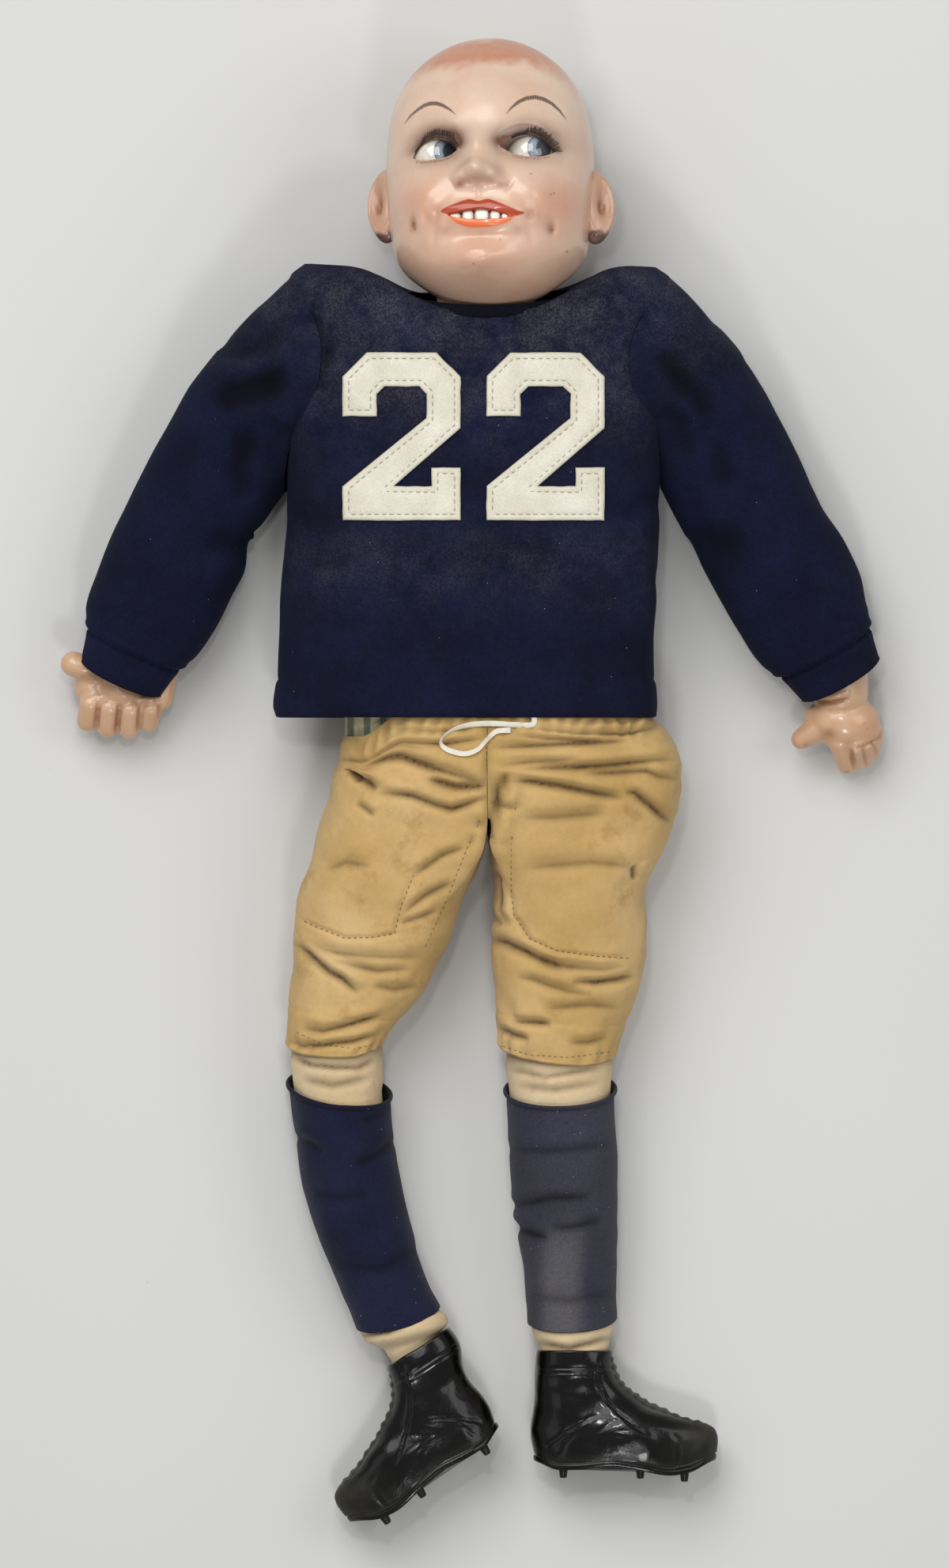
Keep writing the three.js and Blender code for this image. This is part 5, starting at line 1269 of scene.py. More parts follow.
pants = {}
for side in ("right", "left"):
    pants[side], grid = pants_half(side)
    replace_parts(pants[side], "pants_leg_" + side, "thigh_pad_" + side, "thigh_core_" + side)
    print("pants half:", side, len(pants[side].data.vertices), "points")
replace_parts(pants["right"], "pants_seat")

# %% [markdown]
# Brown cotton thread holds the pads and closes the legs on the inner side.
# The stitches lie on the canvas, wherever it ended up after the folds.

# %% Pants stitches
def vertices_of(made):
    flat = np.empty(len(made.data.vertices) * 3, np.float32)
    made.data.vertices.foreach_get("co", flat)
    return flat.reshape(-1, 3).astype(float) * 1000


canvas_points = np.concatenate([vertices_of(pants[side]) for side in ("right", "left")])
canvas_points = canvas_points[canvas_points[:, 2] > 34]


def on_canvas(x, y):
    """Height of the canvas at plan places: the mean of the upper points close by."""
    out = []
    for px, py in zip(np.atleast_1d(x), np.atleast_1d(y)):
        near = canvas_points[np.hypot(canvas_points[:, 0] - px, canvas_points[:, 1] - py) < 1.5]
        near = near[near[:, 2] > near[:, 2].max() - 2.5] if len(near) else np.full((1, 3), np.nan)
        out.append(near[:, 2].mean())
    return np.array(out)


SEAMS = { "right": [PADS["right"], plan((616, 1012), (603, 1046), (590, 1074), (560, 1150), (536, 1200)),
                    plan((615, 940), (616, 960), (617, 980)),
                    plan((372, 1304), (410, 1321), (450, 1326), (494, 1316))],
         "left": [PADS["left"], plan((652, 1010), (651, 1030)),
                  plan((632, 1322), (670, 1334), (720, 1337), (772, 1330))], }
for side, lines in SEAMS.items():
    sewn = [stitch for line in lines for stitch in stitches_along(line, on_canvas, 1.9, 1.3, 0.16)]
    sewn = [stitch for stitch in sewn if np.ptp(stitch[:, 2]) < 2.5]
    thread = strands("pants_" + side + "_stitches", sewn, 0.2, brown_thread)
    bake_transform(thread)
    print("stitches:", len(sewn))

# %% [markdown]
# ## Stuffed legs, socks and ankles
# The legs are muslin tubes stuffed hard. They show at the knees and above the
# boots. The socks are knitted tubes without feet; their tops curl outward.

# %% Legs
SHINS = {
    "right": [[-0.3, 26, 26], [0, 25.8, 25.8], [0.14, 24.6, 25], [0.35, 25.6, 24.8], [0.6, 23.8, 22.8],
              [0.85, 21.2, 20.6], [0.95, 22.2, 20], [1.03, 19.6, 17.6], [1.12, 16, 16]],
    "left": [[-0.3, 29, 27], [0, 29.4, 26.2], [0.14, 27.6, 25], [0.35, 28.2, 24.8], [0.6, 25.8, 22.8],
             [0.85, 22.6, 20.6], [0.95, 22.6, 20], [1.03, 19.6, 17.6], [1.12, 16, 16]],
}
SOCK_TOP, SOCK_END = 0.11, 0.93
LEG_FOLDS = {
    "right": [(2.4, 1.8, plan((372, 1337), (394, 1347), (424, 1350), (454, 1350), (474, 1338))),
              (3.0, 1.2, plan((380, 1364), (420, 1372), (470, 1362))),
              (2.2, 2.0, plan((450, 1692), (490, 1684), (530, 1666), (556, 1646)))],
    "left": [(2.4, 1.4, plan((640, 1352), (690, 1362), (760, 1350))),
             (2.8, 1.0, plan((650, 1372), (700, 1378), (760, 1368))),
             (2.2, 1.6, plan((676, 1700), (720, 1706), (776, 1692)))],
}
SOCK_FOLDS = { "right": [(2.6, 1.6, plan((368, 1436), (389, 1445), (410, 1458))),
                         (2.4, 1.5, plan((455, 1420), (475, 1412), (492, 1404))),
                         (3.0, 1.8, plan((446, 1474), (474, 1462), (500, 1440))),
                         (3.2, 1.2, plan((398, 1512), (430, 1515), (468, 1509))),
                         (4.5, 1.2, plan((424, 1600), (480, 1604), (532, 1580)))],
              "left": [(3.0, 1.2, plan((636, 1452), (690, 1457), (774, 1447))),
                       (2.6, 1.8, plan((640, 1526), (670, 1522), (697, 1515), (748, 1514))),
                       (2.6, 2.4, plan((640, 1542), (660, 1557), (676, 1563), (694, 1566))),
                       (2.8, 1.6, plan((694, 1553), (724, 1552), (762, 1543))),
                       (3.6, 1.0, plan((668, 1640), (720, 1646), (776, 1636)))], }
SOCK_TILT = {"right": 9.5, "left": 1.0}


def leg_piece(side):
    shin = legs[side][1]
    rings = []
    shares = np.linspace(-0.12, 1.13, 154)
    for share in shares:
        size = read_table(SHINS[side], share)
        under_sock = smooth(SOCK_TOP - 0.01, SOCK_TOP + 0.04,
                            share) - smooth(SOCK_END - 0.04, SOCK_END, share)
        shrink = -0.9 * float(under_sock)
        shrink -= (5.0 if side == "right" else 2.0) * float(smooth(-0.02, -0.10, share))
        if side == "right":
            shrink += 2.4 * float(smooth(SOCK_END, SOCK_END + 0.04, share))
            shrink -= 7.0 * float(smooth(0.985, 1.03, share))
        rings.append(shin.ring(share, size[0], size[1], 132, 2.15, grow=shrink - 0.5))
    grid = np.array(rings)
    if side == "right":
        grid[..., 0] += 2.5 * smooth(0.86, 1.02, shares)[:, None]
    creases = folds(grid, LEG_FOLDS[side])
    # Painted shade in the folds of the muslin.
    deep = np.clip(-creases / 1.8 - 0.1, 0, 1) + 0.5 * folds(grid, LEG_FOLDS[side], 0.5)
    hem = JOINTS[side + "Knee"][1] + 8
    # Painted shadow under the hem of the pants.
    deep += 0.5 * smooth(hem - 12, hem - 2, grid[..., 1])
    grid = moved(grid, creases + 0.9 * noise(grid, 20, 41) + 0.4 * noise(grid, 8, 42))
    made = grid_mesh("leg_" + side + "_muslin", grid, muslin, {"deep": np.clip(deep, 0, 1)},
                     caps=(True, True))
    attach(made, "shin_" + side)
    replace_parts(made, "shin_core_" + side)
    return made


def sock_piece(side):
    shin = legs[side][1]
    sock_top = SOCK_TOP - (0.02 if side == "left" else 0.0)
    angle = turns(168)

    def sock_ring(share, grow):
        """A ring of the sock; near the top it dips in front and tilts to one side."""
        size = read_table(SHINS[side], share)
        near_top = float(smooth(sock_top + 0.26, sock_top, share))
        tilt = SOCK_TILT[side] * near_top * np.cos(angle)
        ring = shin.ring(share, size[0], size[1], 168, sag=5.0 + 3.0 * near_top, grow=grow)
        return ring + tilt[:, None] * shin.along

    curl = [sock_ring(sock_top - 0.004 - 1.3 * math.cos(turn) / shin.length, 1.7 + 1.2 * math.sin(turn))
            for turn in np.linspace(-0.3, 4.4, 11)][::-1]
    shares = np.linspace(sock_top, SOCK_END, 130)
    body = np.array([sock_ring(share, 1.4) for share in shares])
    creases = folds(body, SOCK_FOLDS[side])
    # Painted shade along the fold lines and in the fold valleys.
    deep = np.clip(0.5 * folds(body, SOCK_FOLDS[side], 0.6) - creases / 5, 0, 0.7)
    height = creases + 0.8 * noise(body, 22, 51) + 0.3 * noise(body, 9, 52)
    body = moved(body, height * smooth(sock_top, sock_top + 0.05, shares)[:, None])
    lip = [sock_ring(SOCK_END + a, g) for a, g in ((0.004, 1.0), (0.006, 0.2), (0.003, -0.4))]
    grid = np.concatenate([np.array(curl), body, np.array(lip)])
    grid[..., 2] = np.maximum(grid[..., 2], 0.4)
    # Painted shade in the curled top and at the lower end.
    deep = np.concatenate([np.full((len(curl), 168), 0.3), deep, np.full((len(lip), 168), 0.3)])
    faded = np.zeros(grid.shape[:2])
    if side == "left":
        stripe = np.exp(-(np.abs(grid[..., 0] - 47.5 + 1.5 * noise(grid, 12, 53)) / 11.5) ** 4)
        stripe *= smooth(-228, -258, grid[..., 1] + 4 * noise(grid, 16, 54)) * (grid[..., 2] > 18)
        faded = 0.27 + 0.08 * noise(grid, 30, 55) + 0.5 * stripe
    made = grid_mesh("sock_" + side + "_knit", grid, sock_wool, {"faded": np.clip(faded, 0, 1), "deep": deep})
    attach(made, "shin_" + side)
    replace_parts(made, "sock_" + side)
    return made


for side in ("right", "left"):
    print(leg_piece(side).name, sock_piece(side).name)

# %% [markdown]
# ## Black painted boots
# The boots are moulded in composition and painted glossy black. Dust has
# settled on the laces, the tongue and the toe, so those parts are grey and
# dull. The boot is a loft of soles: each ring lies across the boot at a
# depth below its top. Seams are pressed in as lines of the side view.

# %% Boot material
boot_paint, tree, shader = new_material("black_enamel_on_composition", Roughness=0.22, Coat_Weight=0.2,
                                        Coat_Roughness=0.06)
shader.inputs["Specular IOR Level"].default_value = 0.22
rest = add(tree, "Attribute", {".attribute_name": "rest"}, out="Vector")
wear = add(tree, "TexNoise", {"Scale": 0.12, "Detail": 5.0, "Roughness": 0.65, "Vector": rest})
fine = add(tree, "TexNoise", {"Scale": 0.6, "Detail": 4.0, "Roughness": 0.7, "Vector": rest})
grime = add(tree, "Math", {".operation": "MULTIPLY", ".use_clamp": True,
                           0: add(tree, "Attribute", {".attribute_name": "dust"}, out="Fac"),
                           1: add(tree, "ValToRGB", {".stops": [(0.3, (0.5,)), (0.62, (0.9,))], 0: wear})})
tone = add(tree, "ValToRGB", {".stops": [(0.3, linear("#040404")), (0.7, linear("#0a0a09"))], 0: fine})
tree.links.new(add(tree, "Mix", {".data_type": "RGBA", 0: grime, 6: tone, 7: linear("#33322b")}, out=2),
               shader.inputs["Base Color"])
tree.links.new(add(tree, "ValToRGB", {".stops": [(0.0, (0.2,)), (1.0, (0.62,))], 0: grime}),
               shader.inputs["Roughness"])
tree.links.new(add(tree, "Math", {".operation": "SUBTRACT", ".use_clamp": True, 0: 0.2,
                                  1: add(tree, "Math", {".operation": "MULTIPLY", 0: grime, 1: 0.3})}),
               shader.inputs["Coat Weight"])
tree.links.new(add(tree, "Bump",
                   {"Strength": 0.25, "Distance": 0.0012,
                    "Height": add(tree, "Math",
                                  {".operation": "ADD", 0: wear,
                                   1: add(tree, "Math", {".operation": "MULTIPLY", 0: fine, 1: 0.25})})}),
               shader.inputs["Normal"])

# %% Boots
BOOT = [[0, -20.5, 21.5, 19], [8, -20.8, 22, 19.4], [18, -21.5, 26, 18.6], [25, -22.2, 33.5, 18],
        [31, -22.8, 43.5, 18.4], [36, -23, 58, 19], [42, -23.2, 72.5, 19.6], [52, -23.2, 78, 20],
        [63.9, -21.5, 76.5, 19.4]]
BOOT_DEPTH, WELT_REACH = 65.5, 1.1
BOOT_DROP = {"right": 10.0, "left": 6.0}
BOOT_SEAMS = [
    (0.9, 0.7, [(13.4, 4), (13.8, 18.6), (17.9, 28), (24.7, 35), (32.1, 41.5), (40, 46.5)]),
    (1.3, 0.5, [(-16, 56), (-12.5, 51), (-4.3, 44), (3, 40.4), (12.2, 35)]),
    (1.0, 0.35, [(-0.4, 46), (-5, 51), (-7.9, 58)]),
    (1.0, 0.35, [(13, 46), (16.2, 43), (23.4, 37.7)]),
    (1.0, 0.35, [(18.4, 58), (22, 50), (27.2, 43)]),
    (1.0, 0.5, [(53, 44), (56.2, 47), (57.5, 54), (56.2, 62)]),
    (0.6, 0.45, [(-22, 10), (23, 10)]),
    (0.6, 0.35, [(-22, 12.4), (13, 12.4)]),
]


def boot_frame(side):
    shin = legs[side][1]
    turn = math.radians(213 if side == "right" else 0)
    way = np.array((math.cos(turn), math.sin(turn), 0.0))
    up = np.array((way[1], -way[0], 0.0)) if side == "right" else np.array((-way[1], way[0], 0.0))
    origin = JOINTS[side + "Ankle"] + shin.along * BOOT_DROP[side]
    origin[2] = 20.0 + WELT_REACH + 0.4
    return origin, way, up, np.cross(way, up)


def sole_curve(x, depth):
    """How much deeper the boot is here than a flat-soled one: the ball drops, toe and heel rise."""
    curve = 3.0 * bell(x - 52, 13) - 1.8 * bell(x - 20, 12)
    curve -= 6.0 * smooth(62, 80, x) + 5.0 * smooth(-8, -24, x)
    return curve * smooth(30, 58, depth)


def boot_ring(depth, heel, front, half, count=200):
    angle = turns(count)
    c, s = np.cos(angle), np.sin(angle)
    along = (front + heel) / 2 + power(c, 2 / 2.5) * (front - heel) / 2
    narrow = 1 - 0.16 * np.clip((along - 40) / 40, 0, 1)
    return np.stack([along, np.full(count, depth), power(s, 2 / 2.5) * half * narrow], 1)


def in_boot(points, frame_of):
    origin, way, up, across = frame_of
    return origin + points[..., :1] * way - points[..., 1:2] * up + points[..., 2:] * across


def boot_piece(side):
    place = boot_frame(side)
    rings = []
    for grow in (-3.0, -2.6, -1.4, -0.4):
        row = read_table(BOOT, 0)
        rings.append(boot_ring(8.0 if grow == -3.0 else 0.4 + grow * 0.1, row[0] - grow, row[1] + grow,
                               row[2] + grow))
    for depth in np.linspace(0.8, BOOT_DEPTH - 4.4, 116):
        heel, front, half = read_table(BOOT, depth)
        rings.append(boot_ring(depth, heel, front, half))
    heel, front, half = read_table(BOOT, BOOT_DEPTH - 3.4)
    for above, grow in ((3.8, -0.5), (3.3, 0.2), (2.9, 0.5), (2.2, 0.6), (0.8, 0.5), (0.2, 0.2), (0.0, -0.4),
                        (0.0, -4.0), (0.0, -12.0)):
        rings.append(boot_ring(BOOT_DEPTH - above, heel - grow, front + grow, half + grow))
    local = np.array(rings)
    height = np.zeros(local.shape[:2])
    outer = smooth(2.0, 8.0, np.abs(local[..., 2]))
    for width, depth, line in BOOT_SEAMS:
        gap, share = line_distance(local, line)
        ends = fade(share, 10)
        height += depth * ends * outer * (0.45 * bell(gap - 1.5, 0.9) - bell(gap, width))
    front_edge = np.array([read_table(BOOT, min(d, BOOT_DEPTH - 2))[1] for d in local[:, 0, 1]])[:, None]
    lacing = smooth(9.5, 7.0, np.abs(local[..., 2])) * smooth(6, 9, front_edge - local[..., 0] + 9.0)
    lacing *= (local[..., 0] > front_edge - 15) * smooth(3, 6, local[..., 1]) * smooth(43, 39, local[..., 1])
    arc = local[..., 1] * 0.72 + local[..., 0] * 0.45
    height += lacing * 0.95 * (0.5 + 0.5 * np.cos(arc / 4.2 * 2 * math.pi))
    height += 1.1 * noise(local + 40, 17, 61) + 0.3 * noise(local, 7, 62)
    welt_rows = np.arange(len(rings))[:, None] >= len(rings) - 9
    shaped = local.copy()
    shaped[..., 1] += sole_curve(local[..., 0], local[..., 1])
    if side == "right":
        shaped[..., 0] -= 5.5 * smooth(34, 2, local[..., 1])
        shaped[..., 0] += 3.0 * smooth(6, -16, local[..., 0]) * smooth(8, 26, local[..., 1])
    grid = in_boot(shaped, place)
    grid = moved(grid, np.where(welt_rows, 0.1 * height, height), floor=0.6)
    dust = 0.95 * lacing + 0.85 * np.exp(-(((local[..., 0] - 70) / 13) ** 2
                                           + ((local[..., 1] - 48) / 12) ** 2))
    dust += 0.55 * smooth(7, 2, front_edge - local[..., 0]) * smooth(10, 20, local[..., 1])
    dust += 0.22 * bell(local[..., 1] - 60, 2.0)
    made = grid_mesh("boot_" + side + "_enamel", grid, boot_paint,
                     {"dust": np.clip(dust, 0, 1), "rest": local}, caps=(False, True))
    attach(made, "shin_" + side)
    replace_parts(made, "boot_" + side)
    return made


def stud_piece(side, place_x, across, name):
    rings = []
    root = BOOT_DEPTH + float(sole_curve(np.array(place_x), 60.0))
    for below, radius in ((-0.4, 2.5), (0.6, 2.35), (2.8, 2.05), (3.7, 1.95), (4.2, 1.6), (4.35, 0.9)):
        depth = root + below
        angle = turns(36)
        rings.append(np.stack([place_x + radius * np.cos(angle), np.full(len(angle), depth),
                               across + radius * np.sin(angle)], 1))
    local = np.array(rings)
    grid = in_boot(local, boot_frame(side))
    made = grid_mesh(name + "_enamel", grid, boot_paint,
                     {"dust": np.full(grid.shape[:2], 0.2), "rest": local}, caps=(True, True))
    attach(made, "shin_" + side)
    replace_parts(made, name)


for side in ("right", "left"):
    print(boot_piece(side).name)
    origin, way, up, across = boot_frame(side)
    for i in range(1, 7):
        low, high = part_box("stud_%s_%d" % (side, i))
        middle = np.array((low + high) / 2) * 1000 - origin
        stud_piece(side, float(middle @ way), float(middle @ across), "stud_%s_%d" % (side, i))

# %% [markdown]
# ## Painted composition
# Head and hands are moulded from sawdust and glue and painted in flesh tone,
# then varnished. The gloss is a clear coat over a soft colour. The painted
# colours (cheeks, eye shadow, lips, the worn crown) are masks that the mesh
# carries, so the brush marks stay in place when the head turns.

# %% Composition paint
# One of these masks is grime mixed with painted shade, in the hollows and under the nose and jaw.
PAINTED = (("crown", "#b8714a", 0.9, True), ("cheek", "#cb8d6f", 0.8, True),
           ("shade", "#522810", 1.0, True), ("dirt", "#8a5632", 0.9, True), ("lips", "#a93a12", 1.0, False),
           ("lower_lip", "#e0703f", 1.0, False), ("hollow", "#5a1f12", 1.0, False),
           ("paint", "#4f352a", 1.0, False))


def composition_material(name, pale, warm):
    made, tree, shader = new_material(name, Roughness=0.38, Coat_Weight=0.5, Coat_Roughness=0.15,
                                      Subsurface_Weight=0.06, Subsurface_Scale=0.002)
    rest = add(tree, "Attribute", {".attribute_name": "rest"}, out="Vector")
    clouds = add(tree, "TexNoise", {"Scale": 0.035, "Detail": 4.0, "Roughness": 0.6, "Vector": rest})
    pores = add(tree, "TexNoise", {"Scale": 1.1, "Detail": 3.0, "Roughness": 0.6, "Vector": rest})
    brush = add(tree, "TexNoise", {"Scale": 0.22, "Detail": 3.0, "Vector": rest})
    tone = add(tree, "ValToRGB", {".stops": [(0.3, linear(pale)), (0.7, linear(warm))], 0: clouds})
    tone = add(tree, "Mix",
               {".data_type": "RGBA", ".blend_type": "MULTIPLY", 0: 1.0, 6: tone,
                7: add(tree, "ValToRGB", {".stops": [(0.3, (0.965,)), (0.7, (1.02,))], 0: pores})}, out=2)
    uneven = add(tree, "ValToRGB", {".stops": [(0.3, (0.88,)), (0.7, (1.0,))], 0: brush})
    for mask_name, colour, amount, brushed in PAINTED:
        mask = add(tree, "Attribute", {".attribute_name": mask_name}, out="Fac")
        if brushed:
            mask = add(tree, "Math", {".operation": "MULTIPLY", 0: mask, 1: uneven})
        if amount != 1.0:
            mask = add(tree, "Math", {".operation": "MULTIPLY", ".use_clamp": True, 0: mask, 1: amount})
        tone = add(tree, "Mix", {".data_type": "RGBA", 0: mask, 6: tone, 7: linear(colour)}, out=2)
    tree.links.new(tone, shader.inputs["Base Color"])
    rough = add(tree, "Math", {".operation": "ADD", ".use_clamp": True,
                               0: add(tree, "Math", {".operation": "MULTIPLY",
                                                     0: add(tree, "Attribute", {".attribute_name": "dirt"},
                                                            out="Fac"), 1: 0.25}), 1: 0.38})
    tree.links.new(rough, shader.inputs["Roughness"])
    tree.links.new(add(tree, "Bump",
                       {"Strength": 0.25, "Distance": 0.002,
                        "Height": add(tree, "Math", {".operation": "ADD", 0: clouds,
                                                     1: add(tree, "Math", {".operation": "MULTIPLY",
                                                                           0: pores, 1: 0.06})})}),
                   shader.inputs["Normal"])
    return made


flesh = composition_material("flesh_enamel_on_composition", "#dac1ac", "#d0ad94")
hand_flesh = composition_material("flesh_enamel_on_hands", "#cca786", "#be9371")
print("composition:", flesh.name)

# %% [markdown]
# ## Hands
# The hands are two moulded fists: the doll's right lies palm up with the
# fingers curled in, the left palm down. Each is built from rounded lengths
# and balls that are fused into one skin by a voxel remesh and then smoothed,
# as a modeller would press clay together. Creases are pushed in afterwards.

# %% Fused forms
def fused(name, lengths, balls, voxel, passes, material):
    bm = bmesh.new()
    for a, b, ra, rb in lengths:
        a, b = np.array(a, float), np.array(b, float)
        steps = max(int(np.linalg.norm(b - a) / 1.5), 2)
        for i in range(steps + 1):
            t = i / steps
            spot = a + (b - a) * t
            bmesh.ops.create_icosphere(bm, subdivisions=3, radius=(ra + (rb - ra) * t) * 0.001,
                                       matrix=Matrix.Translation(Vector(spot * 0.001)))
    for centre, size, turn in balls:
        moved_to = Matrix.Translation(Vector(np.array(centre) * 0.001))
        turned = Matrix.Rotation(math.radians(turn), 4, "Z")
        matrix = moved_to @ turned @ Matrix.Diagonal(Vector(np.array(size) * 0.001).to_4d())
        bmesh.ops.create_icosphere(bm, subdivisions=4, radius=1.0, matrix=matrix)
    mesh = bpy.data.meshes.new(name)
    bm.to_mesh(mesh)
    bm.free()
    made = finish_mesh(name, mesh, material)
    remesh = made.modifiers.new("fuse", "REMESH")
    remesh.mode = "VOXEL"
    remesh.voxel_size = voxel * 0.001
    ease = made.modifiers.new("ease", "SMOOTH")
    ease.factor = 0.5
    ease.iterations = passes
    with bpy.context.temp_override(object=made, active_object=made, selected_objects=[made]):
        bpy.ops.object.modifier_apply(modifier="fuse")
        bpy.ops.object.modifier_apply(modifier="ease")
    if not made.data.materials:
        made.data.materials.append(material)
    made.data.shade_smooth()
    return made


def set_vertices(made, points):
    made.data.vertices.foreach_set("co", (points * 0.001).astype(np.float32).ravel())
    made.data.update()


def normals_of(made):
    flat = np.empty(len(made.data.vertices) * 3, np.float32)
    made.data.vertices.foreach_get("normal", flat)
    return flat.reshape(-1, 3).astype(float)


RIGHT_HAND = dict(
    lengths=[
        ((-193, 72, 25), (-192, 56, 22), 14.5, 15),
        ((-201, 60, 24), (-218.5, 66.5, 26), 8.2, 7.0),
        ((-209, 45, 25), (-211, 35.5, 20), 6.3, 5.8), ((-211, 37, 18), (-208, 42, 12), 5.6, 5.6),
        ((-198.5, 43, 27), (-200, 32.0, 21), 6.2, 5.8), ((-200, 34, 18), (-197, 41, 12), 5.6, 5.6),
        ((-187, 41.5, 27), (-188.2, 31.0, 21), 6.1, 5.6), ((-188, 33, 18), (-186, 40, 12), 5.6, 5.6),
        ((-176, 42, 25), (-177.2, 34.5, 20), 5.9, 5.3), ((-177, 36, 17), (-175, 43, 13), 5.3, 5.3),
        ((-206, 48.5, 28.5), (-176, 47.5, 28.5), 2.6, 2.6),
        ((-167.5, 62, 24), (-170.5, 48, 23), 6.0, 6.4),
    ],
    balls=[((-191, 53, 17.5), (23, 17, 11), 6), ((-206, 54, 19), (12, 12, 11), 0)],
)
LEFT_HAND = dict( lengths=[ ((199, 70, 25), (199.5, 50, 25), 15.5, 15.0),
                           ((190, 33, 24), (178, 25.5, 22), 8.4, 5.6),
                           ((199.4, 24, 26), (203.2, 12.6, 17), 6.8, 6.2),
                           ((203.2, 13, 16), (200.5, 19, 11), 6.0, 5.6),
                           ((208.4, 22.5, 26), (211.0, 15.0, 17), 6.4, 5.8),
                           ((211, 16, 15), (209, 21, 11), 5.6, 5.4),
                           ((213.5, 24, 24), (216.0, 18.5, 16), 6.0, 5.2),
                           ((216, 20, 14), (213, 24, 11), 5.2, 5.0),
                           ((217.5, 29, 23), (218.6, 24.5, 16), 5.4, 4.8), ],
                 balls=[((201.5, 35, 24), (19.5, 15.5, 13), -8), ((206, 31, 18), (16, 13, 11), 0),
                        ((190, 36, 21), (11, 10, 10), 0)], )


def hand(side, shape, creases, dents, spots):
    made = fused("hand_" + side + "_composition", shape["lengths"], shape["balls"], 0.85, 5, hand_flesh)
    points = vertices_of(made)
    normals = normals_of(made)
    up = smooth(0.0, 0.6, normals[:, 2])
    height = folds(points, creases) * up
    # Painted shade with grime: darker in the creases and the pressed hollows, plus a few darker spots.
    dirt = np.clip(-height * 0.6, 0, 1)
    for centre, size, depth in dents:
        pit = np.exp(-(((points - np.array(centre)) / np.array(size)) ** 2).sum(1))
        height -= depth * pit * up
        dirt += 0.85 * pit * up
    for centre, size in spots:
        dirt += 1.0 * np.exp(-(((points - np.array(centre)) / size) ** 2).sum(1))
    points = points + normals * height[:, None]
    points[:, 2] = np.maximum(points[:, 2], 0.8)
    set_vertices(made, points)
    keep_values(made.data, {"rest": points, "dirt": np.clip(dirt, 0, 1)})
    made.data.shade_smooth()
    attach(made, "forearm_" + side)
    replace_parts(made, "hand_" + side)
    return made


right_hand = hand("right", RIGHT_HAND, [(1.3, 1.2, [(-204.5, 46), (-205.5, 36), (-206, 30)]),
                                        (1.3, 1.4, [(-193, 45), (-194, 36), (-195, 28)]),
                                        (1.3, 1.4, [(-181.5, 44), (-182.5, 36), (-183, 28)]),
                                        (1.2, 1.0, [(-171, 45), (-171.5, 36)])],
                  [((-188, 55, 27), (15, 4.6, 10), 7.5), ((-206, 60.5, 30), (6, 4, 9), 1.5)],
                  [((-222.5, 68.5, 28), 1.0), ((-213.5, 60, 30), 0.9), ((-216, 34, 24), 0.8)])
left_hand = hand("left", LEFT_HAND,
                 [(1.6, 2.2, plan((1028, 879), (1036, 888), (1050, 889), (1062, 887), (1078, 883))),
                  (1.2, 1.0, plan((1078, 948), (1095, 943), (1112, 934), (1119, 920))),
                  (1.2, 1.2, [(204.5, 21), (207.5, 8)]), (1.2, 1.1, [(211.5, 21), (214, 10)]),
                  (1.2, 1.0, [(216.5, 25), (220, 16)])], [((193, 28, 30), (4, 3, 9), 1.0)],
                 [((203.0, 8.5, 20), 1.3), ((180.5, 23, 26), 0.9), ((178.5, 24, 26), 0.7),
                  ((207.5, 42, 36), 0.7), ((212, 34, 34), 0.9), ((213.5, 31.5, 33), 0.8),
                  ((219, 29, 26), 0.8)])
print("hands:", len(right_hand.data.vertices), len(left_hand.data.vertices), "points")

# %% [markdown]
# ## The head
# The head is an egg whose sections come from a small table, with the face
# modelled on it as soft hills and pits: cheeks pushed up by the smile, a
# button nose, lips, chin and dimples. The openings for the eyes and the mouth
# are pressed straight back. All of it is one grid that is finest over the
# face, so that painted lines such as the brows come out crisp.

# %% Head shape
HEAD_AT = np.array((8.6, 332.0, 64.5))
HEAD_HEIGHT = 75.0
HEAD = [[-1, 66, 92, 42], [-0.84, 66, 92, 45], [-0.69, 67, 78, 50], [-0.46, 60.8, 66, 56],
        [-0.165, 56.7, 60, 62], [0.13, 56.6, 59, 63], [0.42, 58.8, 60, 62.5], [0.71, 61.4, 59, 60],
        [1, 62, 57, 56]]


def turn_matrix(axis, degrees):
    return np.array(Matrix.Rotation(math.radians(degrees), 3, axis))


HEAD_TURN = turn_matrix("X", -12) @ turn_matrix("Y", -7) @ turn_matrix("Z", 0.5)


def in_head(points):
    return points @ HEAD_TURN.T + HEAD_AT


def hill(x, y, centre, width_x, width_y, lean=0.0):
    u, v = x - centre[0], y - centre[1]
    u, v = u * math.cos(lean) + v * math.sin(lean), v * math.cos(lean) - u * math.sin(lean)
    return np.exp(-(u / width_x) ** 2 - (v / width_y) ** 2)


def inside(points, outline):
    """Distance to a closed outline, below zero inside it."""
    path = np.array(list(outline) + [outline[0]], float)
    gap = np.abs(line_distance(points, path)[0])
    x, y = points[..., 0], points[..., 1]
    crossings = np.zeros(x.shape, int)
    for (x1, y1), (x2, y2) in zip(path[:-1], path[1:]):
        hit = ((y1 > y) != (y2 > y)) & (x < (x2 - x1) * (y - y1) / ((y2 - y1) or 1e-9) + x1)
        crossings += hit
    return np.where(crossings % 2 == 1, -gap, gap)


def rounded(outline, steps=8):
    """A smooth closed curve through a few points."""
    points = np.array(outline, float)
    n = len(points)
    out = []
    for i in range(n):
        near = [points[(i + k) % n] for k in (-1, 0, 1, 2)]
        out.extend(between(near, t) for t in np.arange(steps) / steps)
    return out


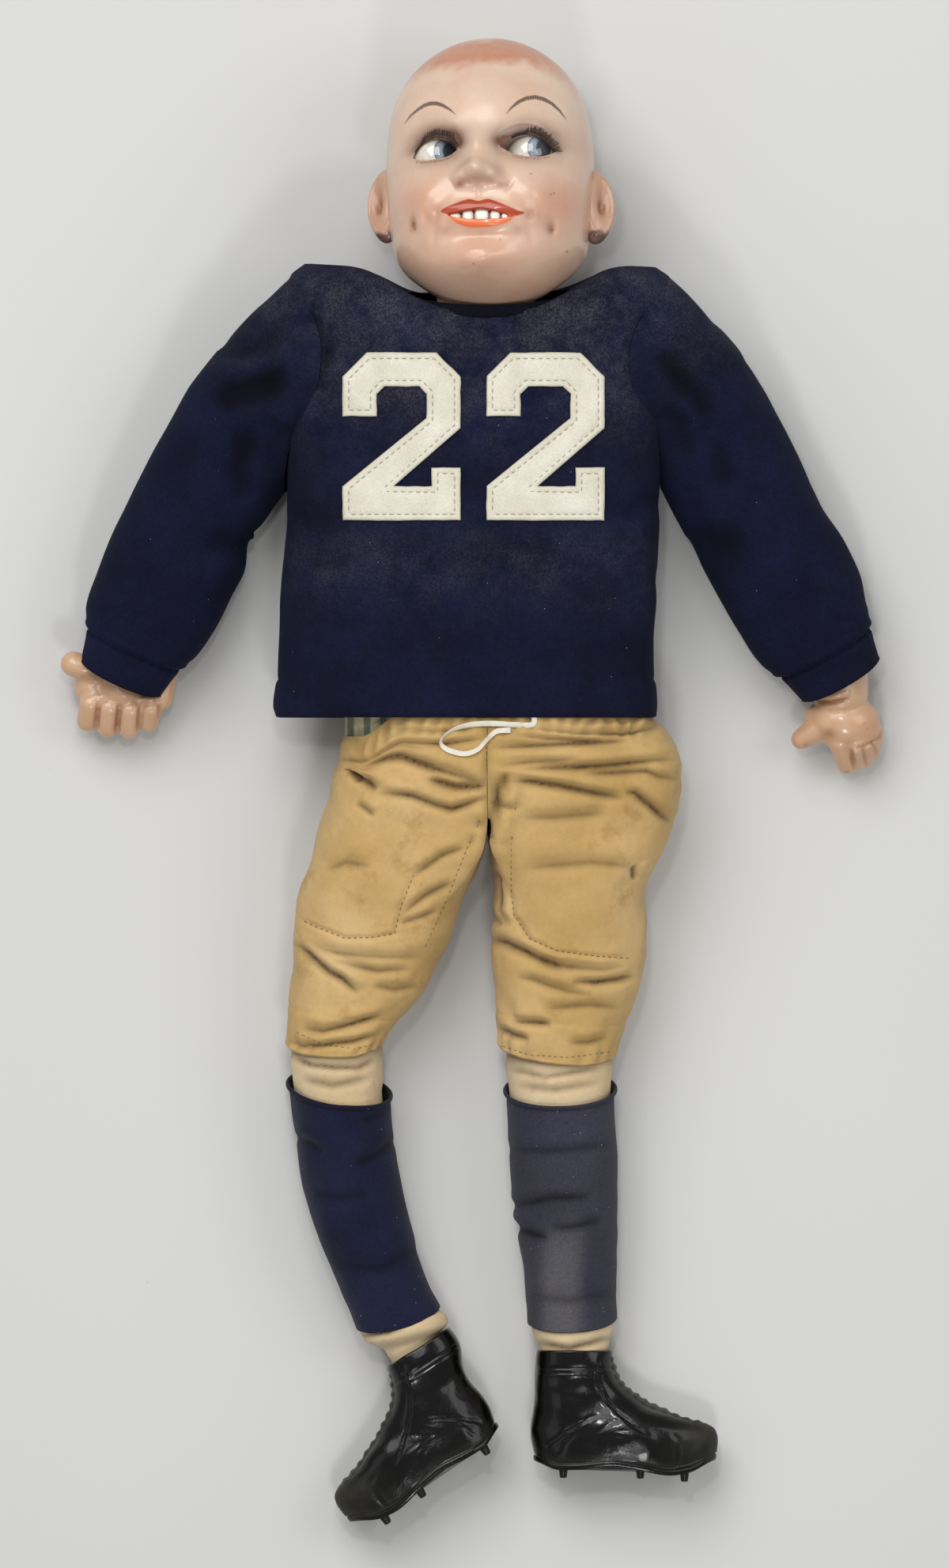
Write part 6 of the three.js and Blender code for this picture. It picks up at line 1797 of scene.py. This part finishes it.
def arc_outline(corners, upper, lower):
    """An almond: two smooth arcs that meet in sharp corners."""
    out = []
    for side in (upper, lower[::-1]):
        start, end = (corners[0], corners[1]) if side is upper else (corners[1], corners[0])
        line = np.array([start] + list(side) + [end], float)
        last = len(line) - 1
        for t in np.linspace(0, 1, 24)[:-1]:
            i = min(int(t * last), last - 1)
            near = [line[max(min(i + k, last), 0)] for k in (-1, 0, 1, 2)]
            out.append(between(near, t * last - i))
    return out


EYES = {
    "right": arc_outline([(-36.9, 0.4), (-11.6, 1.0)], [(-31.2, 6.9), (-23.7, 9.4), (-16.0, 6.9)],
                         [(-31.0, -1.4), (-23.8, -1.9), (-16.4, -1.4)]),
    "left": arc_outline([(13.2, 2.2), (39.8, 1.2)], [(19.2, 7.5), (26.2, 9.6), (33.9, 7.4)],
                        [(19.0, -0.9), (26.7, -1.6), (34.0, -1.2)]),
}
UPPER_LIP = rounded([(-20.0, -33.0), (-12.6, -29.9), (-4.8, -27.6), (0.7, -28.8), (6.0, -27.8), (13.4, -30.7),
                     (20.0, -33.6), (25.0, -35.2), (21.4, -37.0), (17.0, -38.2), (11.0, -38.5), (2.5, -38.8),
                     (-5.3, -38.4), (-12.0, -37.1), (-16.6, -35.4)])
LOWER_LIP = rounded([(-16.7, -35.7), (-12.0, -36.9), (-5.3, -38.3), (2.5, -38.7), (11.0, -38.4),
                     (17.0, -38.0), (20.4, -37.3), (15.6, -40.9), (9.4, -42.6), (2.5, -43.2), (-5.3, -42.6),
                     (-11.4, -40.4)])
MOUTH = rounded([(-16.2, -35.5), (-12.0, -34.7), (-6.0, -33.8), (1.6, -33.2), (8.0, -34.1), (12.5, -35.4),
                 (16.2, -36.8), (15.2, -38.0), (10.6, -38.4), (2.5, -38.7), (-5.3, -38.3), (-11.6, -36.9)])
BROWS = ( [(-41.8, 21.2), (-38.6, 24.6), (-34.1, 27.3), (-30.3, 28.9), (-26.7, 29.5),
           (-22.8, 28.9), (-19.3, 27.3), (-15.4, 24.6), (-12.0, 21.3)],
         [(15.6, 20.7), (18.4, 24.5), (21.8, 27.9), (25.8, 30.4), (30.2, 31.6), (34.7, 31.0), (38.9, 29.0),
          (42.8, 25.6), (45.9, 21.4)])


def face_relief(x, y):
    across = np.abs(x)
    rise = 13.0 * hill(across, y, (0, -12), 8.0, 7) + 4 * hill(across, y, (0, 2), 8, 10)
    rise += 4 * hill(across, y, (9.5, -15), 4, 4.5) + 5 * hill(across, y, (30, -27), 15, 14)
    rise += 3.5 * hill(across, y, (0, -35), 19, 7) + 6 * hill(across, y, (0, -60), 14, 8)
    rise -= 6.5 * hill(across, y, (25.5, 3.3), 13, 9) + 2.5 * hill(across, y, (0, -47), 16, 4)
    return rise


def face_detail(x, y):
    plane = np.stack([x, y], -1)
    rise = 1.0 * hill(x, y, (1.4, -13.4), 4.5, 4.0)
    rise += 0.9 * hill(x, y, (-9.2, -16.6), 3.0, 2.6) + 0.9 * hill(x, y, (13.4, -17.6), 3.0, 2.6)
    rise -= 2.6 * hill(x, y, (-4.6, -18.6), 2.0, 1.1) + 2.6 * hill(x, y, (6.9, -19.0), 2.0, 1.1)
    rise -= 1.2 * hill(x, y, (-13.2, -18.5), 1.6, 3.4, 0.5) + 1.2 * hill(x, y, (17.4, -19.6), 1.6, 3.4, -0.5)
    rise -= 1.5 * hill(x, y, (-21.5, -26.5), 4.6, 11.0,
                       -0.85) + 1.5 * hill(x, y, (27.0, -28.5), 4.6, 11.0, 0.85)
    rise -= 0.9 * hill(x, y, (0.8, -23.4), 1.8, 2.6)
    rise += 1.3 * hill(x, y, (-28, -23.5), 9.0, 8.0) + 1.3 * hill(x, y, (34, -21.5), 10.0, 8.0)
    rise -= 2.8 * hill(x, y, (-36.4, -37.6), 1.9, 4.6, 0.1) + 2.6 * hill(x, y, (38.0, -41.0), 2.6, 4.0, -0.1)
    rise += 1.3 * hill(x, y, (-32.5, -37.0), 2.4, 4.5) + 1.1 * hill(x, y, (42.4, -40.0), 2.4, 4.5)
    rise -= 1.2 * hill(x, y, (-22.6, -33.0), 2.4, 3.0) + 1.2 * hill(x, y, (27.8, -36.0), 2.4, 3.0)
    rise -= 1.0 * hill(x, y, (-24.5, -43.5), 2.0, 6.0, -0.3) + 1.0 * hill(x, y, (27.5, -46.0), 2.0, 6.0, 0.3)
    rise += 1.2 * hill(x, y, (-1.0, -65.0), 12, 6) - 1.0 * hill(x, y, (-1.2, -58.6), 4.5, 2.2)
    lower_lip = [(-17, -36.3), (-11, -39.3), (-5, -41.2), (2.5, -41.8), (10, -41.6), (16, -39.7), (21, -37.1)]
    upper_lip = [(-20, -33), (-12.6, -31.3), (-5, -29.8), (0.7, -30.6), (6.4, -29.8), (13.6, -32.3),
                 (25, -35.2)]
    for line, height, width in ((lower_lip, 1.0, 2.0), (upper_lip, 0.85, 2.4)):
        gap, share = line_distance(plane, line)
        rise += height * bell(gap, width) * fade(share, 6)
    for outline in EYES.values():
        gap = inside(plane, outline)
        middle = np.mean(outline, 0)
        rise += 0.8 * bell(gap - 0.9, 0.9)
        rise -= 0.4 * bell(gap - 4.6, 1.5) * smooth(-1, 4, y - middle[1])
    return rise


def head_point(x_angle, y):
    """Points of the plain head with its face, in head-local millimetres."""
    share = y / HEAD_HEIGHT
    table = np.array([read_table(HEAD, s) for s in share[:, 0]])
    width, face, back = table[:, 0:1], table[:, 1:2], table[:, 2:3]
    around = np.sqrt(np.maximum(1 - share ** 2, 0.0))
    c, s = np.cos(x_angle), np.sin(x_angle)
    x = power(c, 2 / 2.12) * width * around
    z = power(s, 2 / 2.12) * np.where(s > 0, face, back) * around
    front = np.clip(s * 1.6, 0, 1)
    yy = np.broadcast_to(y, x.shape)
    z = z + (face_relief(x, yy) + face_detail(x, yy) * smooth(0.0, 0.35, s)) * front
    return np.stack([x, yy, z], -1)


FACE_COLUMNS = 500
levels = np.concatenate([HEAD_HEIGHT * np.sin(np.linspace(-math.pi / 2, -0.75, 46))[:-1],
                         np.linspace(-51.1, -45.2, 11), np.arange(-45, 34, 0.42), np.linspace(34.5, 51, 24),
                         HEAD_HEIGHT * np.sin(np.linspace(0.75, math.pi / 2, 46))[1:]])
levels[0], levels[-1] = -74.99, 74.99
angles = np.concatenate([np.linspace(0, math.pi, FACE_COLUMNS), np.linspace(math.pi, 2 * math.pi, 90)[1:-1]])
local = head_point(angles[None, :], levels[:, None])
front = np.broadcast_to(np.sin(angles)[None, :] > 0.1, local.shape[:2])
x, y = local[..., 0], local[..., 1]
face_x, face_z = local[:, :FACE_COLUMNS, 0].copy(), local[:, :FACE_COLUMNS, 2].copy()
eye_gap = {side: inside(local, outline) for side, outline in EYES.items()}
masks = {name: np.zeros(x.shape) for name in ("crown", "cheek", "shade", "dirt", "lips", "lower_lip",
                                              "hollow", "paint")}
for side, gap in eye_gap.items():
    into = smooth(0.28, -0.42, gap) * front
    local[..., 2] = local[..., 2] * (1 - into) + 30.0 * into
    middle = np.mean(EYES[side], 0)
    above = smooth(-3.0, 3.0, y - middle[1])
    ring = np.exp(-(np.maximum(gap, 0) / 6.3) ** 1.5)
    leaning = 0.75 + 0.25 * smooth(-12, 4, (x - middle[0]))
    masks["shade"] += ring * (0.30 + 0.80 * above) * leaning
    masks["shade"] += 0.35 * hill(x, y, (middle[0] + (4 if side == "left" else 1), middle[1] + 8.0), 17, 6.5)
    masks["shade"] += 0.5 * hill(x, y, (12 if side == "left" else -11.5, 5.0), 5, 7)
    masks["shade"] += 0.9 * bell(np.maximum(gap, 0), 0.8) * above
    # Painted shade with grime just under each eye.
    masks["dirt"] += 0.30 * hill(x, y, (middle[0], middle[1] - 6.5), 13, 3)
mouth_gap = inside(local, MOUTH)
into = smooth(0.25, -0.45, mouth_gap) * front
local[..., 2] = local[..., 2] * (1 - into) + np.minimum(local[..., 2], 56.0) * into
masks["hollow"] = smooth(0.1, -0.3, mouth_gap) * front
masks["lips"] = smooth(0.22, -0.22, inside(local, UPPER_LIP)) * front
masks["lower_lip"] = smooth(0.22, -0.22, inside(local, LOWER_LIP)) * front * (1 - masks["lips"])
for line in BROWS:
    gap, share = line_distance(local, line)
    half = 0.16 + 1.05 * fade(share, 2.0)
    masks["paint"] += smooth(0.22, -0.22,
                             np.abs(gap + 0.3) - half) * front * (0.85 + 0.15 * np.cos(share * 190))
masks["cheek"] = 0.8 * hill(x, y, (-37, -24), 14, 12) + 0.85 * hill(x, y, (44, -26), 15, 14)
masks["cheek"] += 0.45 * hill(x, y, (-24, -36), 9, 8) + 0.35 * hill(x, y, (30, -36), 9, 8)
masks["cheek"] += 0.7 * hill(x, y, (0, -58), 42, 16) + 0.25 * hill(x, y, (2, -30), 40, 14)
world = in_head(local)
band_gap, band_share = line_distance(world, plan((470, 120), (510, 94), (554, 78), (600, 69), (650, 66),
                                                 (690, 74), (722, 96), (742, 122)))
edge = band_gap + 2.2 * noise(local, 8, 71) + 1.2 * noise(local, 3.5, 72)
masks["crown"] = smooth(-9.5, -1.0, edge) * smooth(13, 2, edge) * fade(band_share, 3) * front
masks["crown"] += 0.25 * smooth(48, 70, y)
# Painted shade with grime, in one mask: under the nose and nostrils, in the dimples and the corners of the
# mouth, darker towards the bottom of the jaw, and at the inner corners of the eyes.
under_nose = 0.75 * hill(x, y, (1.5, -17.6), 8, 2.6) + 0.8 * hill(x, y, (-9.5, -19.5), 3.4, 1.8)
under_nose += 0.8 * hill(x, y, (13.6, -20.2), 3.4,
                         1.8) + 0.4 * hill(x, y, (11, -12), 4, 6) + 0.35 * hill(x, y, (-6, -13), 4, 4)
pits = 0.8 * hill(x, y, (-37, -37.5), 1.9, 4) + 0.7 * hill(x, y, (38.0, -41), 2.6, 3.4)
pits += 0.45 * hill(x, y, (-24, -34), 4, 4) + 0.45 * hill(x, y, (29, -36), 4, 4)
pits += 0.35 * hill(x, y, (-18, -43), 4, 3) + 0.35 * hill(x, y, (21, -44), 4,
                                                          3) + 0.3 * hill(x, y, (2, -46), 14, 2)
jaw = 0.18 * smooth(-62, -74, y) + 0.2 * hill(x, y, (-42, -62), 8, 7) + 0.25 * hill(x, y, (46, -60), 8, 7)
corners = 0.35 * hill(x, y, (-12.5, 1), 3, 5) + 0.30 * hill(x, y, (13, 1), 3, 5)
masks["dirt"] += (under_nose + 1.5 * pits + jaw + corners) * (0.75 + 0.35 * noise(local, 5, 73))
SPECKS = ((-36.6, -36.4, 0.5), (-35.8, -39.4, 0.45), (-38.2, -39.8, 0.4), (38.4, -41.8, 0.55),
          (40.2, -22.6, 0.5), (38.6, -23.6, 0.45), (28.6, -13.2, 0.5), (11.6, -49.4, 0.4),
          (-20.2, 3.8, 0.4), (44.6, -50.6, 0.5), (-2.8, -62.6, 0.4))
for spot_x, spot_y, size in SPECKS:
    masks["paint"] += hill(x, y, (spot_x, spot_y), size, size * 0.8) * front * 0.8
local += 0.12 * noise(local, 12, 74)[..., None] * outward(local)
head = grid_mesh("head_composition", in_head(local), flesh,
                 {**{k: np.clip(v, 0, 1) for k, v in masks.items()}, "rest": local}, caps=(True, True))
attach(head, "head")
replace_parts(head, "head_shell")
print("head:", len(head.data.vertices), "points")

# %% [markdown]
# The ears are modelled apart: an oval shell with a rolled rim and a hollow.
# Paint has chipped off the lobes, so brown composition shows there.

# %% Ears and neck
def ear(side):
    sign = -1 if side == "right" else 1
    lift = np.linspace(-math.pi / 2 + 0.02, math.pi / 2 - 0.02, 120)[:, None]
    angle = turns(160)[None, :]
    cosine = np.cos(lift)
    a, b, c = np.cos(angle) * cosine, np.sin(lift) * np.ones_like(angle), np.sin(angle) * cosine
    shape = np.stack([a * 9.5, b * 20.5, c * 7.0], -1)
    shape[..., 0] += sign * (1.2 * np.cos(b * 2.2) - 1.0)
    out = np.clip(c, 0, 1) ** 0.5
    edge = np.sqrt((shape[..., 0] / 9.5) ** 2 + (shape[..., 1] / 20.5) ** 2)
    hollow = 3.6 * hill(shape[..., 0] * sign, shape[..., 1], (1.6, 3.5), 4.3, 10.5) * out
    pit = 2.2 * hill(shape[..., 0] * sign, shape[..., 1], (0.8, -1.5), 1.9, 3.4) * out
    rim = 1.0 * bell(edge - 0.80, 0.10) * out
    shape[..., 2] += rim - hollow - pit
    turn = turn_matrix("Y", sign * 24)
    local = shape @ turn.T + np.array((sign * (56 + 9.5 * 0.25), -20.0 if side == "left" else -15.2, -2.0))
    lobe = smooth(-14.2, -17.2, shape[..., 1] + 1.2 * noise(shape, 3, 81) - (1.5 if side == "left" else 0.0))
    # The whole ear is darkened, and painted shade deepens it in the hollow and the pit.
    dirt = 0.42 + 0.36 * hollow / 3.6 + 0.8 * pit / 2.2
    made = grid_mesh("ear_" + side + "_composition", in_head(local), flesh,
                     {"rest": local, "dirt": np.clip(dirt, 0, 1), "paint": np.clip(lobe, 0, 1) * 0.9,
                      "cheek": 0.35 * np.ones(local.shape[:2])}, caps=(True, True))
    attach(made, "head")
    return made


for side in ("right", "left"):
    print(ear(side).name)
rings = []
for y, radius in ((240, 20), (240, 30), (240.6, 31), (246.4, 31), (247, 30), (247, 27.5), (248, 26.5),
                  (270, 26.5), (283, 25)):
    angle = turns(96)
    rings.append(np.stack([NECK[0] + radius * np.cos(angle), np.full(len(angle), float(y)),
                           NECK[1] + radius * np.sin(angle)], 1))
grid = np.array(rings)
# Painted shade: the whole neck is darkened, as under the chin.
neck = grid_mesh("neck_composition", grid, flesh, {"dirt": np.full(grid.shape[:2], 0.6)})
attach(neck, "head")

# %% [markdown]
# ## Glass eyes, lashes and teeth
# The eyes are blown glass: ivory white glass with a blue iris laid in, and a
# clear bulge over it. Each looks to the doll's left. The lashes are short
# stiff hairs glued to the upper lid. The teeth are small enamelled tiles.

# %% Eyes
eye_glass, tree, shader = new_material("blown_glass_eye", Roughness=0.12, Coat_Weight=1.0,
                                       Coat_Roughness=0.03)
rest, cloth = [add(tree, "Attribute", {".attribute_name": name}, out="Vector") for name in PLACES]
veins = add(tree, "TexNoise", {"Scale": 0.5, "Detail": 3.0, "Vector": rest})
white = add(tree, "ValToRGB", {".stops": [(0.3, linear("#cfcabb")), (0.7, linear("#dedacd"))], 0: veins})
polar = add(tree, "TexNoise", {"Scale": 1.3, "Detail": 4.0, "Roughness": 0.7, "Vector": cloth})
blue = add(tree, "ValToRGB", {".stops": [(0.3, linear("#3b4750")), (0.5, linear("#4c5963")),
                                         (0.7, linear("#66727b"))], 0: polar})
# Painted light: "pale" lightens one side of the iris, as if lit.
blue = add(tree, "Mix", {".data_type": "RGBA", 0: add(tree, "Attribute", {".attribute_name": "pale"},
                                                      out="Fac"), 6: blue, 7: linear("#919ca6")}, out=2)
tone = add(tree, "Mix", {".data_type": "RGBA", 0: add(tree, "Attribute", {".attribute_name": "iris"},
                                                      out="Fac"), 6: white, 7: blue}, out=2)
tone = add(tree, "Mix", {".data_type": "RGBA",
                         0: add(tree, "Math", {".operation": "MULTIPLY",
                                               0: add(tree, "Attribute", {".attribute_name": "pupil"},
                                                      out="Fac"), 1: 0.75}), 6: tone, 7: linear("#141c26")},
           out=2)
tone = add(tree, "Mix", {".data_type": "RGBA", 0: add(tree, "Attribute", {".attribute_name": "rim"},
                                                      out="Fac"), 6: tone, 7: linear("#2b3746")}, out=2)
tree.links.new(tone, shader.inputs["Base Color"])
tree.links.new(add(tree, "Bump", {"Strength": 0.05, "Distance": 0.0004, "Height": veins}),
               shader.inputs["Normal"])
EYE_RADIUS, EYE_LEVEL, EYE_DEPTH = 13.5, 3.3, 33.0


def glass_eye(side):
    sign = -1 if side == "right" else 1
    lean = np.concatenate([np.linspace(0.004, 0.62, 90), np.linspace(0.64, math.pi - 0.02, 60)])[:, None]
    angle = turns(150)[None, :]
    radius = EYE_RADIUS + 0.55 * (1 - smooth(0.30, 0.60, lean))
    ax = radius * np.sin(lean) * np.cos(angle)
    ay = radius * np.sin(lean) * np.sin(angle)
    az = radius * np.cos(lean) * np.ones_like(angle)
    shape = np.stack([ax, ay, az], -1)
    from_axis = np.sqrt(ax ** 2 + ay ** 2)
    facing = az > 0
    iris = smooth(7.15, 6.75, from_axis) * facing
    pupil = smooth(4.7, 4.1, np.sqrt((ax - 1.5) ** 2 + ay ** 2)) * facing
    rim = bell(from_axis - 6.9, 0.32) * facing * 0.7
    # Painted light and shade: one side of the iris is paler, as if lit, and the other stays darker, as if
    # shaded by the lashes.
    pale = smooth(-0.8, -3.2, ax) * iris * 0.9
    spokes = np.stack([np.cos(angle) * 9 * np.ones_like(lean), np.sin(angle) * 9 * np.ones_like(lean),
                       from_axis * 0.6], -1)
    turned = shape @ turn_matrix("Y", 33).T + np.array((sign * 25.5, EYE_LEVEL, EYE_DEPTH))
    made = grid_mesh("eye_" + side + "_glass", in_head(turned), eye_glass,
                     {"rest": shape, "cloth": spokes, "iris": iris, "pupil": pupil, "rim": rim, "pale": pale},
                     caps=(True, True))
    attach(made, "eye_" + side)
    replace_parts(made, "eyeball_" + side)
    return made


for side in ("right", "left"):
    print(glass_eye(side).name)

# %% Lashes
lash_hair, tree, shader = new_material("dark_brown_lash_hair", Roughness=0.5)
strand = add(tree,
             "TexNoise", {"Scale": 1.5, "Detail": 2.0,
                          "Vector": add(tree, "Attribute", {".attribute_name": "rest"}, out="Vector")})
tree.links.new(add(tree, "ValToRGB", {".stops": [(0.35, linear("#1f150e")), (0.65, linear("#3b2b1e"))],
                                      0: strand}), shader.inputs["Base Color"])
painted_line, tree, shader = new_material("brown_painted_line", Roughness=0.45)
strand = add(tree,
             "TexNoise", {"Scale": 1.1, "Detail": 3.0,
                          "Vector": add(tree, "Attribute", {".attribute_name": "rest"}, out="Vector")})
tree.links.new(add(tree, "ValToRGB", {".stops": [(0.3, linear("#6a5141")), (0.7, linear("#8d705a"))],
                                      0: strand}), shader.inputs["Base Color"])


def face_depth(px, py):
    """Depth of the face at places, read between the rows of the head grid."""
    out = []
    for at_x, at_y in zip(px, py):
        i = int(np.clip(np.searchsorted(levels, at_y) - 1, 0, len(levels) - 2))
        pair = [np.interp(at_x, face_x[k][::-1], face_z[k][::-1]) for k in (i, i + 1)]
        t = (at_y - levels[i]) / (levels[i + 1] - levels[i])
        out.append(pair[0] * (1 - t) + pair[1] * t)
    return np.array(out)


def lashes(side):
    outline = np.array(EYES[side])
    upper = outline[:24]
    spots = np.random.default_rng(7 if side == "right" else 8)
    shares = np.linspace(0.10, 0.97, 46) if side == "right" else np.linspace(0.22, 1.0, 48)
    base_x = np.interp(shares, np.linspace(0, 1, 24), upper[:, 0])
    base_y = np.interp(shares, np.linspace(0, 1, 24), upper[:, 1])
    depth = face_depth(base_x, base_y)
    paths = []
    for share, bx, by, bz in zip(shares, base_x, base_y, depth):
        if side == "right":
            long = 5.2 * float(smooth(0.12, 0.42, share) * (1 - 0.55 * smooth(0.75, 0.97, share)))
            aim = 105 - 62 * (share - 0.3) + spots.normal(0, 5)
        else:
            long = 5.6 * float(smooth(0.35, 0.62, share))
            aim = 96 - 96 * max(share - 0.4, 0) / 0.6 + spots.normal(0, 5)
        long = max(long * spots.uniform(0.75, 1.05), 0.9)
        way = np.array((math.cos(math.radians(aim)), math.sin(math.radians(aim))))
        t = np.linspace(0, 1, 7)
        rise = 0.2 + 2.0 * np.sin(t * math.pi * 0.62)
        path = np.stack([bx + way[0] * long * t, by + 0.3 + way[1] * long * t + 0.5 * t ** 2,
                         bz + rise - 1.2 * t], 1)
        paths.append(in_head(path))
    made = strands("lashes_" + side + "_hair", paths, 0.27, lash_hair, taper=(1.0, 0.15))
    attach(made, "head")
    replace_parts(made, "lashes_" + side)
    lower = outline[24:][::-1]
    shares = np.linspace(0.08, 0.92, 26)
    base_x = np.interp(shares, np.linspace(0, 1, len(lower)), lower[:, 0])
    base_y = np.interp(shares, np.linspace(0, 1, len(lower)), lower[:, 1])
    tip_x = base_x - 0.55 + spots.normal(0, 0.25, 26)
    tip_y = base_y - 1.1 - 1.6 * spots.uniform(0.6, 1.0, 26)
    first = np.stack([base_x, base_y - 1.1, face_depth(base_x, base_y - 1.1) + 0.03], 1)
    last = np.stack([tip_x, tip_y, face_depth(tip_x, tip_y) + 0.03], 1)
    ticks = strands("lower_lashes_" + side + "_paint",
                    [in_head(np.linspace(a, b, 4)) for a, b in zip(first, last)], 0.14, painted_line,
                    taper=(0.4, 0.3))
    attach(ticks, "head")
    return made


for side in ("right", "left"):
    print(lashes(side).name)

# %% Teeth
enamel, tree, shader = new_material("ivory_enamel_teeth", Roughness=0.18, Coat_Weight=0.6)
cloudy = add(tree, "TexNoise",
             {"Scale": 0.35, "Detail": 3.0,
              "Vector": add(tree, "Attribute", {".attribute_name": "rest"}, out="Vector")})
tree.links.new(add(tree, "ValToRGB", {".stops": [(0.3, linear("#ddd2bb")), (0.7, linear("#efe9dc"))],
                                      0: cloudy}), shader.inputs["Base Color"])
tree.links.new(add(tree, "Bump", {"Strength": 0.1, "Distance": 0.0005, "Height": cloudy}),
               shader.inputs["Normal"])
tiles = []
TEETH = ((-15.7, -9.5, -38.4, -34.0, 58.2), (-8.7, -2.6, -39.6, -32.6, 58.6), (-1.9, 5.7, -39.9, -31.9, 58.8),
         (6.5, 11.9, -39.7, -33.4, 58.6), (12.7, 16.6, -39.3, -34.8, 58.2))
for number, (x0, x1, low, high, front_z) in enumerate(TEETH):
    angle = turns(64)
    rings = []
    for r, z in ((0.02, 1.0), (0.35, 0.98), (0.6, 0.93), (0.78, 0.84), (0.9, 0.66), (0.97, 0.36), (1.0, 0.0),
                 (1.0, -1.2)):
        px = (x0 + x1) / 2 + power(np.cos(angle), 2 / 2.8) * (x1 - x0) / 2 * r
        py = (low + high) / 2 + power(np.sin(angle), 2 / 3.0) * (high - low) / 2 * r
        rings.append(np.stack([px, py, np.full(len(angle), front_z - 2.4 + 2.4 * z)], 1))
    local = np.array(rings)
    tiles.append(grid_mesh("tooth_%d" % number, in_head(local), enamel, {"rest": local}, caps=(True, False)))
teeth = joined("teeth_enamel", tiles)
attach(teeth, "head")
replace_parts(teeth, "teeth")
print("teeth:", len(teeth.data.vertices), "points")

# %% [markdown]
# ## The drawstring
# A narrow white cotton tape gathers the waist. One loop of its bow and a loose
# end lie on the pants; the rest runs in the casing. It is a flat cord: a thin
# oval section swept along the path, turning on edge where the loop bends.

# %% Drawstring
TAPE = [(25.1, 40.5), (31.5, 38.6), (31.5, 33.4), (21.5, 33.2), (9.7, 33.9), (-0.6, 33.4), (-9.5, 31.4),
        (-16.1, 27.4), (-18.2, 23.6), (-14.8, 19.8), (-5.8, 17.5), (1.6, 19.8), (6.7, 25.2), (12.0, 29.6),
        (19.5, 30.2)]


def smooth_path(points, steps):
    line = np.array(points, float)
    last = len(line) - 1
    out = []
    for i in range(last):
        near = [line[max(min(i + k, last), 0)] for k in (-1, 0, 1, 2)]
        out.extend(between(near, f) for f in np.arange(steps) / steps)
    return np.array(out + [line[-1]])


flat = smooth_path(TAPE, 9)
height = np.nan_to_num(on_canvas(flat[:, 0], flat[:, 1]), nan=88.0) + 0.7
height = np.convolve(np.pad(height, 6, mode="edge"), np.ones(13) / 13, mode="valid")
run = np.linspace(0, 1, len(flat))
height += 1.1 * bell(run - 0.93, 0.06) + 1.0 * bell(run - 0.30, 0.06) + 0.8
centre = np.stack([flat[:, 0], flat[:, 1], height], 1)
way = np.gradient(centre, axis=0)
way /= np.linalg.norm(way, axis=1, keepdims=True)
tilt = 0.35 + 0.75 * bell(run - 0.55, 0.10) - 0.5 * bell(run - 0.1, 0.08) + 0.3 * np.sin(run * 17)
level = np.cross(way, (0, 0, 1.0))
level /= np.linalg.norm(level, axis=1, keepdims=True)
upright = np.cross(level, way)
broad = level * np.cos(tilt)[:, None] + upright * np.sin(tilt)[:, None]
thin = np.cross(way, broad)
turn = turns(20)
grid = (centre[:, None] + np.cos(turn)[None, :, None] * broad[:, None] * 1.5
        + np.sin(turn)[None, :, None] * thin[:, None] * 0.32)
drawstring = grid_mesh("waist_drawstring_tape", grid, tape, {"deep": np.zeros(grid.shape[:2])},
                       caps=(True, True))
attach(drawstring, "trunk")
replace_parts(drawstring, "waist_drawstring")

# %% [markdown]
# ## Parts that are hardly seen
# Behind the face are the brace, the bar and the lead weight of the eyes, and
# strings tie the cloth at the neck and wrists. Their CAD shapes stay as they
# are; only their finish is added.

# %% Metal, lead and string
steel, tree, shader = new_material("tinned_steel_dull", Metallic=1.0, Roughness=0.4)
mottle = add(tree, "TexNoise", {"Scale": 120.0, "Detail": 4.0, "Vector": add(tree, "TexCoord", out="Object")})
tree.links.new(add(tree, "ValToRGB", {".stops": [(0.3, linear("#8f8f8a")), (0.7, linear("#b3b2ac"))],
                                      0: mottle}), shader.inputs["Base Color"])
tree.links.new(add(tree, "ValToRGB", {".stops": [(0.3, (0.3,)), (0.7, (0.55,))], 0: mottle}),
               shader.inputs["Roughness"])
lead, tree, shader = new_material("cast_lead_oxidised", Metallic=1.0, Roughness=0.6)
mottle = add(tree, "TexNoise", {"Scale": 300.0, "Detail": 5.0, "Vector": add(tree, "TexCoord", out="Object")})
tree.links.new(add(tree, "ValToRGB", {".stops": [(0.3, linear("#55565a")), (0.7, linear("#7c7d80"))],
                                      0: mottle}), shader.inputs["Base Color"])
tree.links.new(add(tree, "Bump", {"Strength": 0.4, "Distance": 0.0005, "Height": mottle}),
               shader.inputs["Normal"])
string, tree, shader = new_material("twisted_hemp_string", Roughness=0.9)
where = add(tree, "TexCoord", out="Object")
ply = add(tree, "TexWave", {".bands_direction": "DIAGONAL", "Scale": 210.0, "Distortion": 1.5,
                            "Vector": where}, out="Fac")
tree.links.new(add(tree, "ValToRGB", {".stops": [(0.2, linear("#7d6c4c")), (0.8, linear("#b7a47e"))],
                                      0: ply}), shader.inputs["Base Color"])
tree.links.new(add(tree, "Bump", {"Strength": 0.6, "Distance": 0.0005, "Height": ply}),
               shader.inputs["Normal"])
FINISH = {"eye_frame": steel, "eye_tie_bar": steel, "eye_weight": lead, "neck_tie": string,
          "wrist_tie_right": string, "wrist_tie_left": string}
for name, finish in FINISH.items():
    made = frame["nodes"][name]
    for piece in made if isinstance(made, (list, tuple)) else [made]:
        for place in piece.material_slots:
            place.material = finish
print("finished:", ", ".join(FINISH))
